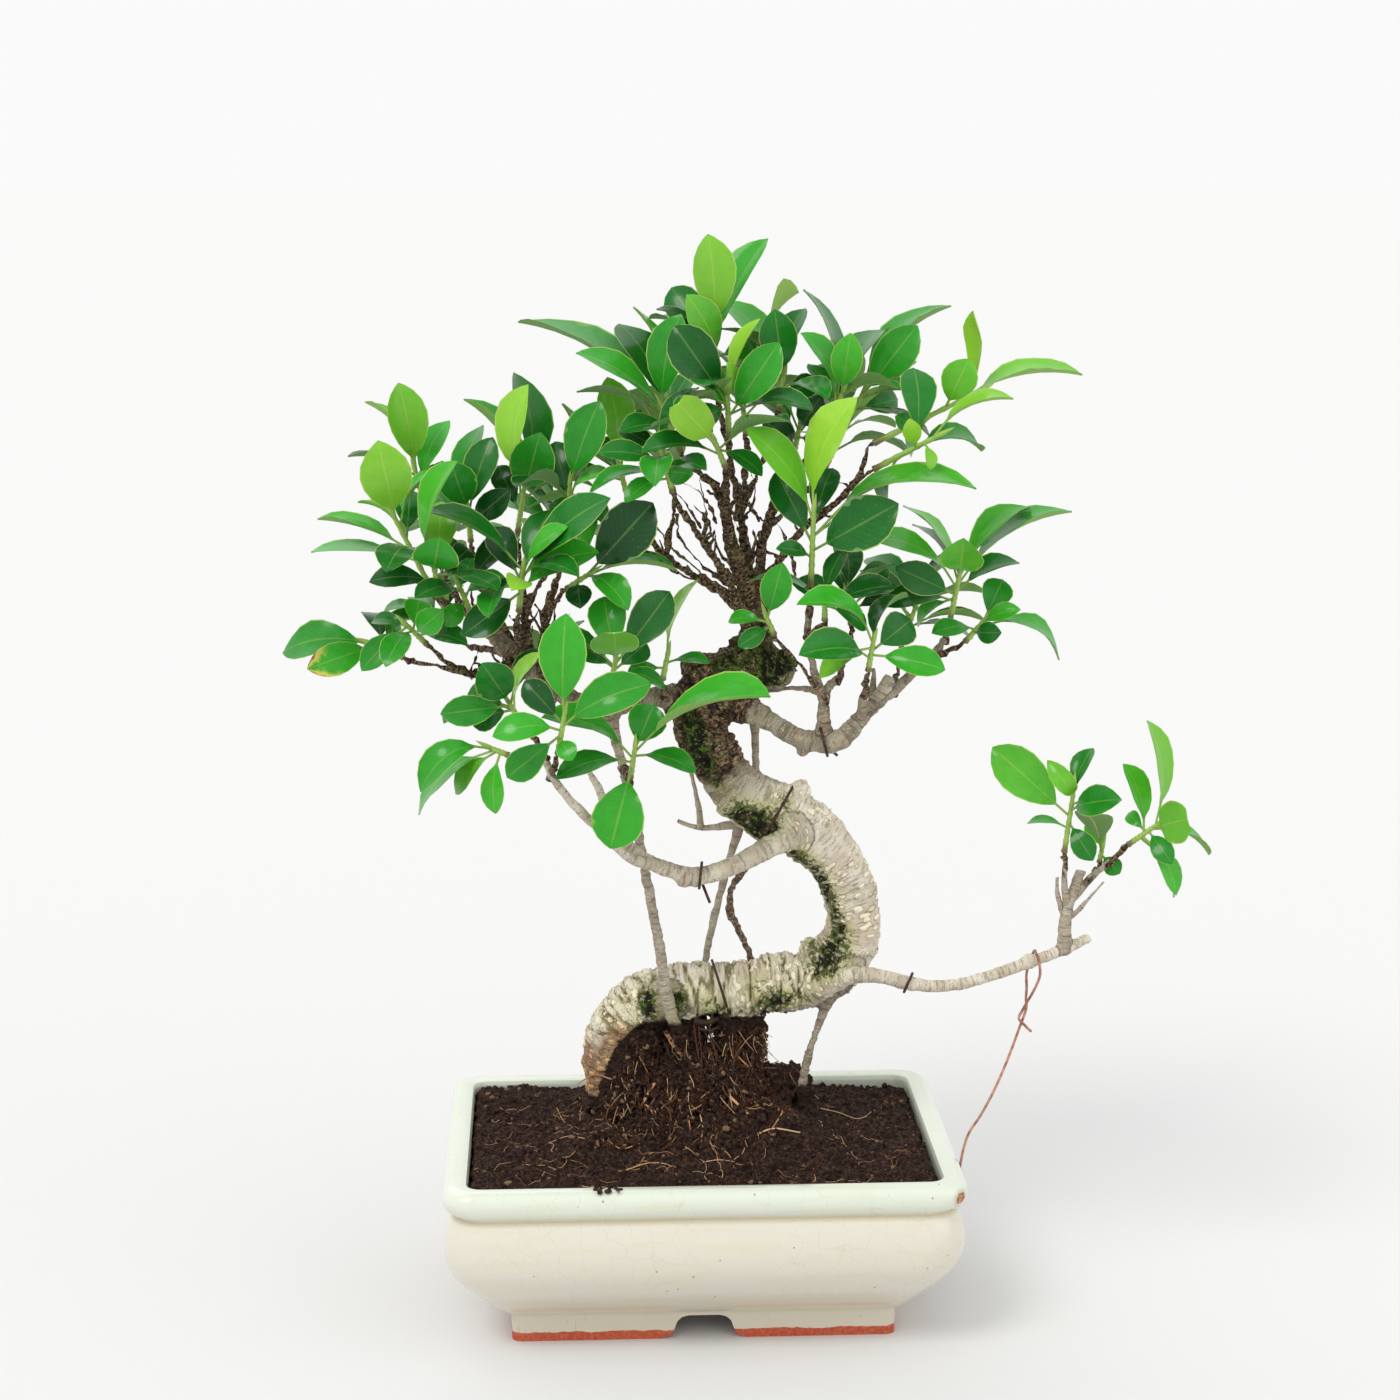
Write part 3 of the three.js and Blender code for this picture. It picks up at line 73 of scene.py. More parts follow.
# The camera: its place, its turn and drop in degrees, and its picture's side and focal length in pixels.
# Places in the tables are across (x) and height (z) in the plane y = 0, as they are seen from EYE. The
# third number is the depth, y, to which the place slides along its line of sight.
EYE = Vector((-61, -1241, 514))
EYE_TURN = 2.85
EYE_DROP = 11.2
IMAGE_PIXELS = 1400
FOCAL_PIXELS = 2962
SENSOR_WIDTH = 36

# The pot, in millimetres.
POT_WIDTH = 220
POT_DEPTH = 160
POT_HEIGHT = 76
FOOT_HEIGHT = 12.5
FOOT_INSET = 27
FOOT_THICKNESS = 11
RIM_THICKNESS = 10.5
FLOOR_THICKNESS = 6
ARCH_HEIGHT = 10.5
FRONT_OPENING = 37
SIDE_OPENING = 32
DRAIN_RADIUS = 8
DRAIN_OFFSET = 45
GROOVE_HEIGHT = 62.6
# The wires, with the degrees from one place of a ring to the next.
CLEARANCE = 0.35
WIRE_RADIUS = 0.8
THIN_WIRE_RADIUS = 0.62
TIE_RADIUS = 0.75
RING_STEP = 18
# The green stems, and how far their twigs reach under them and into the limb.
SHOOT_RADIUS = 1.25
BUD_LENGTH = 7
TWIG_END = 3.5
TWIG_ROOT = 3
# The radius from which a limb's bark counts as that of the trunk.
FULL_GIRTH = 13

# The leaves: length, the stalk's share of it, width over length, angles in radians and the arc's rise.
LEAF_SIDES = 8
LEAF_LENGTH = 34
PETIOLE_SHARE = 0.2
BLADE_RATIO = 0.46
MOST_TURN = 1.3
ARCH = 0.13
FOLD = 0.31
GOLDEN_TURN = 2.399963
# How far, in mm, a leaf's tip may swing in depth and, in degrees, a leaf by rule round its stem, in the
# order in which they are tried.
TIP_SWINGS = (0, -5, 5, -10, 10, -16, 16, -22, 22, -29, 29, -36, 36)
TURN_SWINGS = (0, 15, -15, 30, -30, 48, -48, 70, -70, 95, -95)
# How far the corners of a solid leaf's tip lie from its middle, and how near to one a match has to be.
CAD_TIP_LIFT = 0.35
TIP_TOLERANCE = 0.3

# The soil: a height over all of it, how far it is drawn in beside the bulb, the crumbs that lie on the
# rim with their middle (x, y), and the fine roots that hang under the trunk.
ABOVE_SOIL = 190
BULB_HOLLOW = 6.5
RIM_CRUMBS = 16
RIM_SPILL = (-41, -72)
HANGING_ROOTS = 60

# Where the random draws of each kind start, and how the leaves' own draws go on.
FIRST_SEED = 1001
DRY_TWIG_SEED = 41
KNOT_SEED = 53
CLINGING_SEED = 67
CRUMB_SEED = 7
FIBRE_SEED = 23
DRAW_FACTOR = 1664525
DRAW_STEP = 1013904223
DRAW_RANGE = 2**32

# The wood: each route is a list of (across, height, depth, radius).
TRUNK = [
    (-34, 60, 6, 7), (-35, 84, 5, 10.5), (-36.5, 97, 3, 12), (-37, 110, 2, 13.2), (-32.5, 124, 1, 13.8),
    (-22, 134, 0, 13.5), (-8, 139, 0, 12.2), (8, 139, 0, 11.8), (24, 140, 0, 11.6), (40, 142, 1, 12.4),
    (53, 145, 2, 13), (62, 153, 3, 12.8), (67, 164, 3, 11.8), (67, 177, 2, 11.4), (63, 190, 1, 11.6),
    (56, 201, 0, 12), (46, 211, 0, 13), (34, 217, 0, 14.2), (23, 224, 0, 12.6), (14, 232, 0, 11.4),
    (7, 242, 0, 11.2), (2, 253, 0, 11.6), (3, 265, 0, 12.8), (11, 276, 1, 13.6), (22, 283, 3, 13.2),
    (31, 287, 4, 9.5),
]

# Every route that leaves the trunk, with the roots.
LIMBS = {
    "upper_trunk": [
        (25, 284, 6, 9), (25, 296, 6, 7), (24, 306, 5, 5.8), (20, 318, 2, 4.4), (15, 332, -2, 3.6),
        (12, 346, -5, 3), (9, 358, -6, 2.5),
    ],
    "upper_middle": [
        (24, 304, 8, 5), (22, 318, 10, 3.4), (20, 334, 11, 2.7), (18, 348, 13, 2.3), (17, 357, 14, 2.1),
    ],
    "upper_right": [
        (25, 303, 5, 5), (26, 319, 3, 3.2), (27, 334, 0, 2.6), (30, 346, -5, 2.2), (34, 358, -8, 2),
    ],
    "upper_left": [(21, 300, 3, 3.4), (13, 319, -10, 2.4), (5, 332, -16, 2), (-3, 344, -21, 1.7)],
    "upper_left_back": [
        (23, 303, 8, 3.6), (13, 312, 15, 2.7), (5, 318, 20, 2.1), (-7, 325, 26, 1.9), (-18, 334, 30, 1.7),
    ],
    "upper_far_right": [
        (25, 314, 5, 3.4), (36, 330, -10, 2.3), (46, 343, -13, 2), (58, 352, -13, 1.9), (66, 361, -13, 1.8),
    ],
    "high_left": [
        (-2, 267, 0, 10), (-14, 270, -5, 5.2), (-28, 268, -10, 4.4), (-40, 264, -11, 4.4),
        (-54, 269, -6, 4.4), (-68, 279, 2, 4.6), (-80, 290, 8, 4.6), (-89, 299, 13, 3.4),
        (-98, 307, 14, 2.4),
    ],
    "high_left_middle": [(-72, 283, 5, 4), (-73, 296, 13, 3), (-74, 308, 21, 2.4)],
    "high_left_inner": [(-64, 277, 0, 4), (-66, 292, -2, 2.7), (-65, 307, 0, 2.1)],
    "high_left_back": [(-80, 290, 10, 4), (-84, 302, 22, 2.8), (-88, 314, 32, 2.2)],
    "high_left_outer": [(-76, 286, 6, 3.4), (-87, 281, -2, 2.6), (-98, 280, -6, 2.3)],
    "low_left": [
        (46, 210, -3, 8), (36, 206, -16, 5.6), (24, 199, -24, 4.4), (12, 193.5, -29, 3.9),
        (0, 190.5, -32, 3.9), (-12, 193, -34, 3.5), (-22, 197.5, -35, 3.1), (-32, 206, -34, 2.7),
        (-38, 217, -29, 2.3), (-43, 230, -26, 1.9), (-48, 239, -24, 1.3),
    ],
    "low_left_outer": [
        (-17, 195, -35, 2.9), (-30, 199, -43, 2.1), (-40, 209, -50, 2), (-50, 219, -53, 2),
        (-57, 227, -54, 1.9), (-63, 236, -54, 1.8), (-67, 247, -53, 1.5),
    ],
    "right": [
        (14, 267, 0, 9), (24, 262, -5, 5.6), (33, 257, -8, 4.6), (42, 251.5, -13, 4.3), (52, 249, -14, 4.9),
        (61, 250, -16, 4.6), (68, 257, -14, 4.2), (75, 265, -11, 3.3), (84, 271, -8, 2.6),
        (92, 279, -5, 2.4), (101, 287, 0, 2.2), (106, 294, 3, 1.9),
    ],
    "right_riser": [(54, 250, -14, 4), (54, 262, -16, 2.9), (55, 272, -14, 2.7), (60, 277, -10, 2)],
    "right_riser_left": [(54, 266, -16, 2.4), (50, 279, -19, 2), (47, 293, -22, 1.8), (47, 306, -26, 1.6)],
    "right_cross": [(55, 269, -16, 1.9), (46, 272.5, -8, 1.4), (30, 272, 5, 1.3)],
    "right_stub": [(74, 263, -11, 3.4), (79, 271, -10, 2.8), (82.5, 277.5, -10, 2.8)],
    "right_spur": [(70, 259, -14, 2.8), (71, 269, -21, 2)],
    "right_twin": [(73, 262, -13, 2.4), (75, 270, -5, 1.8), (75, 281, 2, 1.3)],
    "far": [
        (46, 140, -2, 9), (57, 142, -10, 5.8), (68, 145, -14, 3.9), (80, 144, -15, 3.2),
        (91, 141, -16, 3.1), (102, 139.3, -16, 2.8), (114, 140, -16, 2.7), (126, 143, -15, 2.6),
        (138, 147, -15, 2.7), (148, 150.5, -14, 2.6), (160, 155, -13, 2.6), (171.5, 160.5, -12, 2.2),
    ],
    "far_riser": [
        (160, 153, -13, 3.3), (160.5, 165, -13, 3), (161.5, 175, -12, 2.9), (164.5, 183, -11, 2.5),
        (167, 191, -10, 2.5),
    ],
    "far_riser_left": [(161, 173, -12, 2), (160, 183, -14, 1.6), (159.5, 192, -15, 1.4)],
    "far_riser_right": [(163, 178, -11, 2.2), (171, 187, -10, 1.8), (180, 195, -10, 1.6)],
    "far_dead_twig": [(159.5, 171, -12, 1.4), (157, 179, -13, 1.1), (156.5, 188, -14, 0.9)],
    "far_thin_twig": [(162, 169, -12, 1.1), (169, 176, -16, 0.9), (177, 185.5, -19, 0.8)],
    "aerial_front": [
        (-37, 264, -8, 3.4), (-36, 254, -12, 2.6), (-32.5, 240, -14, 2.4), (-28, 221, -15, 2.4),
        (-24.5, 202, -15, 2.3), (-21, 182, -15.5, 2.4), (-17, 160, -16.5, 2.5), (-15, 145, -17, 2.8),
        (-12, 130, -15.5, 3.1), (-7, 117, -12, 3),
    ],
    "aerial_back": [
        (19, 216, 6, 2.4), (13, 196, 12, 1.8), (7.5, 174, 14, 1.7), (3, 152, 16, 1.8), (0, 128, 18, 2),
        (-2, 92, 19, 2),
    ],
    "aerial_dark": [
        (35, 212, 5, 3.6), (22, 195, 12, 2), (14.5, 185, 14, 1.9), (14, 174, 15, 2), (19, 163, 16, 2),
        (24, 150, 17, 2), (27, 130, 18, 2.1), (28, 92, 18, 2.1),
    ],
    "aerial_right": [
        (58, 138, -2, 4), (54, 126, -5, 2.1), (50, 114, -7, 2), (46.5, 100, -8, 2.3), (45, 84, -8, 2),
    ],
    "aerial_short": [(24, 262, 4, 2.6), (24.5, 250, 6, 1.8), (25, 236, 6, 2), (27, 226, 4, 2.4)],
    "dead_spur": [(18, 213, 8, 2.2), (6, 212, 13, 1.5), (-1, 212, 16, 1.5), (-9, 215, 18, 1)],
    "dead_spur_riser": [(1, 212, 15, 1.7), (0, 222, 12, 1.3), (-3, 236, 8, 1.2)],
    "root_left": [(-27, 124, -3, 10), (-29, 109, -5, 11.5), (-31, 94, -7, 12), (-28, 66, -7, 8)],
    "root_middle": [
        (-8, 134, 2, 9), (-7, 121, 1, 9.4), (-8, 108, 0, 9.6), (-8, 96, -2, 9), (-6, 66, -4, 5),
    ],
    "root_centre": [
        (13, 132, 1, 8), (14, 121, 1, 7.6), (14, 110, 0, 7.4), (13, 98, -3, 8), (16, 66, -4, 4),
    ],
    "root_right": [(21, 132, 1, 8), (21.5, 116, 1, 5.4), (21, 100, 0, 6.5), (28, 66, 2, 4)],
    "root_back": [(-28, 118, 8, 8), (-24, 98, 15, 7), (-20, 70, 20, 4)],
}
# Swellings: (across, height, depth, radius).
BURLS = [
    (44, 227, -5, 5.5), (12, 221, -8, 4.5), (54, 153, 4, 8), (0, 281, -2, 8), (33, 281, 0, 9),
    (24, 290, 8, 8), (-6, 190, -32, 4.6), (145, 150, -14, 3.6),
]
# A leafy shoot: its brown twig, the foot and tip of its green stem, how many of its leaves can't be told
# apart, and each other leaf as the tip's across and height, how much deeper than its base it ends, its
# width as seen, its youth and any own arch.
Shoot = namedtuple("Shoot", "wood stem more leaves")
SHOOTS = {
    "left_outer_high": Shoot(
        [(-98, 307, 14, 2.3), (-107, 311, 5, 1.9)], [(-113, 317, -5), (-129, 350, -16)], 2,
        [(-163, 333, 0, 3, 0.45, 0.07), (-160, 347, 8, 3, 0.5, 0.08), (-121, 359, 15, 14, 0.1),
        (-143, 354, 8, 2, 0.7), (-134, 380, -18, 22, 0.78)],
    ),
    "left_outer_back": Shoot(
        [(-98, 307, 16, 2), (-107, 322, 29, 1.6), (-113, 340, 38, 1.4)], [(-115, 352, 42), (-119, 368, 42)],
        2, [(-104, 388, 12, 11, 0.45), (-139, 396, 15, 6, 0.6), (-125, 404, -8, 19, 0.66)],
    ),
    "left_outer_mid": Shoot(
        [(-98, 307, 13, 2), (-105, 310, -8, 1.6)], [(-109, 314, -21), (-112, 327, -30)], 1,
        [(-139, 320, -8, 10, 0.12), (-97, 334, 10, 12, 0.1), (-108, 354, 11, 15, 0.7),
        (-101, 371, -2, 7, 0.6), (-109, 339, -20, 20, 0.42)],
    ),
    "left_mid_high": Shoot(
        [(-88, 314, 32, 2.2), (-93, 326, 22, 1.8)], [(-96, 338, 13), (-97, 351, 5)], 3,
        [(-110, 357, 18, 12, 0.2), (-79, 359, -12, 13, 0.05), (-90, 386, 20, 12, 0.35),
        (-86, 381, 2, 15, 0.1), (-104, 371, -10, 17, 0.3)],
    ),
    "left_top": Shoot(
        [(-74, 308, 21, 2.4), (-75, 325, 22, 1.9)], [(-76, 342, 16), (-73, 361, 5)], 3,
        [(-84, 369, 10, 12, 0.05), (-98, 397, 10, 6, 0.5), (-49, 400, 12, 7, 0.5), (-77, 408, 18, 16, 0.3),
        (-66, 383, -15, 20, 0.36), (-71, 403, -4, 14, 0.92)],
    ),
    "left_inner_high": Shoot(
        [(-65, 307, 0, 2.1), (-58, 325, 2, 1.7)], [(-55, 343, -2), (-54, 361, -8)], 3,
        [(-63, 352, -18, 12, 0.12), (-60, 379, 10, 14, 0.05), (-57, 395, 15, 6, 0.2),
        (-37, 366, -10, 5, 0.5), (-41, 396, -8, 18, 0.26)],
    ),
    "left_big_dark": Shoot(
        [(-65, 305, 0, 2), (-60, 312, -10, 1.6)], [(-55, 317, -18), (-46, 323, -24)], 2,
        [(-50, 308, -12, 12, 0.1), (-9, 324, 2, 3, 0.38), (-19, 353, -8, 24, 0)],
    ),
    "left_front": Shoot(
        [(-76, 286, 6, 3.2), (-77, 297, -10, 2.3)], [(-76, 308, -22), (-74, 326, -35)], 2,
        [(-42, 332, -20, 14, 0.46, 0.2), (-100, 297, -12, 16, 0.1), (-92, 320, 8, 8, 0.05),
        (-79, 316, -25, 9, 0.85), (-86, 343, 15, 14, 0), (-37, 355, 0, 15, 0.24), (-62, 350, 12, 13, 0.1),
        (-55, 343, -10, 7, 0.52), (-115, 350, 0, 8, 0.15)],
    ),
    "left_shoulder": Shoot(
        [(-89, 299, 13, 2.4), (-94, 303, -6, 1.7)], [(-97, 308, -18), (-101, 318, -22)], 2,
        [(-108, 301, -8, 10, 0.42), (-82, 322, -10, 7, 0.3), (-120, 313, 8, 8, 0.2),
        (-95, 330, -8, 7, 0.22)],
    ),
    "left_low_outer": Shoot(
        [(-98, 280, -6, 2.2), (-108, 286, -10, 1.7)], [(-116, 294, -13), (-124, 302, -18)], 1,
        [(-98, 293, -14, 9, 0.2), (-108, 308, -12, 12, 0.42), (-118, 312, 8, 13, 0.5),
        (-138, 303, 10, 7, 0.2), (-143, 282, -10, 12, 0.32)],
    ),
    "left_far": Shoot(
        [(-98, 280, -6, 2), (-112, 284, 3, 1.6)], [(-126, 288, 8), (-139, 294, 5)], 1,
        [(-129, 302, 12, 8, 0.25), (-176, 290, 10, 16, 0.3, 0.22), (-166, 283, -15, 15, 0.5, 0.2)],
    ),
    "low_front": Shoot(
        [(-63, 236, -54, 1.8), (-61, 241, -59, 1.6)], [(-60, 246, -62), (-57, 263, -69)], 0,
        [(-54, 242, -10, 9, 0.5), (-82, 235, 2, 14, 0.3), (-88, 253, -8, 12, 0.42, 0.2),
        (-20, 275, -8, 18, 0.36, 0.22), (-74, 277, 5, 13, 0.1), (-67, 292, 10, 9, 0.5),
        (-56, 306, -8, 20, 0.46)],
    ),
    "low_outer": Shoot(
        [(-66, 243, -54, 1.6), (-74, 242, -51, 1.3)], [(-82, 245, -50), (-89, 248, -50)], 0,
        [(-87, 219, -8, 10, 0.56), (-104, 228, 8, 9, 0.6), (-120, 219, 10, 8, 0.48),
        (-119, 229, -10, 13, 0.4, 0.3)],
    ),
    "low_glossy": Shoot(
        [(-67, 247, -53, 1.5), (-72, 255, -45, 1.3)], [(-77, 261, -37), (-81, 268, -35)], 2,
        [(-67, 289, -8, 5, 0.88), (-98, 261, 5, 14, 0.15), (-98, 272, 10, 13, 0.15),
        (-110, 263, -8, 14, 0.36), (-92, 285, -10, 19, 0.15)],
    ),
    "low_right": Shoot(
        [(-32, 238, -14, 2.2), (-31, 236, -30, 1.6)], [(-29, 235, -43), (-27, 248, -53)], 0,
        [(-38, 203, -10, 23, 0.46), (-61, 234, -5, 10, 0.3), (-67, 261, -30, 10, 0.42),
        (-1, 236, -8, 9, 0.36), (31, 269, -18, 5, 0.48, 0.1), (-19, 266, 2, 18, 0.36)],
    ),
    "low_high_right": Shoot(
        [(-40, 264, -11, 3.4), (-40, 270, -22, 1.9)], [(-37, 276, -32), (-35, 287, -42)], 1,
        [(-14, 273, 10, 7, 0.3), (-22, 293, 10, 12, 0.1), (-49, 292, 8, 10, 0.2), (-12, 315, 8, 18, 0.14),
        (-40, 313, 10, 18, 0.36), (-36, 301, -20, 20, 0.62)],
    ),
    "trunk_left_sprig": Shoot(
        [(-14, 270, -10, 2.6), (-15, 274, -16, 1.4)], [(-15, 278, -21), (-13, 288, -24)], 0,
        [(-30, 281, 0, 7, 0.36), (5, 284, -5, 5, 0.3), (0, 320, 8, 5, 0.78)],
    ),
    "crown_left_low": Shoot(
        [(-3, 344, -21, 1.8), (-8, 351, -24, 1.5)], [(-11, 358, -26), (-15, 373, -29)], 3,
        [(-31, 353, -5, 8, 0.35), (-46, 357, 5, 6, 0.3), (-2, 365, -12, 12, 0.3), (-42, 374, -5, 9, 0.2),
        (-34, 384, 10, 8, 0.1), (-18, 360, -32, 14, 0.28)],
    ),
    "crown_left_back": Shoot(
        [(-18, 334, 30, 1.7), (-25, 346, 32, 1.4)], [(-30, 356, 32), (-34, 372, 29)], 3,
        [(-58, 362, 10, 9, 0.15), (-24, 392, 12, 11, 0.3), (-38, 406, -5, 17, 0.72)],
    ),
    "crown_left": Shoot(
        [(9, 358, -6, 2.2), (0, 366, -8, 1.7)], [(-8, 376, -10), (-15, 393, -14)], 2,
        [(-33, 383, -12, 8, 0.2), (-75, 429, 15, 5, 0.3), (-51, 416, -8, 9, 0.5), (-33, 428, 14, 17, 0.16),
        (-27, 435, 22, 3, 0.62), (-7, 432, -10, 17, 0.42)],
    ),
    "crown_heart": Shoot(
        [(12, 348, -6, 2), (12, 360, -19, 1.5)], [(11, 369, -29), (7, 379, -37)], 3,
        [(-24, 374, -8, 8, 0.25), (27, 364, -10, 8, 0.2), (-13, 400, -18, 16, 0.88)],
    ),
    "crown_front": Shoot(
        [(10, 356, -6, 2.2), (13, 370, -14, 1.6)], [(13, 382, -21), (12, 401, -30)], 3,
        [(34, 420, -10, 18, 0.44), (-2, 415, -10, 12, 0.42), (-5, 387, 8, 12, 0.15),
        (-10, 427, 15, 22, 0.05), (12, 412, -10, 5, 0.76), (26, 430, 5, 6, 0.92, 0.07)],
    ),
    "crown_top": Shoot(
        [(16, 357, 14, 2.1), (12, 378, 13, 1.7), (9, 394, 8, 1.5)], [(8, 404, 5), (6, 424, -2)], 3,
        [(-5, 440, -12, 14, 0.66), (24, 420, 12, 14, 0.35), (-11, 443, 12, 17, 0.12),
        (29, 463, 10, 14, 0.4, 0.06), (4, 465, -6, 19, 0.76, 0.08)],
    ),
    "crown_round": Shoot(
        [(17, 348, 13, 2.2), (27, 370, 11, 1.6), (32, 383, 6, 1.4)], [(34, 393, 2), (36, 406, -5)], 3,
        [(50, 404, 5, 11, 0.05), (42, 441, 25, 2, 0.7), (8, 437, -5, 13, 0.4), (45, 434, 12, 12, 0.14),
        (32, 434, -10, 17, 0.3)],
    ),
    "crown_right": Shoot(
        [(34, 358, -8, 2), (45, 371, -8, 1.7)], [(54, 384, -8), (61, 400, -13)], 3, [(46, 411, 10, 8, 0.42),
        (43, 424, -6, 8, 0.46), (44, 442, 15, 5, 0.25), (79, 425, 20, 13, 0.2), (64, 424, -12, 14, 0.5)],
    ),
    "crown_right_big": Shoot(
        [(40, 365, -8, 1.8), (54, 378, 8, 1.5)], [(63, 388, 10), (69, 398, 6)], 3, [(84, 396, 12, 11, 0.15),
        (106, 435, 15, 9, 0.3), (92, 427, -10, 19, 0.46)],
    ),
    "crown_dark_centre": Shoot(
        [(30, 346, -5, 2), (36, 360, 8, 1.5)], [(40, 371, 13), (43, 386, 13)], 6, [(27, 388, -10, 13, 0.05),
        (60, 378, -8, 12, 0.05), (52, 398, -12, 13, 0.1)],
    ),
    "long_shoot_high": Shoot(
        [(66, 361, -13, 2), (70, 369, -13, 1.6)], [(75, 378, -13), (118, 399, -22)], 0,
        [(83, 389, -10, 9, 0.3), (98, 389, 12, 4, 0.2), (90, 372, 15, 7, 0.7), (114, 413, -8, 16, 0.66),
        (162, 406, 5, 5, 0.62, 0.11), (115, 433, -5, 8, 0.96, -0.13)],
    ),
    "long_shoot_low": Shoot(
        [(64, 358, -13, 1.8), (69, 363, -21, 1.4)], [(75, 367, -27), (102, 381, -37)], 1,
        [(80, 351, -8, 8, 0.3), (120, 374, 18, 9, 0.3, 0.2), (89, 388, -10, 8, 0.86),
        (98, 366, -10, 5, 0.66), (133, 396, -5, 4, 0.7)],
    ),
    "right_main": Shoot(
        [(47, 306, -26, 1.8), (47, 312, -29, 1.6)], [(48, 318, -30), (49, 350, -43)], 1,
        [(33, 333, -8, 7, 0.15), (85, 352, -8, 24, 0.1), (33, 366, 8, 16, 0.1),
        (118, 358, -5, 6, 0.52, 0.2), (57, 367, 15, 13, 0.1), (20, 384, -10, 13, 0.62),
        (67, 397, -8, 15, 0.96)],
    ),
    "right_round": Shoot(
        [(54, 268, -18, 1.7), (45, 281, -21, 1.4), (37, 290, -24, 1.3)], [(32, 297, -27), (29, 304, -30)],
        0, [(17, 291, -8, 9, 0.25), (13, 302, 8, 7, 0.4), (36, 327, -10, 14, 0.4)],
    ),
    "right_mid_left": Shoot(
        [(47, 296, -24, 1.7), (51, 299, -29, 1.3)], [(54, 303, -32), (54, 311, -37)], 1,
        [(24, 304, -8, 9, 0.3), (84, 316, -5, 11, 0.1), (72, 298, 5, 8, 0.2), (63, 333, 5, 8, 0.18)],
    ),
    "right_low": Shoot(
        [(71, 269, -21, 2), (72, 275, -27, 1.7)], [(73, 281, -32), (75, 293, -38)], 1,
        [(43, 287, -10, 15, 0.26), (106, 280, -10, 14, 0.52), (91, 302, 8, 16, 0.14),
        (52, 277, -5, 8, 0.72), (42, 309, -2, 8, 0.56, 0.28)],
    ),
    "right_mid": Shoot(
        [(60, 277, -10, 2), (64, 290, 3, 1.6)], [(65, 301, 10), (63, 312, 11)], 4, [(88, 311, 8, 9, 0.05),
        (40, 318, -5, 11, 0.08), (80, 326, 8, 12, 0.15)],
    ),
    "right_outer": Shoot(
        [(106, 294, 3, 2), (107, 299, 2, 1.7)], [(108, 303, 0), (112, 324, -10)], 0,
        [(79, 308, -8, 10, 0.1), (94, 299, 10, 6, 0.42), (84, 325, -8, 15, 0.1), (137, 326, 10, 9, 0.2),
        (71, 337, -10, 8, 0.46, 0.2), (159, 348, -2, 7, 0.4), (91, 343, 12, 5, 0.3),
        (141, 350, 12, 11, 0.52), (87, 351, 20, 5, 0.62), (113, 337, -20, 20, 0.62)],
    ),
    "right_outer_low": Shoot(
        [(101, 286, 0, 2), (109, 289, -3, 1.6)], [(115, 293, -5), (123, 302, -8)], 0,
        [(130, 296, -12, 10, 0.1), (100, 296, -12, 8, 0.3), (155, 284, 2, 7, 0.36, 0.24),
        (138, 306, -10, 8, 0.5), (130, 319, 10, 14, 0.25)],
    ),
    "far_upright": Shoot(
        [(159.5, 192, -15, 1.5), (159.5, 196, -15, 1.4)], [(159.5, 200, -15), (163, 228, -17)], 0,
        [(143, 212, 4, 4, 0.5), (172, 195, -10, 11, 0.3, 0.2), (127, 246, -6, 22, 0.6),
        (184, 222, -4, 14, 0.25), (177, 221, -12, 6, 0.62), (171, 245, 8, 9, 0.3),
        (151, 240, -6, 10, 0.6, 0.45)],
    ),
    "far_right": Shoot(
        [(180, 195, -10, 1.7), (184, 199, -10, 1.5)], [(188, 202.5, -10), (200, 211, -12)], 0,
        [(208, 178, 2, 7, 0.36), (209, 179, -10, 9, 0.56), (184, 238, 2, 10, 0.6), (187, 216, 10, 7, 0.42),
        (207, 193, -14, 10, 0.36), (223, 197, 10, 4, 0.5), (217, 214, -14, 19, 0.6), (194, 257, 4, 8, 0.7)],
    ),
    "far_inner": Shoot(
        [(171, 187, -10, 1.6), (173, 191, -5, 1.3)], [(175, 195, -1), (176, 201, 1)], 1,
        [(184, 189, -6, 9, 0.42), (171, 214, 4, 10, 0.62)],
    ),
    "back_crown_left": Shoot(
        [(-14, 331, 29, 1.9), (-10, 352, 42, 1.6)], [(-12, 366, 52), (-17, 384, 62)], 8, [],
    ),
    "back_crown_middle": Shoot(
        [(17, 348, 10, 2.2), (20, 366, 34, 1.7)], [(20, 382, 49), (18, 402, 60)], 9, [],
    ),
    "back_crown_right": Shoot([(28, 340, -1, 2), (44, 356, 29, 1.6)], [(54, 368, 44), (63, 386, 55)], 8, []),
    "back_left_outer": Shoot(
        [(-88, 314, 26, 2.2), (-97, 322, 42, 1.7)], [(-104, 331, 52), (-112, 346, 62)], 8, [],
    ),
    "back_left_inner": Shoot(
        [(-74, 308, 17, 2.2), (-66, 320, 39, 1.7)], [(-61, 331, 52), (-58, 348, 62)], 8, [],
    ),
    "back_left_low": Shoot(
        [(-80, 290, 8, 3), (-92, 291, 26, 1.8)], [(-101, 295, 36), (-111, 305, 44)], 6, [],
    ),
    "back_right": Shoot([(84, 271, -6, 2.2), (86, 284, 18, 1.6)], [(88, 293, 34), (93, 308, 47)], 8, []),
    "back_low": Shoot([(-60, 273, 0, 3), (-62, 270, 18, 1.7)], [(-64, 270, 31), (-70, 280, 44)], 6, []),
}

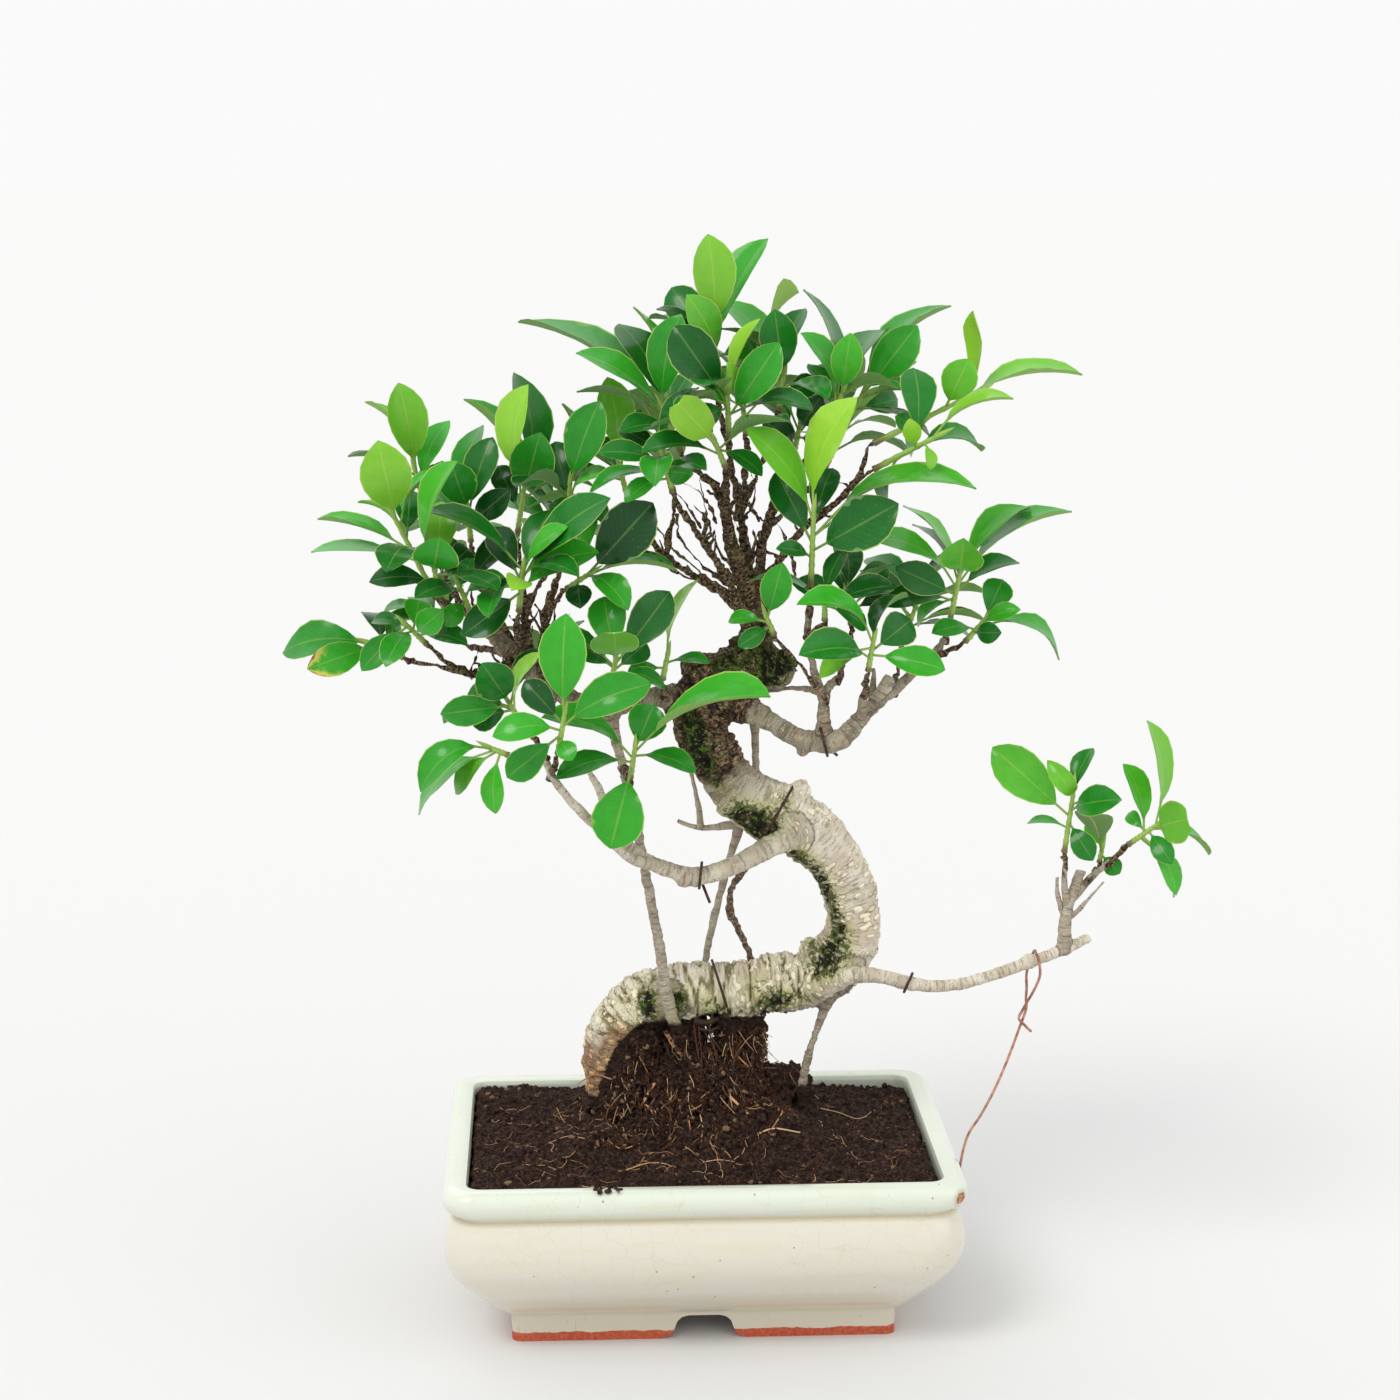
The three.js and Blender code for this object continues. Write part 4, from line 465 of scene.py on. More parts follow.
# Moss, algae and damp on the bark, which also carry painted shade in the bends and beside the root's ridge:
# (across, height, depth, radius, strength).
MOSS = [
    (-6, 262, -11, 7, 0.75), (1, 256, -11, 6, 0.55), (-2, 248, -11, 7, 0.9), (3, 239, -11, 7, 0.8),
    (9, 230, -11, 5, 0.5), (18, 217, -12, 8, 0.9), (21, 208, -12, 8, 1), (30, 213, -13, 8, 0.8),
    (37, 223, -10, 5, 0.6), (37, 203, -11, 6, 0.8), (44, 197, -8, 7, 0.9), (51, 187, -8, 7, 1),
    (55, 178, -8, 7, 0.9), (58, 168, -8, 7, 0.9), (60, 157, -9, 8, 0.9), (54, 149, -12, 8, 0.9),
    (-22, 129, -13, 5, 0.75), (-9, 130, -13, 5, 0.8), (36, 134, -12, 6, 0.7), (46, 133, -12, 6, 0.6),
    (4, 136, -12, 8, 0.3), (24, 138, -12, 8, 0.3), (30, 127, -10, 8, 0.8), (8, 126, -10, 8, 0.7),
    (7, 286, -8, 9, 0.5), (23, 290, -6, 10, 0.6), (35, 284, -4, 9, 1), (29, 274, -10, 7, 0.9),
    (14, 280, -11, 8, 0.45), (20, 256, -6, 5, 0.4), (-38, 104, -10, 8, 0.35), (-22, 136, -13, 4, 0.75),
    (-9, 137, -13, 4, 0.8), (-8, 126, -13, 4, 0.5), (-25, 121, -13, 5, 0.6), (-26, 139, -13, 9, 0.3),
    (28, 147, -13, 8, 0.4), (48, 163, -10, 7, 0.5), (-40, 130, -12, 8, 0.35),
]
# Leaves whose tips or blades have begun to wither: shoot, number in its list and how far.
WITHERED = {("left_far", 2): 0.92, ("low_outer", 2): 0.75}
# Leaves whose tips bend away, so that they look like a heart: shoot, number in its list and how far.
NOTCHES = {("crown_heart", 2): 0.08, ("low_high_right", 5): 0.08, ("far_right", 6): 0.06}
# Routes whose bark is older and darker than the rest, from 0 to 1; on the crown it is also painted shade.
DARK_ROUTES = {
    "upper": 1, "high_left_": 1, "high_left": 0.75, "aerial_dark": 0.9, "aerial_right": 0.65,
    "aerial": 0.5, "dead_spur": 0.35, "right_riser": 0.7, "right_stub": 0.3, "right_spur": 0.6, "right": 0.62,
    "low_left": 0.18, "far_": 0.45, "far": 0.1, "twig": 1,
}
# What the bark's finish reads at each vertex.
BARK_MARKS = ("grain", "girth", "moss", "earth", "stain", "old", "groove", "wart")
# The height under which a route is caked with soil: the trunk's foot, the roots and what hangs into it.
SOIL_LINES = {"root_": 129, "aerial_front": 129, "aerial": 98}

# Knobs of the bark that are too small to be limbs: across, height, depth and radius.
KNOBS = [
    (30, 151, -3, 4.4), (37, 152.5, -4, 4), (48.5, 158, -3, 4.4), (45, 245.3, -13, 2.7),
    (-1, 188.5, -33, 3.2),
]

# The ring wires: middle, the limb's radius there, lean, the turn from one angle to another, and the places
# of a loose tail.
RING_WIRES = {
    "wire_lower_trunk": ((10, 139.5, 0), 12.4, -0.3, -10, 190, ()),
    "wire_upper_trunk": ((34, 217, 0), 14.6, 0.5, 20, 200, ()),
    "wire_left_limb": ((1, 190.6, -32), 4.6, 0.1, -20, 250, ((5, 178.5, -37),)),
    "wire_right_limb": ((54, 249.5, -14.5), 5.6, -0.25, -30, 250, ((60, 243, -8),)),
    "wire_far_limb": ((92, 141, -16), 3.4, 0.4, -20, 290, ()),
}
# The copper tie, first as it is seen and then, from the pot's rim to the drain hole, as it lies.
TIE_AS_SEEN = [
    (146.5, 118, -15), (143.5, 121, -17.2), (141, 124, -15), (142.5, 127.5, -12.8), (144, 130.5, -15),
    (146, 134, -17.5), (148.5, 139, -17.5), (150, 144, -18.5), (149.5, 149, -19.2), (148.2, 153, -18),
    (147.4, 154.9, -14.2), (146.4, 153, -10.2), (145, 149, -8.6), (144, 144, -10), (144.2, 138, -13),
    (144, 133, -13), (144.3, 129, -12), (143.4, 125.5, -14.6), (141.5, 120, -13.2), (136, 104, -18),
    (130, 89.4, -24), (125, 79.6, -28), (119.5, 70.5, -31),
]
TIE_AS_IT_LIES = [
    (111.6, -33, 69), (111.3, -32, 62), (111.1, -30, 47), (109.6, -27, 38), (104, -23, 28.6),
    (95.5, -16, 19.6), (88, -8, 11.6), (82, -3, 7.2), (70, 0, 6.5), (56, 1, 8), (48, 2, 11), (45, 2, 17),
]
# The pot's outside, from the foot over the rim and down the inside: (inset, corner radius, height).
POT_PROFILE = [
    (28, 4, 0), (27.5, 4, 11.8), (27, 4.6, 12.6), (25, 6.4, 13.2), (23, 7.4, 14.6), (16, 12, 21),
    (7.5, 16, 29.5), (2, 18, 38), (0.2, 18, 47), (0.9, 17.2, 55), (2.6, 16, 60.5), (3.7, 15, 62.6),
    (3.2, 14.7, 63.8), (1.2, 14, 65.8), (0.2, 13.4, 68.4), (0, 13, 71), (0.5, 12.7, 73.4),
    (1.7, 12.2, 75.1), (3.4, 11, 76), (8.2, 8, 76), (9.7, 7, 75.4), (10.4, 6.4, 74.2), (10.6, 6, 70),
    (11.2, 6.4, 50), (12, 7, 38), (17, 10, 27), (24, 9, 20.6), (32, 8, 18.5),
]
# The steps round each of the pot's corners, and the chip in its rim.
CORNER_STEPS = 10
CHIP = (107.7, -77.7, 69.8)
CHIP_RADIUS = 3.4
# Roots that lie on the soil: (across, height) of each place as it is seen from EYE, radius and tint.
ROOTS_AS_SEEN = [
    ([(-19, 97), (-22, 92), (-26, 84), (-31, 73)], 0.85, 0.72),
    ([(-23, 87), (-21, 85), (-19.5, 82)], 0.45, 0.7),
    ([(-7, 91), (-5, 85), (-3.5, 75)], 0.5, 0.66),
    ([(15, 112), (14, 106), (9, 95)], 0.55, 0.72),
    ([(14, 90), (18, 86), (23, 81)], 0.85, 0.78),
    ([(-38, 99), (-46, 101), (-53, 97)], 0.4, 0.6),
    ([(17, 109), (22, 104), (28, 103), (35, 106)], 0.4, 0.7),
    ([(33, 90), (37, 83), (35, 79), (31, 73)], 0.35, 0.8),
    ([(27, 73), (33, 75), (45, 73)], 0.55, 0.95),
    ([(-32, 57), (-22, 60), (-13, 59), (-8, 51)], 0.28, 0.85),
    ([(1, 82), (2, 76), (1.5, 71)], 0.4, 0.95),
    ([(2, 60), (9, 61), (16, 60)], 0.25, 0.9),
    ([(54, 84), (62, 82), (70, 79), (78, 83)], 0.25, 0.9),
    ([(-50, 72), (-58, 73), (-66, 70)], 0.25, 0.8),
    ([(-14.5, 121), (-10.5, 114), (-7, 109), (-3, 103)], 1.5, 0.42),
    ([(-12, 116), (-14, 110), (-13, 104)], 0.6, 0.3),
    ([(-2, 125), (3, 124), (9, 126)], 1.9, 0.05),
    ([(0, 121.5), (5, 120.5), (9, 122)], 0.8, 0.1),
    ([(3.2, 127), (4.2, 120), (2.4, 111)], 0.7, 0.1),
    ([(6.2, 128), (4.8, 122), (6.6, 112)], 0.6, 0.2),
    ([(1.8, 124), (4.4, 117), (7.4, 114)], 0.45, 0.3),
    ([(-62, 86), (-58, 79), (-50, 76)], 0.22, 0.75),
    ([(62, 95), (58, 88), (57, 84)], 0.22, 0.6),
    ([(-26, 69), (-34, 67), (-40, 71)], 0.3, 0.7),
    ([(8, 67), (13, 64), (16, 57)], 0.25, 0.75),
]
# Fine dead twigs in the middle of the crown.
FINE_TWIGS = [
    [
        (15, 311, -8, 1.3), (0, 319, -14, 1.1), (-12, 325, -17, 0.9), (-18, 331, -18, 0.8),
        (-25, 333, -18, 0.6),
    ],
    [(13, 314, -8, 1.2), (0, 324, -14, 1), (-10, 333, -20, 0.9), (-19, 344, -23, 0.7)],
    [(13, 317, -6, 1.3), (-1, 329, -10, 1.1), (-8, 339, -13, 1), (-9, 348, -14, 1.2)],
    [(16, 318, -8, 1.4), (7, 330, -15, 1.2), (0, 339, -20, 1.1), (-4, 345, -23, 1)],
    [(17, 322, -4, 1.1), (9, 332, -8, 0.9), (7, 340, -10, 0.8)],
    [(15, 325, -2, 1), (11, 338, -10, 0.8), (10, 352, -15, 0.7)],
    [(1, 342, -16, 0.9), (-5, 352, -18, 0.7), (-12, 360, -19, 0.6)],
    [(8, 344, -10, 0.9), (0, 358, -15, 0.8), (-12, 363, -18, 0.6)],
    [(6, 338, -12, 0.8), (3, 350, -16, 0.7), (1, 362, -18, 0.6), (0, 370, -18, 0.5)],
    [(22, 330, 2, 1.1), (25, 338, -2, 0.9), (33, 347, -5, 0.8)],
    [(38, 331, -10, 0.9), (37, 338, -13, 0.8), (33, 345, -15, 0.6)],
    [(41, 320, -8, 1), (40, 330, -12, 0.9), (38, 337, -14, 0.6)],
    [(14, 348, -6, 1.2), (8, 355, -9, 1.3), (4, 358, -11, 1)],
    [(14, 352, -6, 1.1), (20, 359, -10, 1.2), (25, 362, -13, 0.9)],
    [(10, 345, -7, 1), (16, 356, -13, 0.9), (15, 366, -16, 0.7)],
    [(2, 336, -14, 1.4), (3, 346, -17, 1.2), (-2, 352, -20, 0.8)],
    [(19, 345, 10, 1), (24, 356, 4, 0.8), (22, 368, 0, 0.6)],
    [(26, 345, -1, 1), (22, 352, -8, 0.8), (20, 362, -12, 0.6)],
    [(60, 353, -14, 1), (66, 356, -20, 0.8), (73, 354, -24, 0.6)],
    [(52, 348, -14, 0.9), (60, 346, -20, 0.8), (68, 351, -26, 0.5)],
    [(-74, 300, 14, 1.2), (-70, 312, 8, 1), (-66, 322, 4, 0.7)],
    [(-68, 290, 0, 1.2), (-60, 300, -4, 1), (-54, 306, -6, 0.6)],
    [(-92, 302, 10, 1), (-96, 314, 4, 0.8), (-94, 324, 0, 0.6)],
]


# Places and routes


def to_frame(place):
    """A place in the pot's own millimetres as a place in the frame's metres."""
    return Vector(place) * MM + POT_PLACE


def seen(x, z, depth):
    """The place at a depth that covers (x, z) of the plane y = 0 when it is looked at from EYE."""
    share = (depth - EYE.y) / -EYE.y
    return Vector((EYE.x + (x - EYE.x) * share, depth, EYE.z + (z - EYE.z) * share))


def steadily(low, high, value):
    """0 below low, 1 above high and a smooth rise between. High may be the lower one."""
    share = min(max((value - low) / (high - low), 0), 1)
    return share * share * (3 - 2 * share)


def smooth_route(route, spacing=2.5):
    """Places about every `spacing` mm on a smooth line through (place, radius) pairs, with their radii."""
    places = [Vector(place) for place, _ in route]
    radii = [radius for _, radius in route]
    ends = [2 * places[0] - places[1], *places, 2 * places[-1] - places[-2]]
    line = []
    for i in range(len(places) - 1):
        before, start, end, after = ends[i:i + 4]
        pairs = ((before, start), (start, end), (end, after))
        gaps = [max(math.sqrt((b - a).length), 1e-3) for a, b in pairs]
        leave = (start - before) / gaps[0] - (end - before) / (gaps[0] + gaps[1]) + (end - start) / gaps[1]
        arrive = (end - start) / gaps[1] - (after - start) / (gaps[1] + gaps[2]) + (after - end) / gaps[2]
        leave *= gaps[1]
        arrive *= gaps[1]
        count = max(round((end - start).length / spacing), 1)
        for step in range(count):
            t = step / count
            place = (
                start
                + leave * t
                + (3 * (end - start) - 2 * leave - arrive) * t**2
                + (2 * (start - end) + leave + arrive) * t**3
            )
            line.append((place, radii[i] + (radii[i + 1] - radii[i]) * steadily(0, 1, t)))
    line.append((places[-1], radii[-1]))
    return line


def draws(seed):
    """Random numbers from 0 to 1, the same in every run."""
    state = seed
    while True:
        state = (state * DRAW_FACTOR + DRAW_STEP) % DRAW_RANGE
        yield state / DRAW_RANGE


def strayed(chance, reach):
    """A random offset of up to reach along each axis."""
    return Vector([chance.uniform(-reach, reach) for _ in range(3)])


def place_tree(places):
    """A tree that finds the nearest of the places."""
    tree = KDTree(len(places))
    for i, place in enumerate(places):
        tree.insert(place, i)
    tree.balance()
    return tree


# Meshes


def made(name):
    """The object that an operator has just made, under its own name."""
    piece = bpy.context.object
    piece.name = name
    piece.data.name = name
    return piece


def weld(distance):
    """Merges the vertices of the active piece that are less than `distance` mm apart."""
    bpy.ops.object.mode_set(mode="EDIT")
    bpy.ops.mesh.select_all(action="SELECT")
    bpy.ops.mesh.remove_doubles(threshold=distance * MM)
    bpy.ops.object.mode_set(mode="OBJECT")


def sphere(name, place, radius):
    """A round lump at a place in the pot's own millimetres."""
    bpy.ops.mesh.primitive_ico_sphere_add(subdivisions=3, radius=radius * MM, location=to_frame(place))
    bpy.ops.object.transform_apply(location=True, rotation=True, scale=True)
    return made(name)


def bars(name, routes, sides=8):
    """Round bars with closed ends, one for each list of (place, radius) pairs."""
    bpy.ops.curve.primitive_nurbs_path_add()
    curve = bpy.context.object.data
    curve.splines.clear()
    for route in routes:
        spline = curve.splines.new("POLY")
        spline.points.add(len(route) - 1)
        for point, (place, radius) in zip(spline.points, route):
            point.co = (*to_frame(place), 1)
            point.radius = radius * MM
    curve.bevel_depth = 1
    curve.bevel_resolution = (sides - 4) // 2
    curve.use_fill_caps = True
    bpy.ops.object.convert(target="MESH")
    weld(0.003)
    return made(name)


def lofted(name, rings):
    """A closed skin through rings of equally many places: a filled circle, extruded ring by ring."""
    bpy.ops.mesh.primitive_circle_add(vertices=len(rings[0]), fill_type="NGON")
    piece = made(name)
    order = piece.data.attributes.new("order", "INT", "POINT")
    order.data.foreach_set("value", range(len(rings[0])))
    bpy.ops.object.mode_set(mode="EDIT")
    bpy.ops.mesh.select_all(action="SELECT")
    for i, ring in enumerate(rings):
        if i > 0:
            bpy.ops.mesh.extrude_region_move()
        edited = bmesh.from_edit_mesh(piece.data)
        number = edited.verts.layers.int["order"]
        for vertex in edited.verts:
            if vertex.select:
                vertex.co = ring[vertex[number]]
        bmesh.update_edit_mesh(piece.data)
    bpy.ops.mesh.select_all(action="SELECT")
    bpy.ops.mesh.normals_make_consistent(inside=False)
    bpy.ops.object.mode_set(mode="OBJECT")
    piece.data.attributes.remove(piece.data.attributes["order"])
    return piece


def select_only(*pieces):
    """Selects the pieces and makes the first one active."""
    bpy.ops.object.select_all(action="DESELECT")
    for piece in pieces:
        piece.select_set(True)
    bpy.context.view_layer.objects.active = pieces[0]


def joined(name, *pieces):
    """The pieces as one mesh."""
    select_only(*pieces)
    bpy.ops.object.join()
    return made(name)


def modified(piece, kind, **settings):
    """Adds a modifier and applies it."""
    select_only(piece)
    bpy.ops.object.modifier_add(type=kind)
    modifier = piece.modifiers[-1]
    for name, value in settings.items():
        setattr(modifier, name, value)
    bpy.ops.object.modifier_apply(modifier=modifier.name)


def cut(piece, cutter):
    """Cuts one piece out of another and removes the cutter."""
    modified(piece, "BOOLEAN", operation="DIFFERENCE", object=cutter, solver="EXACT")
    bpy.data.objects.remove(cutter)


def vertex_rows(mesh, field):
    """Each vertex's place ("co") or "normal" as a row of an array."""
    flat = np.empty(len(mesh.vertices) * 3)
    mesh.vertices.foreach_get(field, flat)
    return flat.reshape(-1, 3)


def set_places(mesh, places):
    """Moves each vertex to its own place."""
    mesh.vertices.foreach_set("co", np.asarray(places, dtype=np.float32).ravel())
    mesh.update()


def give(mesh, name, values, kind="FLOAT", domain="POINT"):
    """Gives a mesh an attribute that a material reads."""
    attribute = mesh.attributes.new(name, kind, domain)
    field = "vector" if kind == "FLOAT_VECTOR" else "value"
    attribute.data.foreach_set(field, np.asarray(values, dtype=np.float32).ravel())


def repeated(name, template, shapes):
    """One mesh with a copy of the template's faces for each array of places in shapes."""
    count = len(template.vertices)
    faces = [tuple(face.vertices) for face in template.polygons]
    mesh = bpy.data.meshes.new(name)
    mesh.from_pydata(
        np.concatenate(shapes).tolist(),
        [],
        [tuple(v + count * i for v in face) for i in range(len(shapes)) for face in faces],
    )
    for layer in template.uv_layers:
        flat = np.empty(len(template.loops) * 2, dtype=np.float32)
        layer.data.foreach_get("uv", flat)
        mesh.uv_layers.new(name=layer.name).data.foreach_set("uv", np.tile(flat, len(shapes)))
    piece = bpy.data.objects.new(name, mesh)
    bpy.context.collection.objects.link(piece)
    return piece


def finished(piece, slot, nodes, *materials, smooth=35):
    """Smooths a piece, gives it its materials and hands it to the frame."""
    select_only(piece)
    if smooth:
        bpy.ops.object.shade_smooth_by_angle(angle=math.radians(smooth))
    piece.data.materials.clear()
    for material in materials:
        piece.data.materials.append(material)
    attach(piece, "root")
    if nodes:
        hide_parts(*nodes)


# Materials


class Value:
    """A socket of a material's nodes. Arithmetic on it adds the Math nodes that it takes."""

    def __init__(self, finish, socket):
        self.finish = finish
        self.socket = socket

    def _math(self, operation, *terms):
        """The result of a Math node with these terms."""
        return self.finish.node("ShaderNodeMath", {"operation": operation}, dict(enumerate(terms)))

    def __add__(self, other):
        return self._math("ADD", self, other)

    def __radd__(self, other):
        return self._math("ADD", other, self)

    def __sub__(self, other):
        return self._math("SUBTRACT", self, other)

    def __rsub__(self, other):
        return self._math("SUBTRACT", other, self)

    def __mul__(self, other):
        return self._math("MULTIPLY", self, other)

    def __rmul__(self, other):
        return self._math("MULTIPLY", other, self)

    def __abs__(self):
        return self._math("ABSOLUTE", self)

    def waves(self):
        """The distance to the nearest whole number."""
        return self._math("PINGPONG", self, 0.5)

    def between(self, low, high):
        """0 at low, 1 at high and a smooth rise between."""
        return self.finish.node(
            "ShaderNodeMapRange",
            {"interpolation_type": "SMOOTHSTEP"},
            {0: self, 1: low, 2: high},
        )


class Finish:
    """A material whose nodes are added one by one."""

    def __init__(self, name, **sockets):
        self.material = bpy.data.materials.new(name)
        self.material.use_nodes = True
        self.tree = self.material.node_tree
        self.shader = self.tree.nodes["Principled BSDF"]
        self.fill(self.shader, sockets_by_name(sockets))

    def fill(self, node, inputs):
        """Links or sets the node's sockets, given by name or number."""
        for key, value in inputs.items():
            socket = node.inputs[key]
            if isinstance(value, Value):
                self.tree.links.new(value.socket, socket)
            elif socket.type == "RGBA" and len(value) == 3:
                socket.default_value = (*value, 1)
            else:
                socket.default_value = value

    def node(self, kind, settings, inputs, output=0):
        """Adds a node with its settings first, then the values or links of its sockets."""
        node = self.tree.nodes.new(kind)
        for name, value in settings.items():
            if name == "stops":
                self.set_stops(node.color_ramp, value)
            else:
                setattr(node, name, value)
        self.fill(node, inputs)
        return Value(self, node.outputs[output])

    @staticmethod
    def set_stops(ramp, stops):
        """Gives a colour ramp its (place, colour) stops."""
        while len(ramp.elements) < len(stops):
            ramp.elements.new(1)
        for element, (place, colour) in zip(ramp.elements, stops):
            element.position = place
            element.color = (*colour, 1)

    def attribute(self, name, output="Fac"):
        """What the mesh gives under this name."""
        return self.node("ShaderNodeAttribute", {"attribute_name": name}, {}, output)

    def attributes(self, *names):
        """Several numbers that the mesh gives."""
        return [self.attribute(name) for name in names]

    def places(self):
        """Object coordinates in millimetres."""
        return self.stretched(self.node("ShaderNodeTexCoord", {}, {}, "Object"), 1 / MM)

    def stretched(self, vector, scale):
        """The vector times one number, or times one for each axis."""
        scale = scale if isinstance(scale, tuple) else (scale, scale, scale)
        return self.node("ShaderNodeVectorMath", {"operation": "MULTIPLY"}, {0: vector, 1: scale})

    def part(self, vector, axis):
        """The X, Y or Z of a vector."""
        return self.node("ShaderNodeSeparateXYZ", {}, {0: vector}, axis)

    def noise(self, vector, scale, detail=3, roughness=0.55):
        """Cloudy noise from 0 to 1."""
        sockets = {"Vector": vector, "Scale": scale, "Detail": detail, "Roughness": roughness}
        return self.node("ShaderNodeTexNoise", {}, sockets)

    def cells(self, vector, scale, feature="F1", output="Distance"):
        """The distance to the middle or edge of the nearest of many random cells."""
        sockets = {"Vector": vector, "Scale": scale}
        return self.node("ShaderNodeTexVoronoi", {"feature": feature}, sockets, output)

    def mix(self, share, first, second):
        """The first colour at 0, the second at 1."""
        settings = {"data_type": "RGBA"}
        return self.node("ShaderNodeMix", settings, {0: share, 6: first, 7: second}, 2)

    def layered(self, colour, *layers):
        """A colour under layers of (share, colour)."""
        for share, layer in layers:
            colour = self.mix(share, colour, layer)
        return colour

    def ramp(self, value, *stops):
        """The colour that the (place, colour) stops give the value."""
        return self.node("ShaderNodeValToRGB", {"stops": stops}, {0: value})

    def bump(self, height, strength, depth):
        """Raises the surface by `depth` mm where height is 1."""
        sockets = {"Strength": strength, "Distance": depth * MM, "Height": height}
        return self.node("ShaderNodeBump", {}, sockets)

    def surface(self, **sockets):
        """The material, once its shader has its sockets."""
        self.fill(self.shader, sockets_by_name(sockets))
        return self.material


def sockets_by_name(sockets):
    """Keyword names such as base_color as the sockets' own, such as Base Color."""
    own = {"ior": "IOR"}
    return {own.get(name, name.replace("_", " ").title()): value for name, value in sockets.items()}


def rgb(red, green, blue):
    """A colour given in display values from 0 to 255 as the linear one that a shader takes."""
    return tuple(
        share / 12.92 if share <= 0.04045 else ((share + 0.055) / 1.055) ** 2.4
        for share in (red / 255, green / 255, blue / 255)
    )


def bark_finish(sizes):
    """Pale bark with cream warts and wrinkles across the limb, algae, moss and soil; old bark is brown.
    Painted shade darkens its hollows and the crown's limbs.
    """
    finish = Finish("banyan_bark", ior=1.3)
    grain = finish.attribute("grain", "Vector")
    girth, old, moss, earth, stain, groove, large_wart = finish.attributes(
        "girth", "old", "moss", "earth", "stain", "groove", "wart"
    )
    places = finish.places()
    clouds = finish.noise(finish.stretched(grain, (0.07, 0.05, 0.05)), 1, 4)
    fine = finish.noise(finish.stretched(grain, (0.9, 0.45, 0.45)), 1, 4, 0.7)
    streaks = finish.noise(finish.stretched(grain, (0.75, 0.1, 0.1)), 1, 4, 0.62)
    crease = 1 - streaks.between(0.34, 0.46)
    algae = (groove * 0.5 + moss + fine * 0.5 + clouds * 0.5).between(0.45, 1.1)
    # The colour of old bark, which on the crown's limbs and twigs also stands for painted shade.
    old_and_shaded_colour = finish.layered(
        finish.ramp(fine, (0.4, rgb(26, 20, 16)), (0.5, rgb(86, 66, 50)), (0.62, rgb(164, 138, 106))),
        # Creases and grooves near black: the fissures' own dark bark, and painted shade in them.
        (crease * 0.5, rgb(34, 26, 21)),
        (groove * 0.8, rgb(28, 22, 17)),
        (clouds.between(0.45, 0.6) * girth.between(0.15, 0.35) * 0.45, rgb(108, 108, 60)),
    )
    brown = finish.mix(fine.between(0.35, 0.62), rgb(86, 56, 36), rgb(158, 116, 78))
    colour = finish.layered(
        finish.mix(clouds.between(0.38, 0.6), sizes.bark_dark, sizes.bark_light),
        (fine.between(0.5, 0.75) * 0.3, rgb(166, 152, 124)),
        # Creases tan and grooves olive: the fissures' own bark and algae, and painted shade in them.
        (crease * (0.34 + 0.34 * groove), rgb(134, 116, 86)),
        (algae * 0.6, rgb(192, 192, 116)),
        (groove.between(0.1, 0.9) * 0.72, rgb(100, 88, 52)),
        # Old bark, and on the crown's limbs and twigs painted shade.
        (old, old_and_shaded_colour),
        ((stain + (clouds - 0.5) * 0.6).between(0.2, 0.8) * 0.85, brown),
    )
    speckle = finish.noise(places, 0.5, 5, 0.75)
    ragged = speckle.between(0.36, 0.64)
    mossy = finish.mix(speckle.between(0.42, 0.62), sizes.moss, rgb(104, 130, 50))
    shaded = (moss + ragged * 0.55).between(0.86, 1.06)
    colour = finish.mix(shaded * 0.95, colour, mossy)
    # Near black where the moss is densest: dark moss, and painted shade in the bends and beside the root's
    # ridge.
    dark_moss_and_shade = finish.noise(places, 0.26, 4, 0.7).between(0.36, 0.62)
    colour = finish.mix((moss + dark_moss_and_shade * 0.6).between(1.08, 1.26) * 0.9, colour, rgb(24, 22, 15))
    small_cells = finish.cells(finish.stretched(grain, (0.8, 0.34, 0.34)), 1)
    small = (1 - small_cells.between(0.2, 0.32)) * clouds.between(0.38, 0.5)
    wart = (large_wart.between(0.3, 0.7) + small * 0.8).between(0, 1)
    # A darker olive rim round each raised wart: painted shade at its foot.
    ring = large_wart.between(0.01, 0.2) - large_wart.between(0.25, 0.5)
    colour = finish.mix(ring * 0.4, colour, rgb(138, 118, 82))
    pore = finish.mix(stain, sizes.wart, rgb(212, 166, 112))
    pore = finish.mix(old * 0.7, pore, rgb(196, 180, 124))
    colour = finish.mix(wart * (1 - 0.35 * old) * (1 - 0.45 * shaded), colour, pore)
    crumbs = finish.noise(places, 0.7, 4, 0.7)
    soiled = (earth * 1.1 + crumbs * 0.6).between(0.7, 0.98)
    dirt = finish.ramp(crumbs, (0.3, rgb(22, 15, 11)), (0.56, rgb(50, 33, 24)), (0.75, rgb(104, 66, 40)))
    colour = finish.mix(soiled, colour, dirt)
    height = small * 0.6 - crease * 0.4 + fine * 0.6 + soiled * crumbs * 1.4 + shaded * speckle * 1.6
    return finish.surface(
        base_color=colour,
        roughness=0.78 + 0.16 * shaded - 0.1 * wart,
        normal=finish.bump(height, 1.0, 1.1),
    )


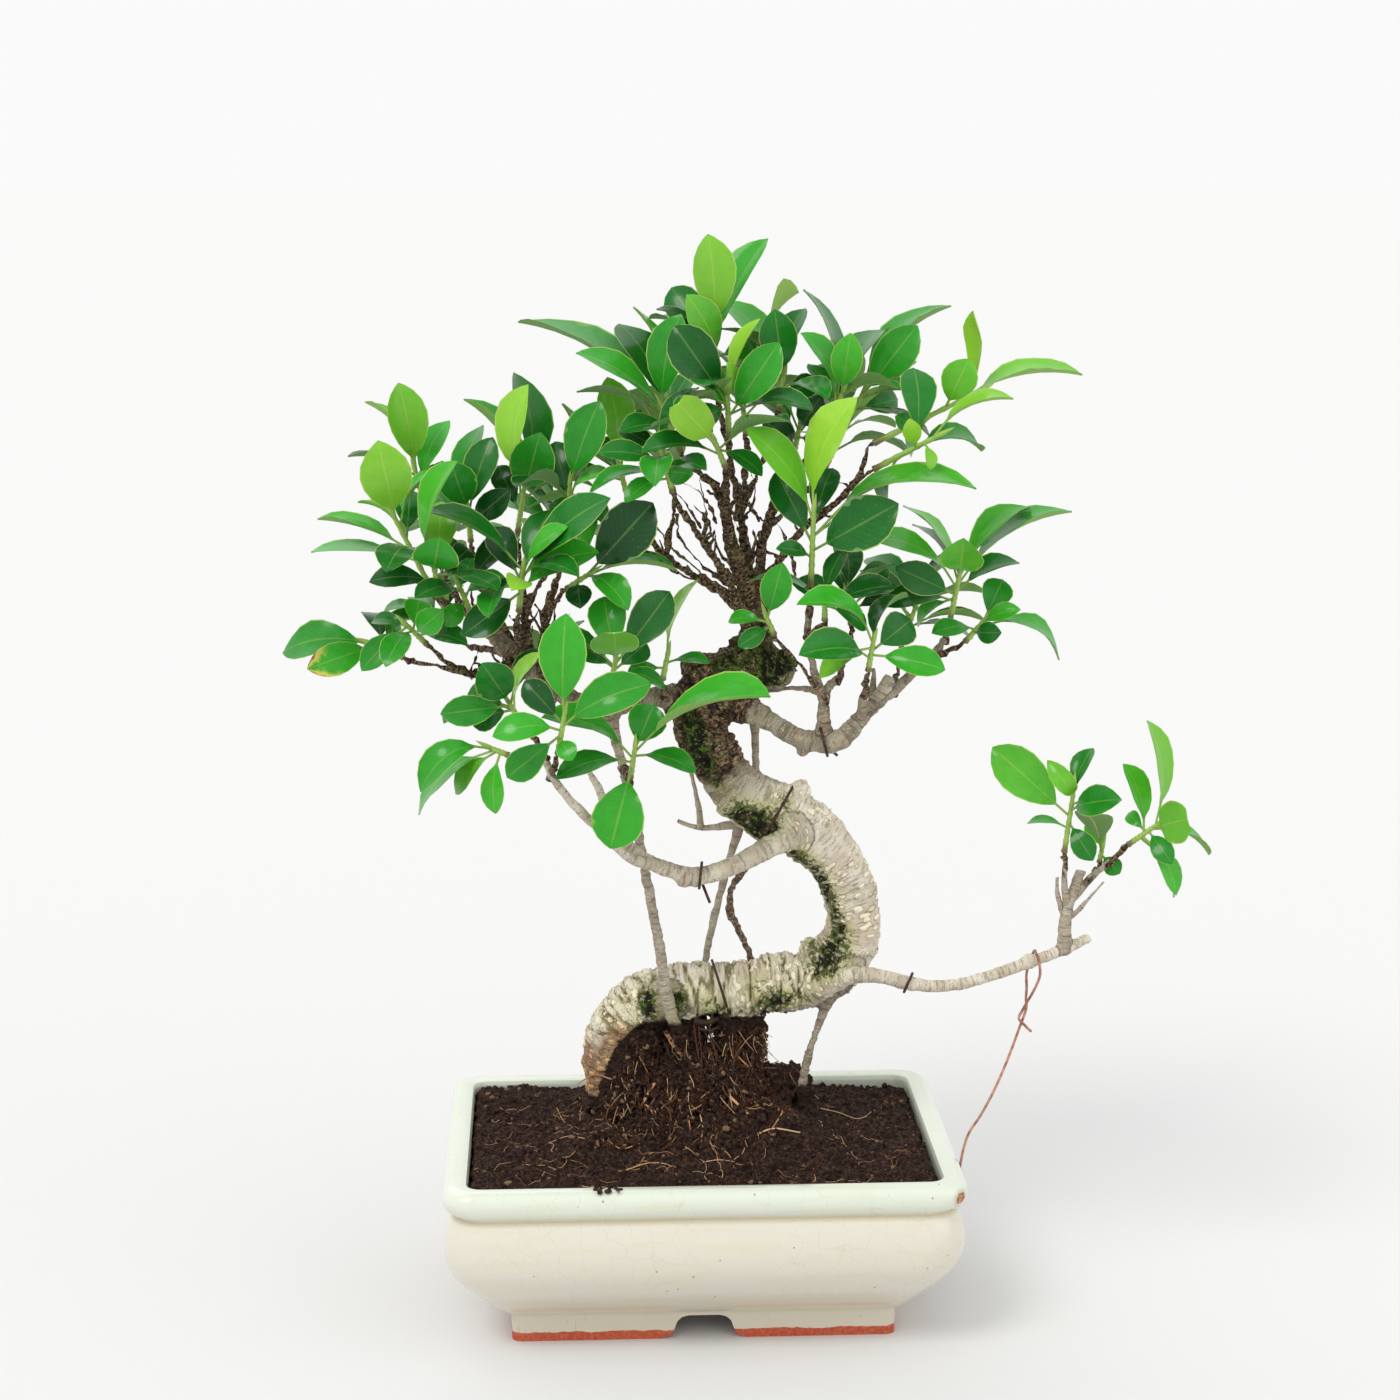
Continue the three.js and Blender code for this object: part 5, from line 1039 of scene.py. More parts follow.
def leaf_finish(sizes):
    """Glossy leaves, lime when young and dark when old, with a pale margin, rib, veins and underside."""
    finish = Finish("banyan_leaf", ior=1.22, coat_roughness=0.16)
    age, tint, under, stem, withered = finish.attributes("age", "tint", "under", "stem", "withered")
    layout = finish.node("ShaderNodeUVMap", {"uv_map": "leaf"}, {})
    across = abs(finish.part(layout, "X") * 2 - 1)
    along = finish.part(layout, "Y")
    blade = along.between(PETIOLE_SHARE - 0.02, PETIOLE_SHARE + 0.05)
    places = finish.places()
    mottle = finish.noise(places, 0.22, 4, 0.6)
    freshness = age + (tint - 0.5) * 0.16 + (mottle - 0.5) * 0.16
    colour = finish.ramp(
        freshness,
        (0.0, sizes.dark),
        (0.26, sizes.mature),
        (0.5, sizes.fresh),
        (0.75, sizes.young),
        (1.0, sizes.lime),
    )
    side_vein = 1 - ((along * 15 - across * 3.2).waves() * 2).between(0.04, 0.22)
    rib = 1 - across.between(0.015, 0.07)
    margin = across.between(0.93, 0.985)
    pale = finish.mix(age, rgb(148, 182, 96), rgb(205, 222, 110))
    backs = finish.mix(age, sizes.underside, rgb(168, 200, 96))
    backs = finish.mix((rib * 0.8 + side_vein * 0.25) * blade, backs, rgb(190, 208, 140))
    stalk = finish.mix(age, rgb(112, 150, 70), rgb(170, 200, 96))
    woody = (stem * (1 - along)).between(0.82, 1.0)
    stems = finish.mix(mottle.between(0.4, 0.65) * 0.4, rgb(160, 192, 92), rgb(132, 160, 74))
    stems = finish.mix(woody * 0.9, stems, rgb(110, 88, 62))
    dying = withered * (along * 0.7 + across * 0.24) + (mottle - 0.5) * 0.3
    spots = finish.cells(places, 0.32).between(0.07, 0.12)
    colour = finish.layered(
        colour,
        (side_vein * blade * 0.03, pale),
        (rib * blade * 0.24, pale),
        (margin * blade * 0.7, rgb(190, 206, 112)),
        (under * blade * 0.8, backs),
        (1 - blade, stalk),
        (stem, stems),
        (dying.between(0.6, 0.72), rgb(196, 190, 84)),
        (dying.between(0.72, 0.8), rgb(142, 84, 56)),
        ((1 - spots) * (1 - age) * 0.3, rgb(150, 160, 80)),
    )
    relief = (1 - rib) * 0.5 + side_vein * 0.16 + finish.noise(places, 0.9, 2) * 0.15
    return finish.surface(
        base_color=colour,
        roughness=sizes.gloss + 0.26 * under + 0.1 * mottle + 0.15 * age + 0.2 * dying.between(0.7, 0.8),
        normal=finish.bump(relief, 0.35, 0.4),
        coat_weight=0.42 * (1 - under),
    )


def soil_finish(sizes):
    """Black-brown crumbly soil with tan flecks."""
    finish = Finish("fibrous_soil", ior=1.2)
    places = finish.places()
    crumbs = finish.noise(places, 0.55, 6, 0.75)
    patches = finish.noise(places, 0.11, 4, 0.65)
    flecks = finish.cells(finish.stretched(places, (1, 0.45, 0.8)), 0.9).between(0.06, 0.16)
    colour = finish.ramp(
        crumbs,
        (0.3, rgb(14, 10, 9)),
        (0.48, sizes.soil),
        (0.62, rgb(92, 68, 56)),
        (0.78, rgb(146, 110, 82)),
    )
    ruddy = (1 - patches.between(0.34, 0.48)) * finish.part(places, "Z").between(84, 94)
    tone = finish.attribute("tone")
    colour = finish.layered(
        colour,
        (patches.between(0.52, 0.66) * 0.6, rgb(22, 15, 12)),
        (ruddy * 0.45, rgb(92, 54, 36)),
        ((1 - flecks) * 0.45, rgb(142, 98, 62)),
        (tone.between(0.1, 0.9) * 0.3, rgb(84, 58, 44)),
        (tone.between(0.92, 0.96) * 0.7, rgb(158, 128, 98)),
    )
    return finish.surface(
        base_color=colour,
        roughness=0.8 + 0.15 * crumbs,
        normal=finish.bump(crumbs + (1 - flecks) * 0.3, 0.9, 1.6),
    )


def fibre_finish(sizes):
    """Root fibres from dark brown to orange and straw."""
    finish = Finish("root_fibre")
    tint = finish.attribute("tint")
    grain = finish.noise(finish.places(), 0.9, 4, 0.7)
    colour = finish.ramp(
        tint + (grain - 0.5) * 0.3,
        (0.0, rgb(40, 24, 16)),
        (0.4, rgb(96, 58, 34)),
        (0.7, sizes.root),
        (1.0, rgb(206, 176, 134)),
    )
    return finish.surface(base_color=colour, roughness=0.6 + 0.3 * grain, normal=finish.bump(grain, 0.6, 0.3))


def pot_finish(sizes):
    """Cream glaze with a mint rim, craze lines, iron specks and a bare clay foot and chip."""
    finish = Finish("celadon_pot", coat_roughness=0.06)
    places = finish.places()
    height = finish.part(places, "Z")
    clouds = finish.noise(places, 0.018, 4)
    mint = (height + (clouds - 0.5) * 16).between(58, 73)
    pooled = finish.noise(finish.stretched(places, (0.03, 0.03, 0.3)), 1, 3)
    groove = (1 - abs(height - GROOVE_HEIGHT).between(0.3, 2.4)) * 0.5
    stain = (1 - (height + (clouds - 0.5) * 22).between(13, 30)) * 0.26
    drift = finish.node("ShaderNodeTexNoise", {}, {"Vector": places, "Scale": 0.1}, "Color")
    swung = finish.stretched(drift, 6)
    wobble = finish.node("ShaderNodeVectorMath", {"operation": "ADD"}, {0: places, 1: swung})
    crazing = finish.cells(wobble, 1 / sizes.craze, "DISTANCE_TO_EDGE")
    hairline = (1 - crazing.between(0.004, 0.022)) * clouds.between(0.42, 0.6)
    specks = finish.cells(places, 0.16)
    rare = finish.noise(places, 0.06, 1).between(0.5, 0.62)
    speck = (1 - specks.between(0.05, 0.1)) * rare
    streak = finish.noise(finish.stretched(places, (0.5, 0.5, 0.08)), 1, 3).between(0.66, 0.78)
    low = 1 - height.between(14, 44)
    ragged = height + (finish.noise(places, 0.12, 3) - 0.5) * 3
    bare_height = sizes.bare_foot / MM
    bare = 1 - ragged.between(bare_height - 0.25, bare_height + 0.25)
    chip_place = to_frame(CHIP) / MM
    away = finish.node("ShaderNodeVectorMath", {"operation": "DISTANCE"}, {0: places, 1: chip_place}, "Value")
    chipped = 1 - (away + (finish.noise(places, 0.8, 2) - 0.5)).between(CHIP_RADIUS + 0.1, CHIP_RADIUS + 0.5)
    rusty = (1 - away.between(CHIP_RADIUS, CHIP_RADIUS + 3)) * 0.5
    grit = finish.noise(places, 0.7, 5, 0.7)
    clay = finish.mix(grit.between(0.35, 0.7), sizes.clay, rgb(196, 112, 76))
    scarred = finish.mix(grit.between(0.4, 0.6), rgb(196, 158, 122), rgb(150, 78, 60))
    colour = finish.layered(
        finish.mix(mint, sizes.body, sizes.rim),
        (pooled.between(0.5, 0.75) * 0.3, rgb(214, 204, 164)),
        (groove, rgb(188, 170, 122)),
        (stain, rgb(198, 184, 146)),
        (hairline * 0.12, rgb(150, 134, 98)),
        (speck * 0.8, rgb(128, 92, 58)),
        (streak * low * 0.3, rgb(170, 138, 100)),
        (rusty, rgb(176, 140, 90)),
        (bare, clay),
        (chipped, scarred),
    )
    open_clay = (bare + chipped).between(0, 1)
    dust = finish.noise(places, 0.05, 4)
    relief = open_clay * grit * 0.8 - hairline * 0.12 + clouds * 0.9 + dust * 0.2
    return finish.surface(
        base_color=colour,
        roughness=0.14 + 0.62 * open_clay + 0.12 * dust + 0.1 * stain,
        coat_weight=0.5 * (1 - open_clay),
        normal=finish.bump(relief, 0.35, 0.5),
    )


def copper_finish(sizes):
    """Copper wire gone dull and brown."""
    finish = Finish("dull_copper")
    places = finish.places()
    tarnish = finish.noise(places, 0.25, 4, 0.65)
    scuffs = finish.noise(places, 1.4, 3).between(0.5, 0.7)
    colour = finish.mix(tarnish.between(0.35, 0.65), sizes.copper, rgb(132, 94, 80))
    colour = finish.mix(scuffs * 0.3, colour, rgb(206, 140, 104))
    return finish.surface(
        base_color=colour,
        metallic=0.6 - 0.4 * tarnish,
        roughness=0.34 + 0.3 * tarnish,
        normal=finish.bump(tarnish + scuffs * 0.4, 0.3, 0.12),
    )


def old_wire_finish(sizes):
    """Ring wire that has weathered dark in the bark."""
    finish = Finish("weathered_wire")
    places = finish.places()
    crust = finish.noise(places, 0.6, 4, 0.7)
    colour = finish.mix(crust.between(0.4, 0.65), sizes.old_wire, rgb(92, 66, 48))
    return finish.surface(
        base_color=colour,
        metallic=0.5 - 0.3 * crust,
        roughness=0.6 + 0.3 * crust,
        normal=finish.bump(crust, 0.6, 0.3),
    )


def screen_finish():
    """Moulded dark plastic, dusty with soil."""
    finish = Finish("drain_screen")
    places = finish.places()
    dust = finish.noise(places, 0.3, 4, 0.65)
    colour = finish.mix(dust.between(0.48, 0.7) * 0.7, rgb(26, 30, 28), rgb(84, 66, 50))
    return finish.surface(
        base_color=colour,
        roughness=0.45 + 0.35 * dust,
        normal=finish.bump(finish.noise(places, 3, 2), 0.25, 0.1),
    )


def floor_finish(sizes):
    """A pale matt floor."""
    finish = Finish("studio_floor", ior=1.0)
    grain = finish.noise(finish.places(), 0.2, 3)
    shade = tuple(0.985 * share for share in sizes.floor)
    colour = finish.mix(grain, sizes.floor, shade)
    return finish.surface(base_color=colour, roughness=0.8 + 0.1 * grain)


# Wood


def route_points(route):
    """A table's route as (place, radius) pairs."""
    return [(seen(x, z, depth), radius) for x, z, depth, radius in route]


def stem_of(shoot):
    """The foot and the tip of a shoot's green stem, and its direction."""
    foot, tip = (seen(*place) for place in shoot.stem)
    return foot, tip, (tip - foot).normalized()


def twig_route(shoot):
    """The twig of a shoot: rooted in the limb that it leaves, it runs straight on into the stem."""
    foot, _, along = stem_of(shoot)
    wood = route_points(shoot.wood)
    (start, radius), (onward, _) = wood[:2]
    root = start + (start - onward).normalized() * TWIG_ROOT
    end = [(foot - along * TWIG_END, SHOOT_RADIUS + 0.25), (foot, SHOOT_RADIUS + 0.1)]
    return [(root, radius), *wood[1:], *end]


def dry_twigs(lines, count):
    """Short bare twigs and dead spurs that branch off the crown's limbs."""
    chance = random.Random(DRY_TWIG_SEED)
    twigs = []
    while len(twigs) < count:
        line = chance.choice(lines)
        place, radius = line[chance.randrange(len(line) // 3, len(line))]
        onward = strayed(chance, 1) + Vector((0, 0, 1.1))
        onward.normalize()
        length = chance.uniform(5, 14)
        bend = strayed(chance, 1) * length * 0.16
        thick = min(radius * 0.5, chance.uniform(0.5, 0.85))
        middle = place + onward * length * 0.5 + bend
        twigs.append([(place, thick * 1.3), (middle, thick), (place + onward * length, thick * 0.6)])
    return twigs


def line_table(lines):
    """A tree of the routes' places, with each place's route, direction, frame, length so far and radius."""
    rows = []
    for name, line in lines:
        side = Vector((0.31, -0.9, 0.3))
        run = 0
        for i, (place, radius) in enumerate(line):
            ahead = line[min(i + 1, len(line) - 1)][0]
            behind = line[max(i - 1, 0)][0]
            along = (ahead - behind).normalized()
            side = (side - along * side.dot(along)).normalized()
            run += (place - line[i - 1][0]).length if i else 0
            rows.append((name, place, along, side, along.cross(side), run, radius))
    return place_tree([row[1] for row in rows]), rows


def nearest_row(tree, rows, place):
    """The row of the limb whose bark is nearest."""
    near = tree.find_n(place, 7)
    return rows[min(near, key=lambda found: found[2] - rows[found[1]][6])[1]]


def looked_up(table, name, fallback):
    """The value of the first entry that the name starts with."""
    return next((value for start, value in table.items() if name.startswith(start)), fallback)


def bark_relief(grain, radius, wrinkled, warty, rugged, old):
    """How far the bark stands out, in mm, and how much of that is a groove and how much a wart."""
    run, side, across = grain
    stout = steadily(2.2, 9, radius)
    lump = noise.noise(Vector((run * 0.07, side * 0.06, across * 0.06)))
    knob = max(noise.noise(Vector((run * 0.16 + 7, side * 0.16, across * 0.16))) - 0.12, 0)
    fine = noise.noise(Vector((run * 0.55, side * 0.3, across * 0.3 + 4)))
    ridge = abs(noise.noise(Vector((run * 0.24, side * 0.04, across * 0.04 + 9))))
    fold = abs(noise.noise(Vector((run * 0.09 + 3, side * 0.11, across * 0.11))))
    groove = wrinkled * (1 - steadily(0, 0.14, ridge)) + rugged * (1 - steadily(0, 0.12, fold))
    middle = noise.voronoi(Vector((run * 0.42, side * 0.19, across * 0.19)))[0][0]
    here = noise.noise(Vector((run * 0.05, side * 0.04, across * 0.04 + 20))) + 0.5 * warty
    wart = (1 - steadily(0.24, 0.46, middle)) * steadily(-0.25, 0.05, here) * (1 - rugged) * (1 - 0.6 * old)
    thick = (1.1 + rugged) * lump + 1.8 * knob + (0.6 + 0.6 * rugged) * fine + 0.7 * wart - 1.7 * groove
    wart *= (1 - old) * steadily(1.5, 7, radius)
    thin = (0.28 * fine + 0.25 * lump) * (1 + 1.8 * old) + 0.25 * wart - 0.4 * old
    return stout * thick + (1 - stout) * thin, groove, wart


def soil_line(x):
    """The height up to which soil clings to the trunk's foot."""
    return min(max(107 + 2 * (x + 37), 93), 117 + 1.1 * (x + 36), 130)


def bark_kind(name, place, radius):
    """How wrinkled, warty, rugged and old the bark is at a place, and how stained and caked with soil; on the
    crown the old share is also painted shade.
    """
    x, _, z = place
    neck = steadily(-5, 7, z - 224 - 0.94 * (x - 3))
    stump = neck * steadily(225, 235, z) * (1 - steadily(30, 46, abs(x - 12))) * steadily(4, 7, radius)
    wrinkled = (1 - steadily(42, 56, x)) * (1 - steadily(152, 170, z)) if radius > 6 else 0.25
    bulb = (1 - steadily(-34, -16, x)) * (1 - steadily(160, 180, z))
    bend = steadily(38, 48, x) * (1 - steadily(178, 200, z))
    # Older bark, and on the crown's limbs and twigs painted shade.
    old = max(looked_up(DARK_ROUTES, name, 0), stump)
    if name == "trunk":
        old = max(old, 0.6 * steadily(220, 238, z + 0.5 * (24 - x)))
        line = soil_line(x)
        stain = 1 - steadily(min(line + 12, 120), min(line + 36, 134), z)
    else:
        line = looked_up(SOIL_LINES, name, 90)
        stain = 0
    earth = 1 - steadily(line - 6, line + 6, z)
    return wrinkled, max(bulb, bend), stump, old, stain, earth


def give_bark(mesh, tree, rows, raise_bark):
    """Raises the bark's relief and gives the mesh what the bark's finish reads."""
    moss_places = [(seen(x, z, depth), radius, strength) for x, z, depth, radius, strength in MOSS]
    shift = np.array(POT_PLACE)
    marks = []
    moved = []
    for world, normal in zip(vertex_rows(mesh, "co"), vertex_rows(mesh, "normal")):
        place = Vector((world - shift) / MM)
        name, middle, along, side, across, run, radius = nearest_row(tree, rows, place)
        offset = place - middle
        grain = (run + offset.dot(along), offset.dot(side), offset.dot(across))
        wrinkled, warty, rugged, old, stain, earth = bark_kind(name, place, radius)
        rise, groove, wart = bark_relief(grain, radius, wrinkled, warty, rugged, old)
        rise += earth * (1.3 * noise.noise(place * 0.42) + 0.9 * noise.noise(place * 0.9))
        moved.append(world + normal * rise * raise_bark * MM)
        moss = sum(
            strength * math.exp(-((place - spot).length_squared) / reach**2)
            for spot, reach, strength in moss_places
            if abs(place.z - spot.z) < 2.5 * reach and abs(place.x - spot.x) < 2.5 * reach
        )
        girth = min(radius / FULL_GIRTH, 1)
        marks.append((grain, girth, min(moss, 1), earth, stain, old, min(groove, 1), wart))
    set_places(mesh, moved)
    for name, values in zip(BARK_MARKS, zip(*marks)):
        give(mesh, name, values, "FLOAT_VECTOR" if name == "grain" else "FLOAT")


def knotted(line, chance):
    """A twig's line with the small bends and swellings of old leaf scars."""
    crooked = []
    for place, radius in line:
        crooked.append((place + strayed(chance, 0.45), radius * chance.uniform(0.7, 1.15)))
    return crooked


def is_stout(line):
    """Whether a limb's line is thick enough for the grid that the wood's skin is made on."""
    return line[0][1] > 2.9 or line[len(line) // 2][1] > 2.3


def add_wood(sizes):
    """The trunk and limbs under one skin, and the thin twigs as bars of their own."""
    lines = [("trunk", smooth_route(route_points(TRUNK)))]
    lines += [(name, smooth_route(route_points(route))) for name, route in LIMBS.items()]
    wood = bars("wood", [line for _, line in lines if is_stout(line)], 14)
    burls = [sphere("burl", place, radius) for place, radius in route_points(BURLS + KNOBS)]
    wood = joined("tree_wood", wood, *burls)
    modified(wood, "REMESH", mode="VOXEL", voxel_size=sizes.voxel)
    modified(wood, "SMOOTH", factor=0.5, iterations=3)
    look = bark_finish(sizes)
    give_bark(wood.data, *line_table(lines), sizes.relief)
    finished(wood, "bark", ["trunk"], look, smooth=60)
    crown = [line for name, line in lines if name.startswith(("upper", "high_left_"))]
    dry = [route_points(route) for route in FINE_TWIGS] + dry_twigs(crown, sizes.dry_twigs)
    thin = [(name, line) for name, line in lines if not is_stout(line)]
    thin += [("twig", smooth_route(twig_route(shoot), 2)) for shoot in SHOOTS.values()]
    thin += [("twig", smooth_route(route, 2)) for route in dry]
    chance = random.Random(KNOT_SEED)
    thin = [(name, knotted(line, chance) if name == "twig" else line) for name, line in thin]
    twigs = bars("crown_twigs", [line for _, line in thin], 8)
    give_bark(twigs.data, *line_table(thin), sizes.relief)
    finished(twigs, "bark", ["trunk"], look, smooth=60)


# Leaves


def leaf_template():
    """A leaf's skin as a closed tube along Y from 0 to 1: a circle of places at each row."""
    blade = (0.05, 0.15, 0.29, 0.45, 0.6, 0.75, 0.87, 0.955, 1)
    rows = [0, PETIOLE_SHARE] + [PETIOLE_SHARE + u * (1 - PETIOLE_SHARE) for u in blade]
    turns = [2 * math.pi * k / LEAF_SIDES for k in range(LEAF_SIDES)]
    rings = [[(math.cos(turn), t, math.sin(turn)) for turn in turns] for t in rows]
    piece = lofted("leaf_template", rings)
    bpy.ops.object.mode_set(mode="EDIT")
    bpy.ops.mesh.select_all(action="DESELECT")
    bpy.ops.mesh.select_face_by_sides(number=4, type="GREATER")
    bpy.ops.mesh.poke()
    bpy.ops.object.mode_set(mode="OBJECT")
    mesh = piece.data
    layer = mesh.uv_layers.new(name="leaf") if not mesh.uv_layers else mesh.uv_layers[0]
    layer.name = "leaf"
    for loop in mesh.loops:
        place = mesh.vertices[loop.vertex_index].co
        layer.data[loop.index].uv = ((place.x + 1) / 2, place.y)
    return piece


def outline(u, notch):
    """Half the width of a blade, as a share of its greatest, from its base (0) to its tip (1)."""
    u = min(max(u, 0), 1)
    if notch:
        return steadily(-0.1, 0.15, u) * math.sqrt(1 - ((u - 0.6) / (0.62 if u < 0.6 else 0.54)) ** 2)
    return math.sin(math.pi * u**1.3) ** (0.6 + 0.22 * u**3)


def leaf_curve(leaf, t):
    """The middle line's place, and the directions to the leaf's side and upper face, at t."""
    foot, tip, middle, side = leaf["foot"], leaf["tip"], leaf["middle"], leaf["side"]
    place = foot * (1 - t) ** 2 + middle * 2 * t * (1 - t) + tip * t**2
    tangent = ((middle - foot) * (1 - t) + (tip - middle) * t).normalized()
    return place, side, tangent.cross(side).normalized()


def framed(leaf):
    """Adds the leaf's side and the middle of its arc, which bows towards the upper face."""
    along = leaf["tip"] - leaf["foot"]
    length = along.length
    along.normalize()
    front = (leaf["facing"] - along * leaf["facing"].dot(along)).normalized()
    across = along.cross(front)
    if across.z < 0:
        across.negate()
    upper = front * math.cos(leaf["turn"]) + across * math.sin(leaf["turn"])
    leaf["side"] = upper.cross(along)
    leaf["middle"] = leaf["foot"].lerp(leaf["tip"], 0.5) + upper * leaf["arch"] * length * 2
    return leaf


def leaves_of(shoot, seed):
    """Every leaf of a shoot as the list of its tries."""
    draw = draws(seed)
    foot, tip, along = stem_of(shoot)

    def base_of(i, count):
        """Where the leaf of this number grows on the stem."""
        return foot.lerp(tip, 0.3 + 0.65 * (i + 0.5) / count)

    leaves = []
    for i, (x, z, past, visible, age, *own_arch) in enumerate(shoot.leaves):
        base = base_of(i, len(shoot.leaves))
        arch = (own_arch[0] if own_arch else ARCH) * (0.8 + 0.4 * next(draw))
        fold = FOLD * (0.5 + next(draw))
        tries = []
        for swing in TIP_SWINGS:
            end = seen(x, z, base.y + past + swing)
            width = max(visible, BLADE_RATIO * (end - base).length)
            turn = min(math.acos(visible / width), MOST_TURN)
            leaf = {"foot": base, "tip": end, "facing": EYE - base, "turn": turn, "arch": arch, "fold": fold}
            tries.append({**leaf, "width": width, "age": age, "number": i})
        leaves.append(tries)
    side = along.cross(Vector((0.31, 0.59, 0.74))).normalized()
    across = along.cross(side)
    chance = random.Random(seed)
    for i in range(shoot.more):
        base = base_of(i, shoot.more)
        length = LEAF_LENGTH * (0.8 + 0.35 * next(draw))
        spread = 1.3 - 0.6 * (i / shoot.more) + 0.2 * (next(draw) - 0.5)
        start = GOLDEN_TURN * i + 2 * math.pi * next(draw)
        turn = 0.9 * (next(draw) - 0.5)
        arch = ARCH * (0.7 + 0.8 * next(draw))
        fold = FOLD * (0.5 + next(draw))
        age = 0.06 + 0.5 * chance.random() * chance.random()
        tries = []
        for swing in TURN_SWINGS:
            angle = start + math.radians(swing)
            end = (
                base
                + along * length * math.cos(spread)
                + side * length * math.sin(spread) * math.cos(angle)
                + across * length * math.sin(spread) * math.sin(angle)
            )
            leaf = {"foot": base, "tip": end, "facing": Vector((0, 0, 1)), "turn": turn, "arch": arch}
            tries.append({**leaf, "fold": fold, "width": length * BLADE_RATIO, "age": age, "number": None})
        leaves.append(tries)
    return leaves


def standing(tries, tree):
    """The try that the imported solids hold: both corners of its tip are found in their mesh."""
    for leaf in tries:
        _, _, upper = leaf_curve(framed(leaf), 1)
        corners = [to_frame(leaf["tip"] + upper * CAD_TIP_LIFT * sign) for sign in (-1, 1)]
        if all(tree.find(corner)[2] < TIP_TOLERANCE * MM for corner in corners):
            return leaf
    return None


def leaf_shape(leaf, template, chance):
    """The places of a template's vertices on a leaf, in the frame's metres."""
    places = []
    swell = chance.uniform(0, 2 * math.pi)
    ripple = chance.uniform(0.02, 0.07)
    notch = leaf["notch"]
    for column, t, face in template:
        u = (t - PETIOLE_SHARE) / (1 - PETIOLE_SHARE)
        blade = steadily(0, 0.12, u)
        hollow = max(1 - abs(column) / 0.55, 2.2 * (abs(column) - 0.55))
        half = max(leaf["width"] / 2 * outline(u, notch), 0.12) if u > 0 else 0
        half = max(half, 0.55 * (1 - steadily(0, 0.5, u)))
        thick = 0.5 + (0.26 * (1 - abs(column)) + 0.12 - 0.5) * blade
        middle, side, upper = leaf_curve(leaf, t - notch * hollow * max(u, 0) ** 4)
        crease = abs(column) ** 1.5 * half * math.sin(leaf["fold"]) * blade
        wave = ripple * half * column**2 * math.sin(9 * u + swell + (1.3 if column > 0 else 0)) * blade
        place = middle + side * column * half * math.cos(leaf["fold"] * blade)
        places.append(to_frame(place + upper * (crease + wave + face * thick)))
    return np.array(places)


def add_leaves(sizes):
    """Each shoot's leaves, as far as its solid holds them, and its stem as one piece."""
    template = leaf_template()
    mesh = template.data
    corners = [tuple(vertex.co) for vertex in mesh.vertices]
    backs = [1.0 if face.center.z < 0 else 0.0 for face in mesh.polygons]
    leaf_look = leaf_finish(sizes)
    for number, (name, shoot) in enumerate(SHOOTS.items()):
        node = "shoot_" + name
        tree = place_tree([vertex.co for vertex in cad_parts[node].data.vertices])
        chance = random.Random(FIRST_SEED + number)
        leaves = [standing(tries, tree) for tries in leaves_of(shoot, FIRST_SEED + number)]
        leaves = [leaf for leaf in leaves if leaf]
        for leaf in leaves:
            leaf["notch"] = NOTCHES.get((name, leaf["number"]), 0)
            if leaf["notch"]:
                tip = leaf["foot"].lerp(leaf["tip"], 0.84)
                tip += (EYE - tip).normalized() * 9
                width = leaf["width"] * math.cos(leaf["turn"])
                flat = {"tip": tip, "arch": 0.02, "turn": 0, "fold": 0.1, "width": width}
                leaf.update(framed({**leaf, **flat}))
        pieces = [add_stem(shoot, chance)]
        if leaves:
            shapes = [leaf_shape(leaf, corners, chance) for leaf in leaves]
            spray = repeated("leaves", mesh, shapes)
            count = len(corners)
            give(spray.data, "age", np.repeat([leaf["age"] for leaf in leaves], count))
            give(spray.data, "tint", np.repeat([chance.random() for _ in leaves], count))
            withered = [WITHERED.get((name, leaf["number"]), 0) for leaf in leaves]
            give(spray.data, "withered", np.repeat(withered, count))
            give(spray.data, "under", np.tile(backs, len(leaves)), domain="FACE")
            pieces.insert(0, spray)
        spray = joined(name + "_spray", *pieces)
        finished(spray, "leaf", [node], leaf_look, smooth=50)
    bpy.data.objects.remove(template)


def add_stem(shoot, chance):
    """The green stem of a shoot, a little thicker at each leaf, with its pointed bud."""
    foot, tip, along = stem_of(shoot)
    count = len(shoot.leaves) + shoot.more
    steps = max(count * 3, 8)
    places = []
    for i in range(steps + 1):
        share = i / steps
        knot = 1 + 0.2 * max(math.cos(2 * math.pi * share * count), 0) ** 3
        place = foot.lerp(tip, share) - along * (1 if i == 0 else 0)
        places.append((place, SHOOT_RADIUS * (1 - 0.25 * share) * knot))
    curl = strayed(chance, 1) * 0.7
    for share, radius in ((0.25, 1.0), (0.6, 0.7), (1, 0.15)):
        places.append((tip + along * BUD_LENGTH * share + curl * share, radius))
    stem = bars("stem", [places], 8)
    length = (tip - foot).length * MM
    heights = [(Vector(v.co) - to_frame(foot)).dot(along) / length for v in stem.data.vertices]
    layer = stem.data.uv_layers.new(name="leaf")
    for loop in stem.data.loops:
        layer.data[loop.index].uv = (0.5, min(max(heights[loop.vertex_index], 0), 1))
    give(stem.data, "stem", np.ones(len(heights)))
    give(stem.data, "age", np.full(len(heights), 0.6))
    return stem


# Soil


def surface_tree(mesh):
    """A tree that finds where a line meets the mesh."""
    places = [vertex.co for vertex in mesh.vertices]
    return BVHTree.FromPolygons(places, [tuple(face.vertices) for face in mesh.polygons])


def ground(tree, x, y):
    """The soil's surface at (x, y), in the pot's millimetres."""
    found = tree.ray_cast(to_frame((x, y, ABOVE_SOIL)), Vector((0, 0, -1)))[0]
    return (found - POT_PLACE) / MM if found else None


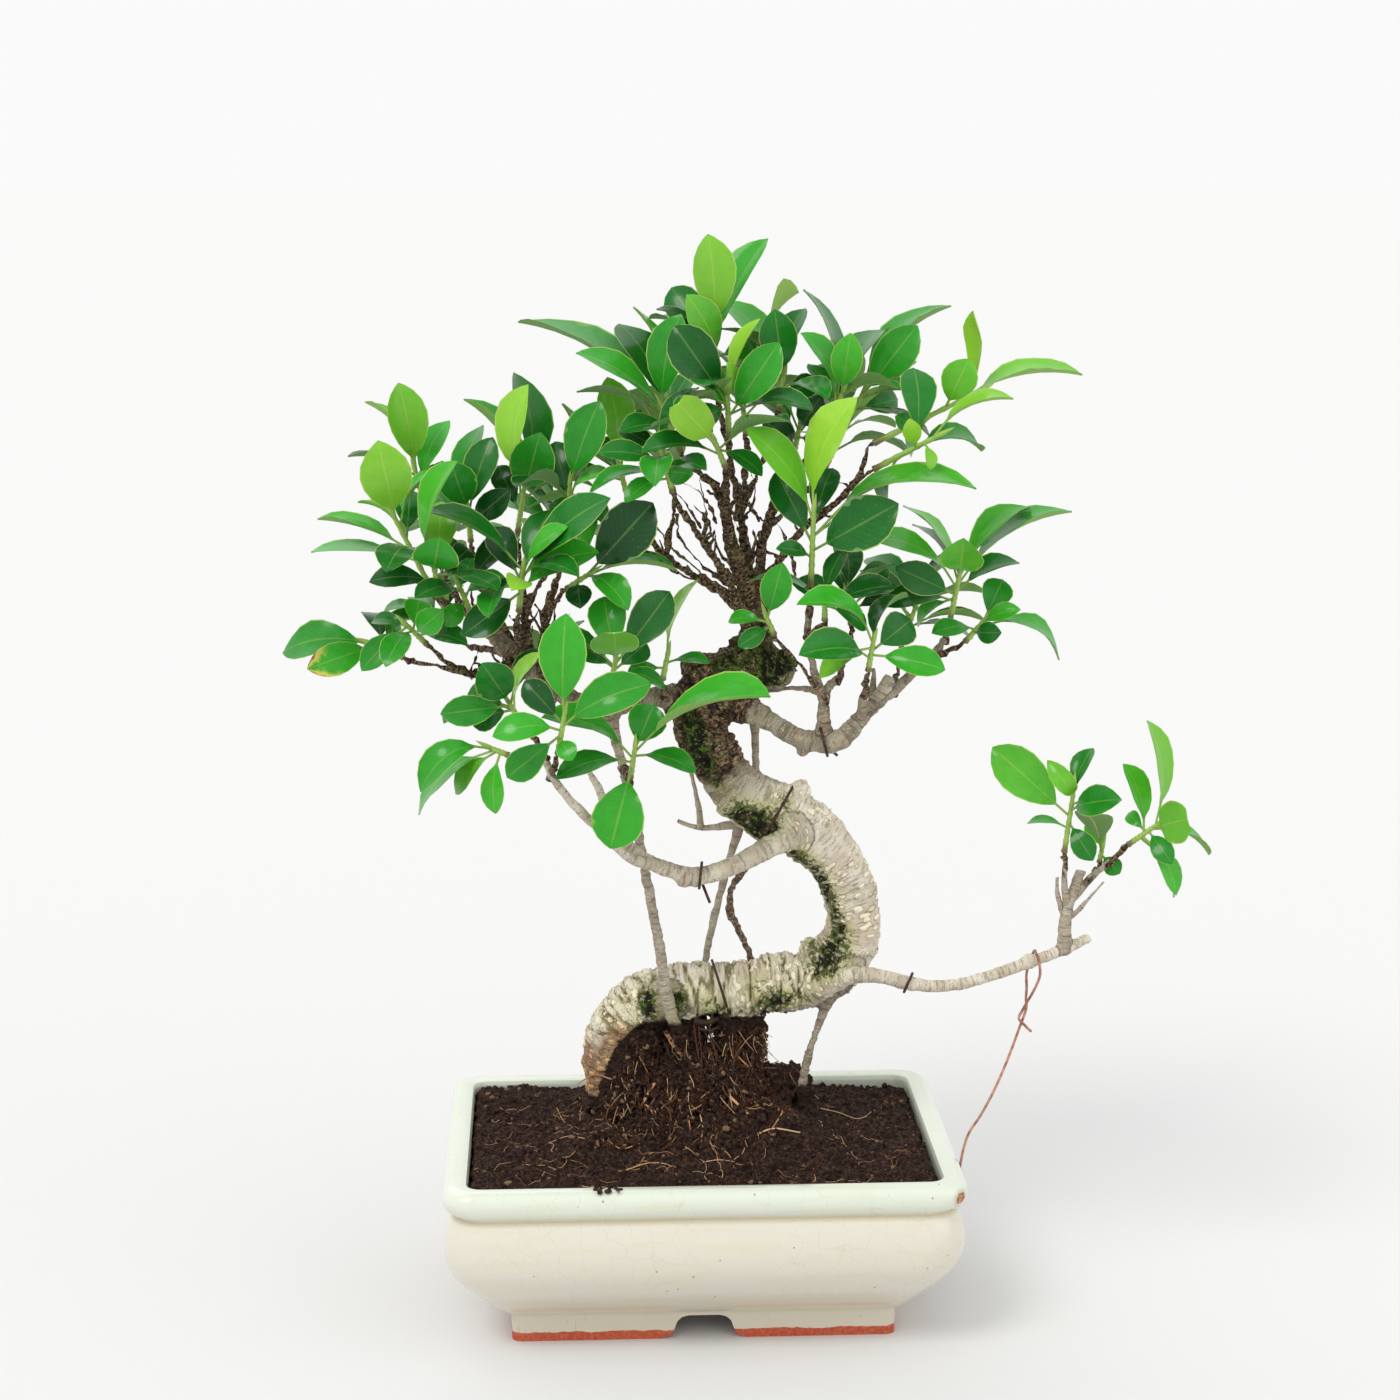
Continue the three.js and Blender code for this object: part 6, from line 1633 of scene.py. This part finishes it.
def add_soil(sizes):
    """The soil's own solid with a finer, crumbly skin, then its crumbs and root fibres."""
    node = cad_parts["soil"]
    soil = node.copy()
    soil.data = node.data.copy()
    soil.parent = None
    for key in list(soil.keys()):
        del soil[key]
    bpy.context.collection.objects.link(soil)
    select_only(soil)
    weld(0.01)
    soil = made("soil_mass")
    modified(soil, "REMESH", mode="VOXEL", voxel_size=sizes.voxel)
    modified(soil, "SMOOTH", factor=0.5, iterations=6)
    mesh = soil.data
    moved = []
    for world, vertex in zip(vertex_rows(mesh, "co"), mesh.vertices):
        place = (Vector(world) - POT_PLACE) / MM
        coarse = noise.noise(place * 0.14)
        crumb = noise.noise(place * 0.45)
        fine = noise.noise(place * 1.0)
        ball = steadily(84, 92, place.z)
        rise = (1.3 + 1.4 * ball) * coarse + (1.9 + 1.6 * ball) * crumb + (1.1 + 0.5 * ball) * fine
        rise -= BULB_HOLLOW * ball * steadily(-22, -33, place.x)
        moved.append(Vector(world) + vertex.normal * rise * steadily(64, 69, place.z) * MM)
    set_places(mesh, moved)
    tree = surface_tree(mesh)
    wood_tree = surface_tree(bpy.data.objects["tree_wood"].data)
    finished(soil, "soil", ["soil"], soil_finish(sizes), smooth=80)
    clinging = clinging_places((tree, wood_tree), sizes.clinging)
    add_crumbs(sizes, tree, clinging)
    add_fibres(sizes, tree, wood_tree, clinging)


def first_hit(trees, start, direction):
    """The nearest place on any of the surfaces, in the pot's millimetres, and its normal."""
    hits = [tree.ray_cast(to_frame(start), direction) for tree in trees]
    hits = [hit for hit in hits if hit[0] is not None]
    if not hits:
        return None
    place, normal, _, _ = min(hits, key=lambda hit: hit[3])
    return (place - POT_PLACE) / MM, normal


def clinging_places(trees, count):
    """Places all round the root ball where soil and fine roots cling: (place, normal) pairs."""
    chance = random.Random(CLINGING_SEED)
    found = []
    for _ in range(count):
        angle = chance.uniform(0, 2 * math.pi)
        height = chance.uniform(80, 124)
        aside = chance.uniform(-34, 34)
        away = Vector((math.cos(angle), math.sin(angle), 0))
        start = Vector((-6, 0, height)) + away * 120 + Vector((-away.y, away.x, 0)) * aside
        hit = first_hit(trees, start, -away)
        if hit is None:
            continue
        place, normal = hit
        bare_bulb = place.x < -24 and place.z > soil_line(place.x) + chance.uniform(-6, 2)
        if place.z < 124 and not bare_bulb and -46 < place.x < 32 and abs(place.y) < 40:
            found.append((place, normal))
    return found


def add_crumbs(sizes, tree, clinging):
    """Loose crumbs of soil, some of them on the root ball and a few on the rim."""
    bpy.ops.mesh.primitive_ico_sphere_add(subdivisions=1, radius=1)
    template = made("crumb_template")
    corners = [vertex.co.copy() for vertex in template.data.vertices]
    chance = random.Random(CRUMB_SEED)
    shapes = []
    half_width = POT_WIDTH / 2 - RIM_THICKNESS - 2
    half_depth = POT_DEPTH / 2 - RIM_THICKNESS - 2
    while len(shapes) < sizes.crumbs:
        place = ground(tree, chance.uniform(-half_width, half_width), chance.uniform(-half_depth, half_depth))
        if place is None:
            continue
        shapes.append(crumb_shape(place, chance.choice((0.5, 0.6, 0.8, 1.0, 1.5)), corners, chance))
    for place, normal in clinging:
        shapes.append(crumb_shape(place + normal * 0.5, chance.uniform(0.5, 1.4), corners, chance))
    spill_x, spill_y = RIM_SPILL
    for _ in range(RIM_CRUMBS):
        place = Vector((spill_x + chance.uniform(-6, 6), spill_y - chance.uniform(0, 6.5), POT_HEIGHT + 0.5))
        shapes.append(crumb_shape(place, chance.uniform(0.7, 1.7), corners, chance))
    crumbs = repeated("soil_crumbs", template.data, shapes)
    give(crumbs.data, "tone", np.repeat([chance.random() for _ in shapes], len(corners)))
    bpy.data.objects.remove(template)
    finished(crumbs, "soil", [], soil_finish(sizes), smooth=25)


def crumb_shape(place, size, corners, chance):
    """The places of a ragged crumb's corners, in the frame's metres."""
    stretch = Vector([chance.uniform(0.6, 1.4) for _ in range(3)]) * size
    twist = chance.uniform(0, math.pi)
    shape = []
    for corner in corners:
        jag = chance.uniform(0.75, 1.2)
        x, y, z = corner.x * stretch.x * jag, corner.y * stretch.y * jag, corner.z * stretch.z * jag * 0.8
        cosine, sine = math.cos(twist), math.sin(twist)
        shape.append(to_frame(place + Vector((x * cosine - y * sine, x * sine + y * cosine, z))))
    return np.array(shape)


def add_fibres(sizes, tree, wood_tree, clinging):
    """Root fibres that lie on the soil, cling to the root ball and hang from it."""
    chance = random.Random(FIBRE_SEED)
    routes = []
    tints = []
    while len(routes) < sizes.fibres:
        route = lying_fibre(tree, chance)
        if route:
            routes.append(route)
            tints.append(chance.random() ** 1.8)
    for place, normal in clinging[:: max(len(clinging) // sizes.hairs, 1)]:
        down = Vector((chance.uniform(-0.7, 0.7), chance.uniform(-0.7, 0.7), -1))
        length = chance.uniform(2, 6)
        radius = chance.uniform(0.08, 0.24)
        route = [(place - normal * 0.5, radius)]
        out = place + normal * chance.uniform(0.3, 1.2)
        for step in range(3):
            route.append((out, radius * (1 - 0.2 * step)))
            down = (down + strayed(chance, 0.5) + normal * 0.15).normalized()
            out = out + down * length
        routes.append(route)
        tints.append(chance.choice((0.1, 0.3, 0.45, 0.8, 1)))
    for places, radius, tint in ROOTS_AS_SEEN:
        route = root_route((tree, wood_tree), places)
        count = len(route) - 1
        routes.append([(place, radius * (1 - 0.4 * i / count)) for i, place in enumerate(route)])
        tints.append(tint)
    for route in hanging_roots(tree, chance):
        routes.append(route)
        tints.append(chance.uniform(0, 0.3))
    routes = [smooth_route(route, 1.3) for route in routes]
    fibres = bars("root_fibres", routes, 4)
    marks = [(place, tint) for route, tint in zip(routes, tints) for place, _ in route]
    near = place_tree([to_frame(place) for place, _ in marks])
    give(fibres.data, "tint", [marks[near.find(vertex.co)[1]][1] for vertex in fibres.data.vertices])
    finished(fibres, "soil", [], fibre_finish(sizes), smooth=60)


def lying_fibre(tree, chance):
    """A thin root that winds over the soil, or None where it would leave it or climb a steep step."""
    near_ball = chance.random() < 0.45
    x = chance.gauss(-2, 26) if near_ball else chance.uniform(-94, 94)
    y = chance.gauss(-16, 18) if near_ball else chance.uniform(-64, 64)
    heading = chance.uniform(0, 2 * math.pi)
    stride = chance.uniform(1.2, 2.8)
    radius = chance.uniform(0.08, 0.22)
    route = []
    for step in range(chance.randrange(4, 10)):
        place = ground(tree, x, y) if abs(x) < 96 and abs(y) < 66 else None
        if place is None or (route and abs(place.z - route[-1][0].z) > 3):
            break
        route.append((place + Vector((0, 0, chance.uniform(0.1, 0.7))), radius * (1 - 0.06 * step)))
        heading += chance.uniform(-0.6, 0.6)
        x += stride * math.cos(heading)
        y += stride * math.sin(heading)
    return route if len(route) >= 4 else None


def root_route(trees, places):
    """The places, as seen from EYE, on the soil or roots there, or in the open as deep as the one before."""
    route = []
    depth = 0
    for x, z in places:
        sight = (Vector((x, 0, z)) - EYE).normalized()
        hit = first_hit(trees, EYE, sight)
        if hit is None or hit[0].y > 40:
            route.append(seen(x, z, depth))
        else:
            route.append(hit[0] - sight * 0.5)
            depth = hit[0].y
    return route


def hanging_roots(tree, chance):
    """Fine roots from under the trunk down to the soil."""
    roots = []
    for _ in range(HANGING_ROOTS):
        x = chance.uniform(-30, 24)
        y = chance.uniform(-14, 12)
        top = Vector((x, y, chance.uniform(112, 126)))
        foot = ground(tree, x + chance.uniform(-6, 6), y - chance.uniform(0, 12))
        if foot is None or foot.z > top.z - 4:
            continue
        middle = top.lerp(foot, 0.5) + strayed(chance, 2)
        radius = chance.uniform(0.15, 0.4)
        roots.append([(top, radius), (middle, radius * 0.9), (foot, radius * 0.6)])
    return roots


# Pot


def rounded_ring(inset, radius, z, corner_steps=CORNER_STEPS):
    """The pot's outline drawn in by inset, as places in the frame's metres."""
    half_width = POT_WIDTH / 2 - inset - radius
    half_depth = POT_DEPTH / 2 - inset - radius
    ring = []
    for corner, (sign_x, sign_y) in enumerate(((1, 1), (-1, 1), (-1, -1), (1, -1))):
        for i in range(corner_steps + 1):
            angle = math.pi / 2 * (corner + i / corner_steps)
            x = sign_x * half_width + radius * math.cos(angle)
            y = sign_y * half_depth + radius * math.sin(angle)
            ring.append(to_frame((x, y, z)))
    return ring


def foot_opening(name, half_opening, half_length, along_x):
    """The arched opening between two feet, as a bar right through under the pot."""
    half = [
        (half_opening, -3), (half_opening, 0), (half_opening - 3.6, 1), (half_opening - 5.2, 2.8),
        (half_opening - 6, 5), (half_opening - 7, 7.8), (half_opening - 9, 9.7),
        (half_opening - 12, ARCH_HEIGHT),
    ]
    outline_places = half + [(-x, z) for x, z in reversed(half)]
    rings = []
    for end in (-half_length, half_length):
        ring = [(end, x, z) if along_x else (x, end, z) for x, z in outline_places]
        rings.append([to_frame(place) for place in ring])
    return lofted(name, rings)


def add_pot(sizes):
    """The pot: its outside and inside in one skin, less the underside, arches, drain holes and chip."""
    steps = smooth_route([(Vector(step), 0) for step in POT_PROFILE], 1.6)
    profile = [tuple(place) for place, _ in steps]
    pot = lofted("pot_body", [rounded_ring(*step) for step in profile])
    hollow_inset = FOOT_INSET + FOOT_THICKNESS
    cutters = [
        lofted("underside", [rounded_ring(hollow_inset, 3, z, 3) for z in (-2, FOOT_HEIGHT)]),
        foot_opening("front_arch", FRONT_OPENING / 2, POT_DEPTH / 2, False),
        foot_opening("side_arch", SIDE_OPENING / 2, POT_WIDTH / 2, True),
    ]
    for x in (-DRAIN_OFFSET, DRAIN_OFFSET):
        bpy.ops.mesh.primitive_cylinder_add(
            vertices=32,
            radius=DRAIN_RADIUS * MM,
            depth=20 * MM,
            location=to_frame((x, 0, FOOT_HEIGHT + FLOOR_THICKNESS / 2)),
        )
        bpy.ops.object.transform_apply(location=True, rotation=True, scale=True)
        cutters.append(made("drain"))
    cutters.append(sphere("chip", CHIP, CHIP_RADIUS))
    for cutter in cutters:
        cut(pot, cutter)
    finished(pot, "glazed_pot", ["pot"], pot_finish(sizes), smooth=32)


def add_screens():
    """The screens keep their solids and get their finish."""
    look = screen_finish()
    for name in ("drain_screen_left", "drain_screen_right"):
        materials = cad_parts[name].data.materials
        materials.clear()
        materials.append(look)


# Wires


def ring_route(middle, limb_radius, lean, start, end, tail):
    """An open ring of wire round a limb, as the part's solids have it, with more steps."""
    radius = limb_radius + WIRE_RADIUS + CLEARANCE
    x, z, depth = middle
    steps = round((end - start) / RING_STEP)
    route = []
    for i in range(steps + 1):
        angle = math.radians(start + (end - start) * i / steps)
        rise = radius * math.cos(angle)
        place = seen(x + rise * math.sin(lean), z + rise * math.cos(lean), depth - radius * math.sin(angle))
        route.append((place, THIN_WIRE_RADIUS))
    return route + [(seen(*place), THIN_WIRE_RADIUS) for place in tail]


def add_wires(sizes):
    """The ring wires and the copper tie, thinner and smoother than their solids."""
    old_wire = old_wire_finish(sizes)
    for name, settings in RING_WIRES.items():
        wire = bars(name + "_strand", [smooth_route(ring_route(*settings), 1.2)], 10)
        finished(wire, "training_wire", [name], old_wire, smooth=60)
    route = [seen(*place) for place in TIE_AS_SEEN] + [Vector(place) for place in TIE_AS_IT_LIES]
    tie = bars("tie_strand", [smooth_route([(place, 0.8 * TIE_RADIUS) for place in route], 1.2)], 10)
    finished(tie, "copper", ["tie_wire"], copper_finish(sizes), smooth=60)


# Stage


def add_sun(name, place, strength, width, colour):
    """Adds a sun lamp that shines from a place on the tree's middle, `width` degrees wide."""
    bpy.ops.object.light_add(type="SUN", location=place)
    light = bpy.context.object
    light.name = name
    light.data.energy = strength
    light.data.color = colour
    light.data.angle = math.radians(width)
    direction = TREE_MIDDLE - light.location
    light.rotation_euler = direction.to_track_quat("-Z", "Y").to_euler()


def add_stage(sizes):
    """The camera, a plain floor, an even sky and three lamps."""
    bpy.context.scene.view_settings.view_transform = "Standard"
    bpy.ops.object.camera_add(location=EYE * MM + POT_PLACE)
    camera = bpy.context.object
    camera.rotation_euler = (math.radians(90 - EYE_DROP), 0, math.radians(-EYE_TURN))
    camera.data.sensor_width = SENSOR_WIDTH
    camera.data.lens = SENSOR_WIDTH * FOCAL_PIXELS / IMAGE_PIXELS
    camera.data.clip_start = 0.05
    bpy.context.scene.camera = camera
    bpy.ops.mesh.primitive_plane_add(size=sizes.floor_width)
    floor = made("studio_floor")
    floor.data.materials.append(floor_finish(sizes))
    world = bpy.data.worlds.new("studio_light")
    world.use_nodes = True
    sky = world.node_tree.nodes["Background"]
    sky.inputs["Color"].default_value = (*sizes.sky, 1)
    sky.inputs["Strength"].default_value = sizes.sky_strength
    bpy.context.scene.world = world
    add_sun("key_light", (-1.0, -1.1, 2.0), sizes.key_strength, 24, (1, 0.985, 0.96))
    add_sun("side_light", (1.5, -0.9, 1.1), sizes.side_strength, 50, (0.97, 0.985, 1))
    add_sun("back_light", (-0.5, 1.3, 1.6), sizes.side_strength, 50, (1, 1, 1))


# Settings, operators and panel


def colour_property(name, description, *shades):
    """A colour setting whose default is given in display values."""
    options = {"subtype": "COLOR", "size": 3, "min": 0, "max": 1, "default": rgb(*shades)}
    return bpy.props.FloatVectorProperty(name=name, description=description, **options)


def number_property(name, description, default, **options):
    """The setting of a whole number where the default is one, or else of any number."""
    kind = bpy.props.IntProperty if isinstance(default, int) else bpy.props.FloatProperty
    return kind(name=name, description=description, default=default, **options)


class BonsaiPotSettings(bpy.types.PropertyGroup):
    """Sizes and colours of the pot."""

    body: colour_property("Glaze", "Cream glaze of the belly and feet", 217, 212, 197)
    rim: colour_property("Rim glaze", "Thicker, greener glaze of the rim", 217, 224, 208)
    clay: colour_property("Clay", "Bare clay under the feet", 184, 68, 46)
    craze: number_property("Craze size", "Width of a cell of the crazed glaze, in mm", 9.0, min=2, max=30)
    bare_foot: number_property("Bare foot", "Height to which the feet are bare clay", 0.004, unit="LENGTH")


class BonsaiWoodSettings(bpy.types.PropertyGroup):
    """Sizes and colours of the trunk, limbs and twigs."""

    bark_light: colour_property("Light bark", "Bark of the open trunk", 236, 226, 211)
    bark_dark: colour_property("Dark bark", "Bark between the pale patches", 206, 193, 172)
    wart: colour_property("Warts", "Cream breathing pores across the bark", 246, 236, 208)
    moss: colour_property("Moss", "Moss and algae in the bends", 54, 72, 26)
    voxel: number_property("Grid", "Fineness of the wood's skin", 0.00095, min=0.0008, unit="LENGTH")
    relief: number_property("Relief", "Share of the bark's relief", 1.0, min=0)
    dry_twigs: number_property("Dry twigs", "Bare crown twigs", 46, min=0)


class BonsaiLeafSettings(bpy.types.PropertyGroup):
    """Colours and gloss of the leaves."""

    dark: colour_property("Dark", "Oldest leaves", 4, 68, 20)
    mature: colour_property("Mature", "Full-grown leaves", 22, 122, 28)
    fresh: colour_property("Fresh", "Leaves of this season", 54, 168, 34)
    young: colour_property("Young", "Leaves that have just opened", 120, 188, 50)
    lime: colour_property("Lime", "Youngest leaves", 162, 214, 62)
    underside: colour_property("Underside", "Backs of the full-grown leaves", 112, 152, 92)
    gloss: number_property("Roughness", "A blade's roughness", 0.3, min=0.05)


class BonsaiSoilSettings(bpy.types.PropertyGroup):
    """Sizes and colours of the soil and the root fibres in it."""

    soil: colour_property("Soil", "Damp soil", 46, 34, 31)
    root: colour_property("Root", "Fresh root fibres", 190, 138, 90)
    voxel: number_property("Grid", "Fineness of the soil's skin", 0.0013, min=0.001, unit="LENGTH")
    crumbs: number_property("Crumbs", "Loose crumbs on the soil", 2600, min=0)
    clinging: number_property("Clinging", "Root ball crumbs", 5600, min=1)
    hairs: number_property("Hairs", "Fine roots on the root ball", 640, min=1)
    fibres: number_property("Fibres", "Root fibres on the soil", 420, min=0)


class BonsaiWireSettings(bpy.types.PropertyGroup):
    """Colours of the wires."""

    copper: colour_property("Copper", "Tie wire", 196, 142, 118)
    old_wire: colour_property("Old wire", "Ring wires in the bark", 58, 42, 34)


class BonsaiStageSettings(bpy.types.PropertyGroup):
    """Floor and light."""

    floor: colour_property("Floor", "Studio floor", 221, 221, 221)
    sky: colour_property("Sky", "Light from all round", 255, 255, 255)
    sky_strength: number_property("Sky", "Strength of the sky", 0.955)
    key_strength: number_property("Key light", "Main sun's strength", 1.1)
    side_strength: number_property("Side lights", "Strength of the side and back lamps", 0.3)
    floor_width: number_property("Floor", "Its width", 40.0, unit="LENGTH")


SETTINGS = {
    "bonsai_pot": BonsaiPotSettings,
    "bonsai_wood": BonsaiWoodSettings,
    "bonsai_leaf": BonsaiLeafSettings,
    "bonsai_soil": BonsaiSoilSettings,
    "bonsai_wire": BonsaiWireSettings,
    "bonsai_stage": BonsaiStageSettings,
}


class BONSAI_OT_stage(bpy.types.Operator):
    """Adds the camera, the floor and the lights"""

    bl_idname = "bonsai.stage"
    bl_label = "Add Stage"

    def execute(self, context):
        add_stage(context.scene.bonsai_stage)
        return {"FINISHED"}


class BONSAI_OT_pot(bpy.types.Operator):
    """Adds the glazed pot and gives the drain screens their finish"""

    bl_idname = "bonsai.pot"
    bl_label = "Add Pot"

    def execute(self, context):
        add_pot(context.scene.bonsai_pot)
        add_screens()
        return {"FINISHED"}


class BONSAI_OT_wood(bpy.types.Operator):
    """Adds the roots, trunk, limbs and twigs"""

    bl_idname = "bonsai.wood"
    bl_label = "Add Wood"

    def execute(self, context):
        add_wood(context.scene.bonsai_wood)
        return {"FINISHED"}


class BONSAI_OT_soil(bpy.types.Operator):
    """Adds the soil, and its crumbs and root fibres, which also cling to the wood"""

    bl_idname = "bonsai.soil"
    bl_label = "Add Soil"

    def execute(self, context):
        add_soil(context.scene.bonsai_soil)
        return {"FINISHED"}


class BONSAI_OT_leaves(bpy.types.Operator):
    """Adds each green shoot with its leaves"""

    bl_idname = "bonsai.leaves"
    bl_label = "Add Leaves"

    def execute(self, context):
        add_leaves(context.scene.bonsai_leaf)
        return {"FINISHED"}


class BONSAI_OT_wires(bpy.types.Operator):
    """Adds the ring wires and the copper tie"""

    bl_idname = "bonsai.wires"
    bl_label = "Add Wires"

    def execute(self, context):
        add_wires(context.scene.bonsai_wire)
        return {"FINISHED"}


OPERATORS = (
    BONSAI_OT_stage,
    BONSAI_OT_pot,
    BONSAI_OT_wood,
    BONSAI_OT_soil,
    BONSAI_OT_leaves,
    BONSAI_OT_wires,
)


class BONSAI_PT_panel(bpy.types.Panel):
    """Lists the bonsai's sizes, colours and operators"""

    bl_idname = "BONSAI_PT_panel"
    bl_label = "Bonsai"
    bl_space_type = "VIEW_3D"
    bl_region_type = "UI"
    bl_category = "Bonsai"

    def draw(self, context):
        for name, settings in SETTINGS.items():
            box = self.layout.box()
            for property_name in settings.__annotations__:
                box.prop(getattr(context.scene, name), property_name)
        for operator in OPERATORS:
            self.layout.operator(operator.bl_idname)


def register():
    """Registers the settings, operators and panel."""
    for part in (*SETTINGS.values(), *OPERATORS, BONSAI_PT_panel):
        bpy.utils.register_class(part)
    for name, settings in SETTINGS.items():
        setattr(bpy.types.Scene, name, bpy.props.PointerProperty(type=settings))


def unregister():
    """Takes all of that back."""
    for name in SETTINGS:
        delattr(bpy.types.Scene, name)
    for part in reversed((*SETTINGS.values(), *OPERATORS, BONSAI_PT_panel)):
        bpy.utils.unregister_class(part)


def main():
    """Builds the scene."""
    register()
    bpy.ops.bonsai.stage()
    bpy.ops.bonsai.pot()
    bpy.ops.bonsai.wood()
    bpy.ops.bonsai.soil()
    bpy.ops.bonsai.leaves()
    bpy.ops.bonsai.wires()


if __name__ == "__main__":
    main()
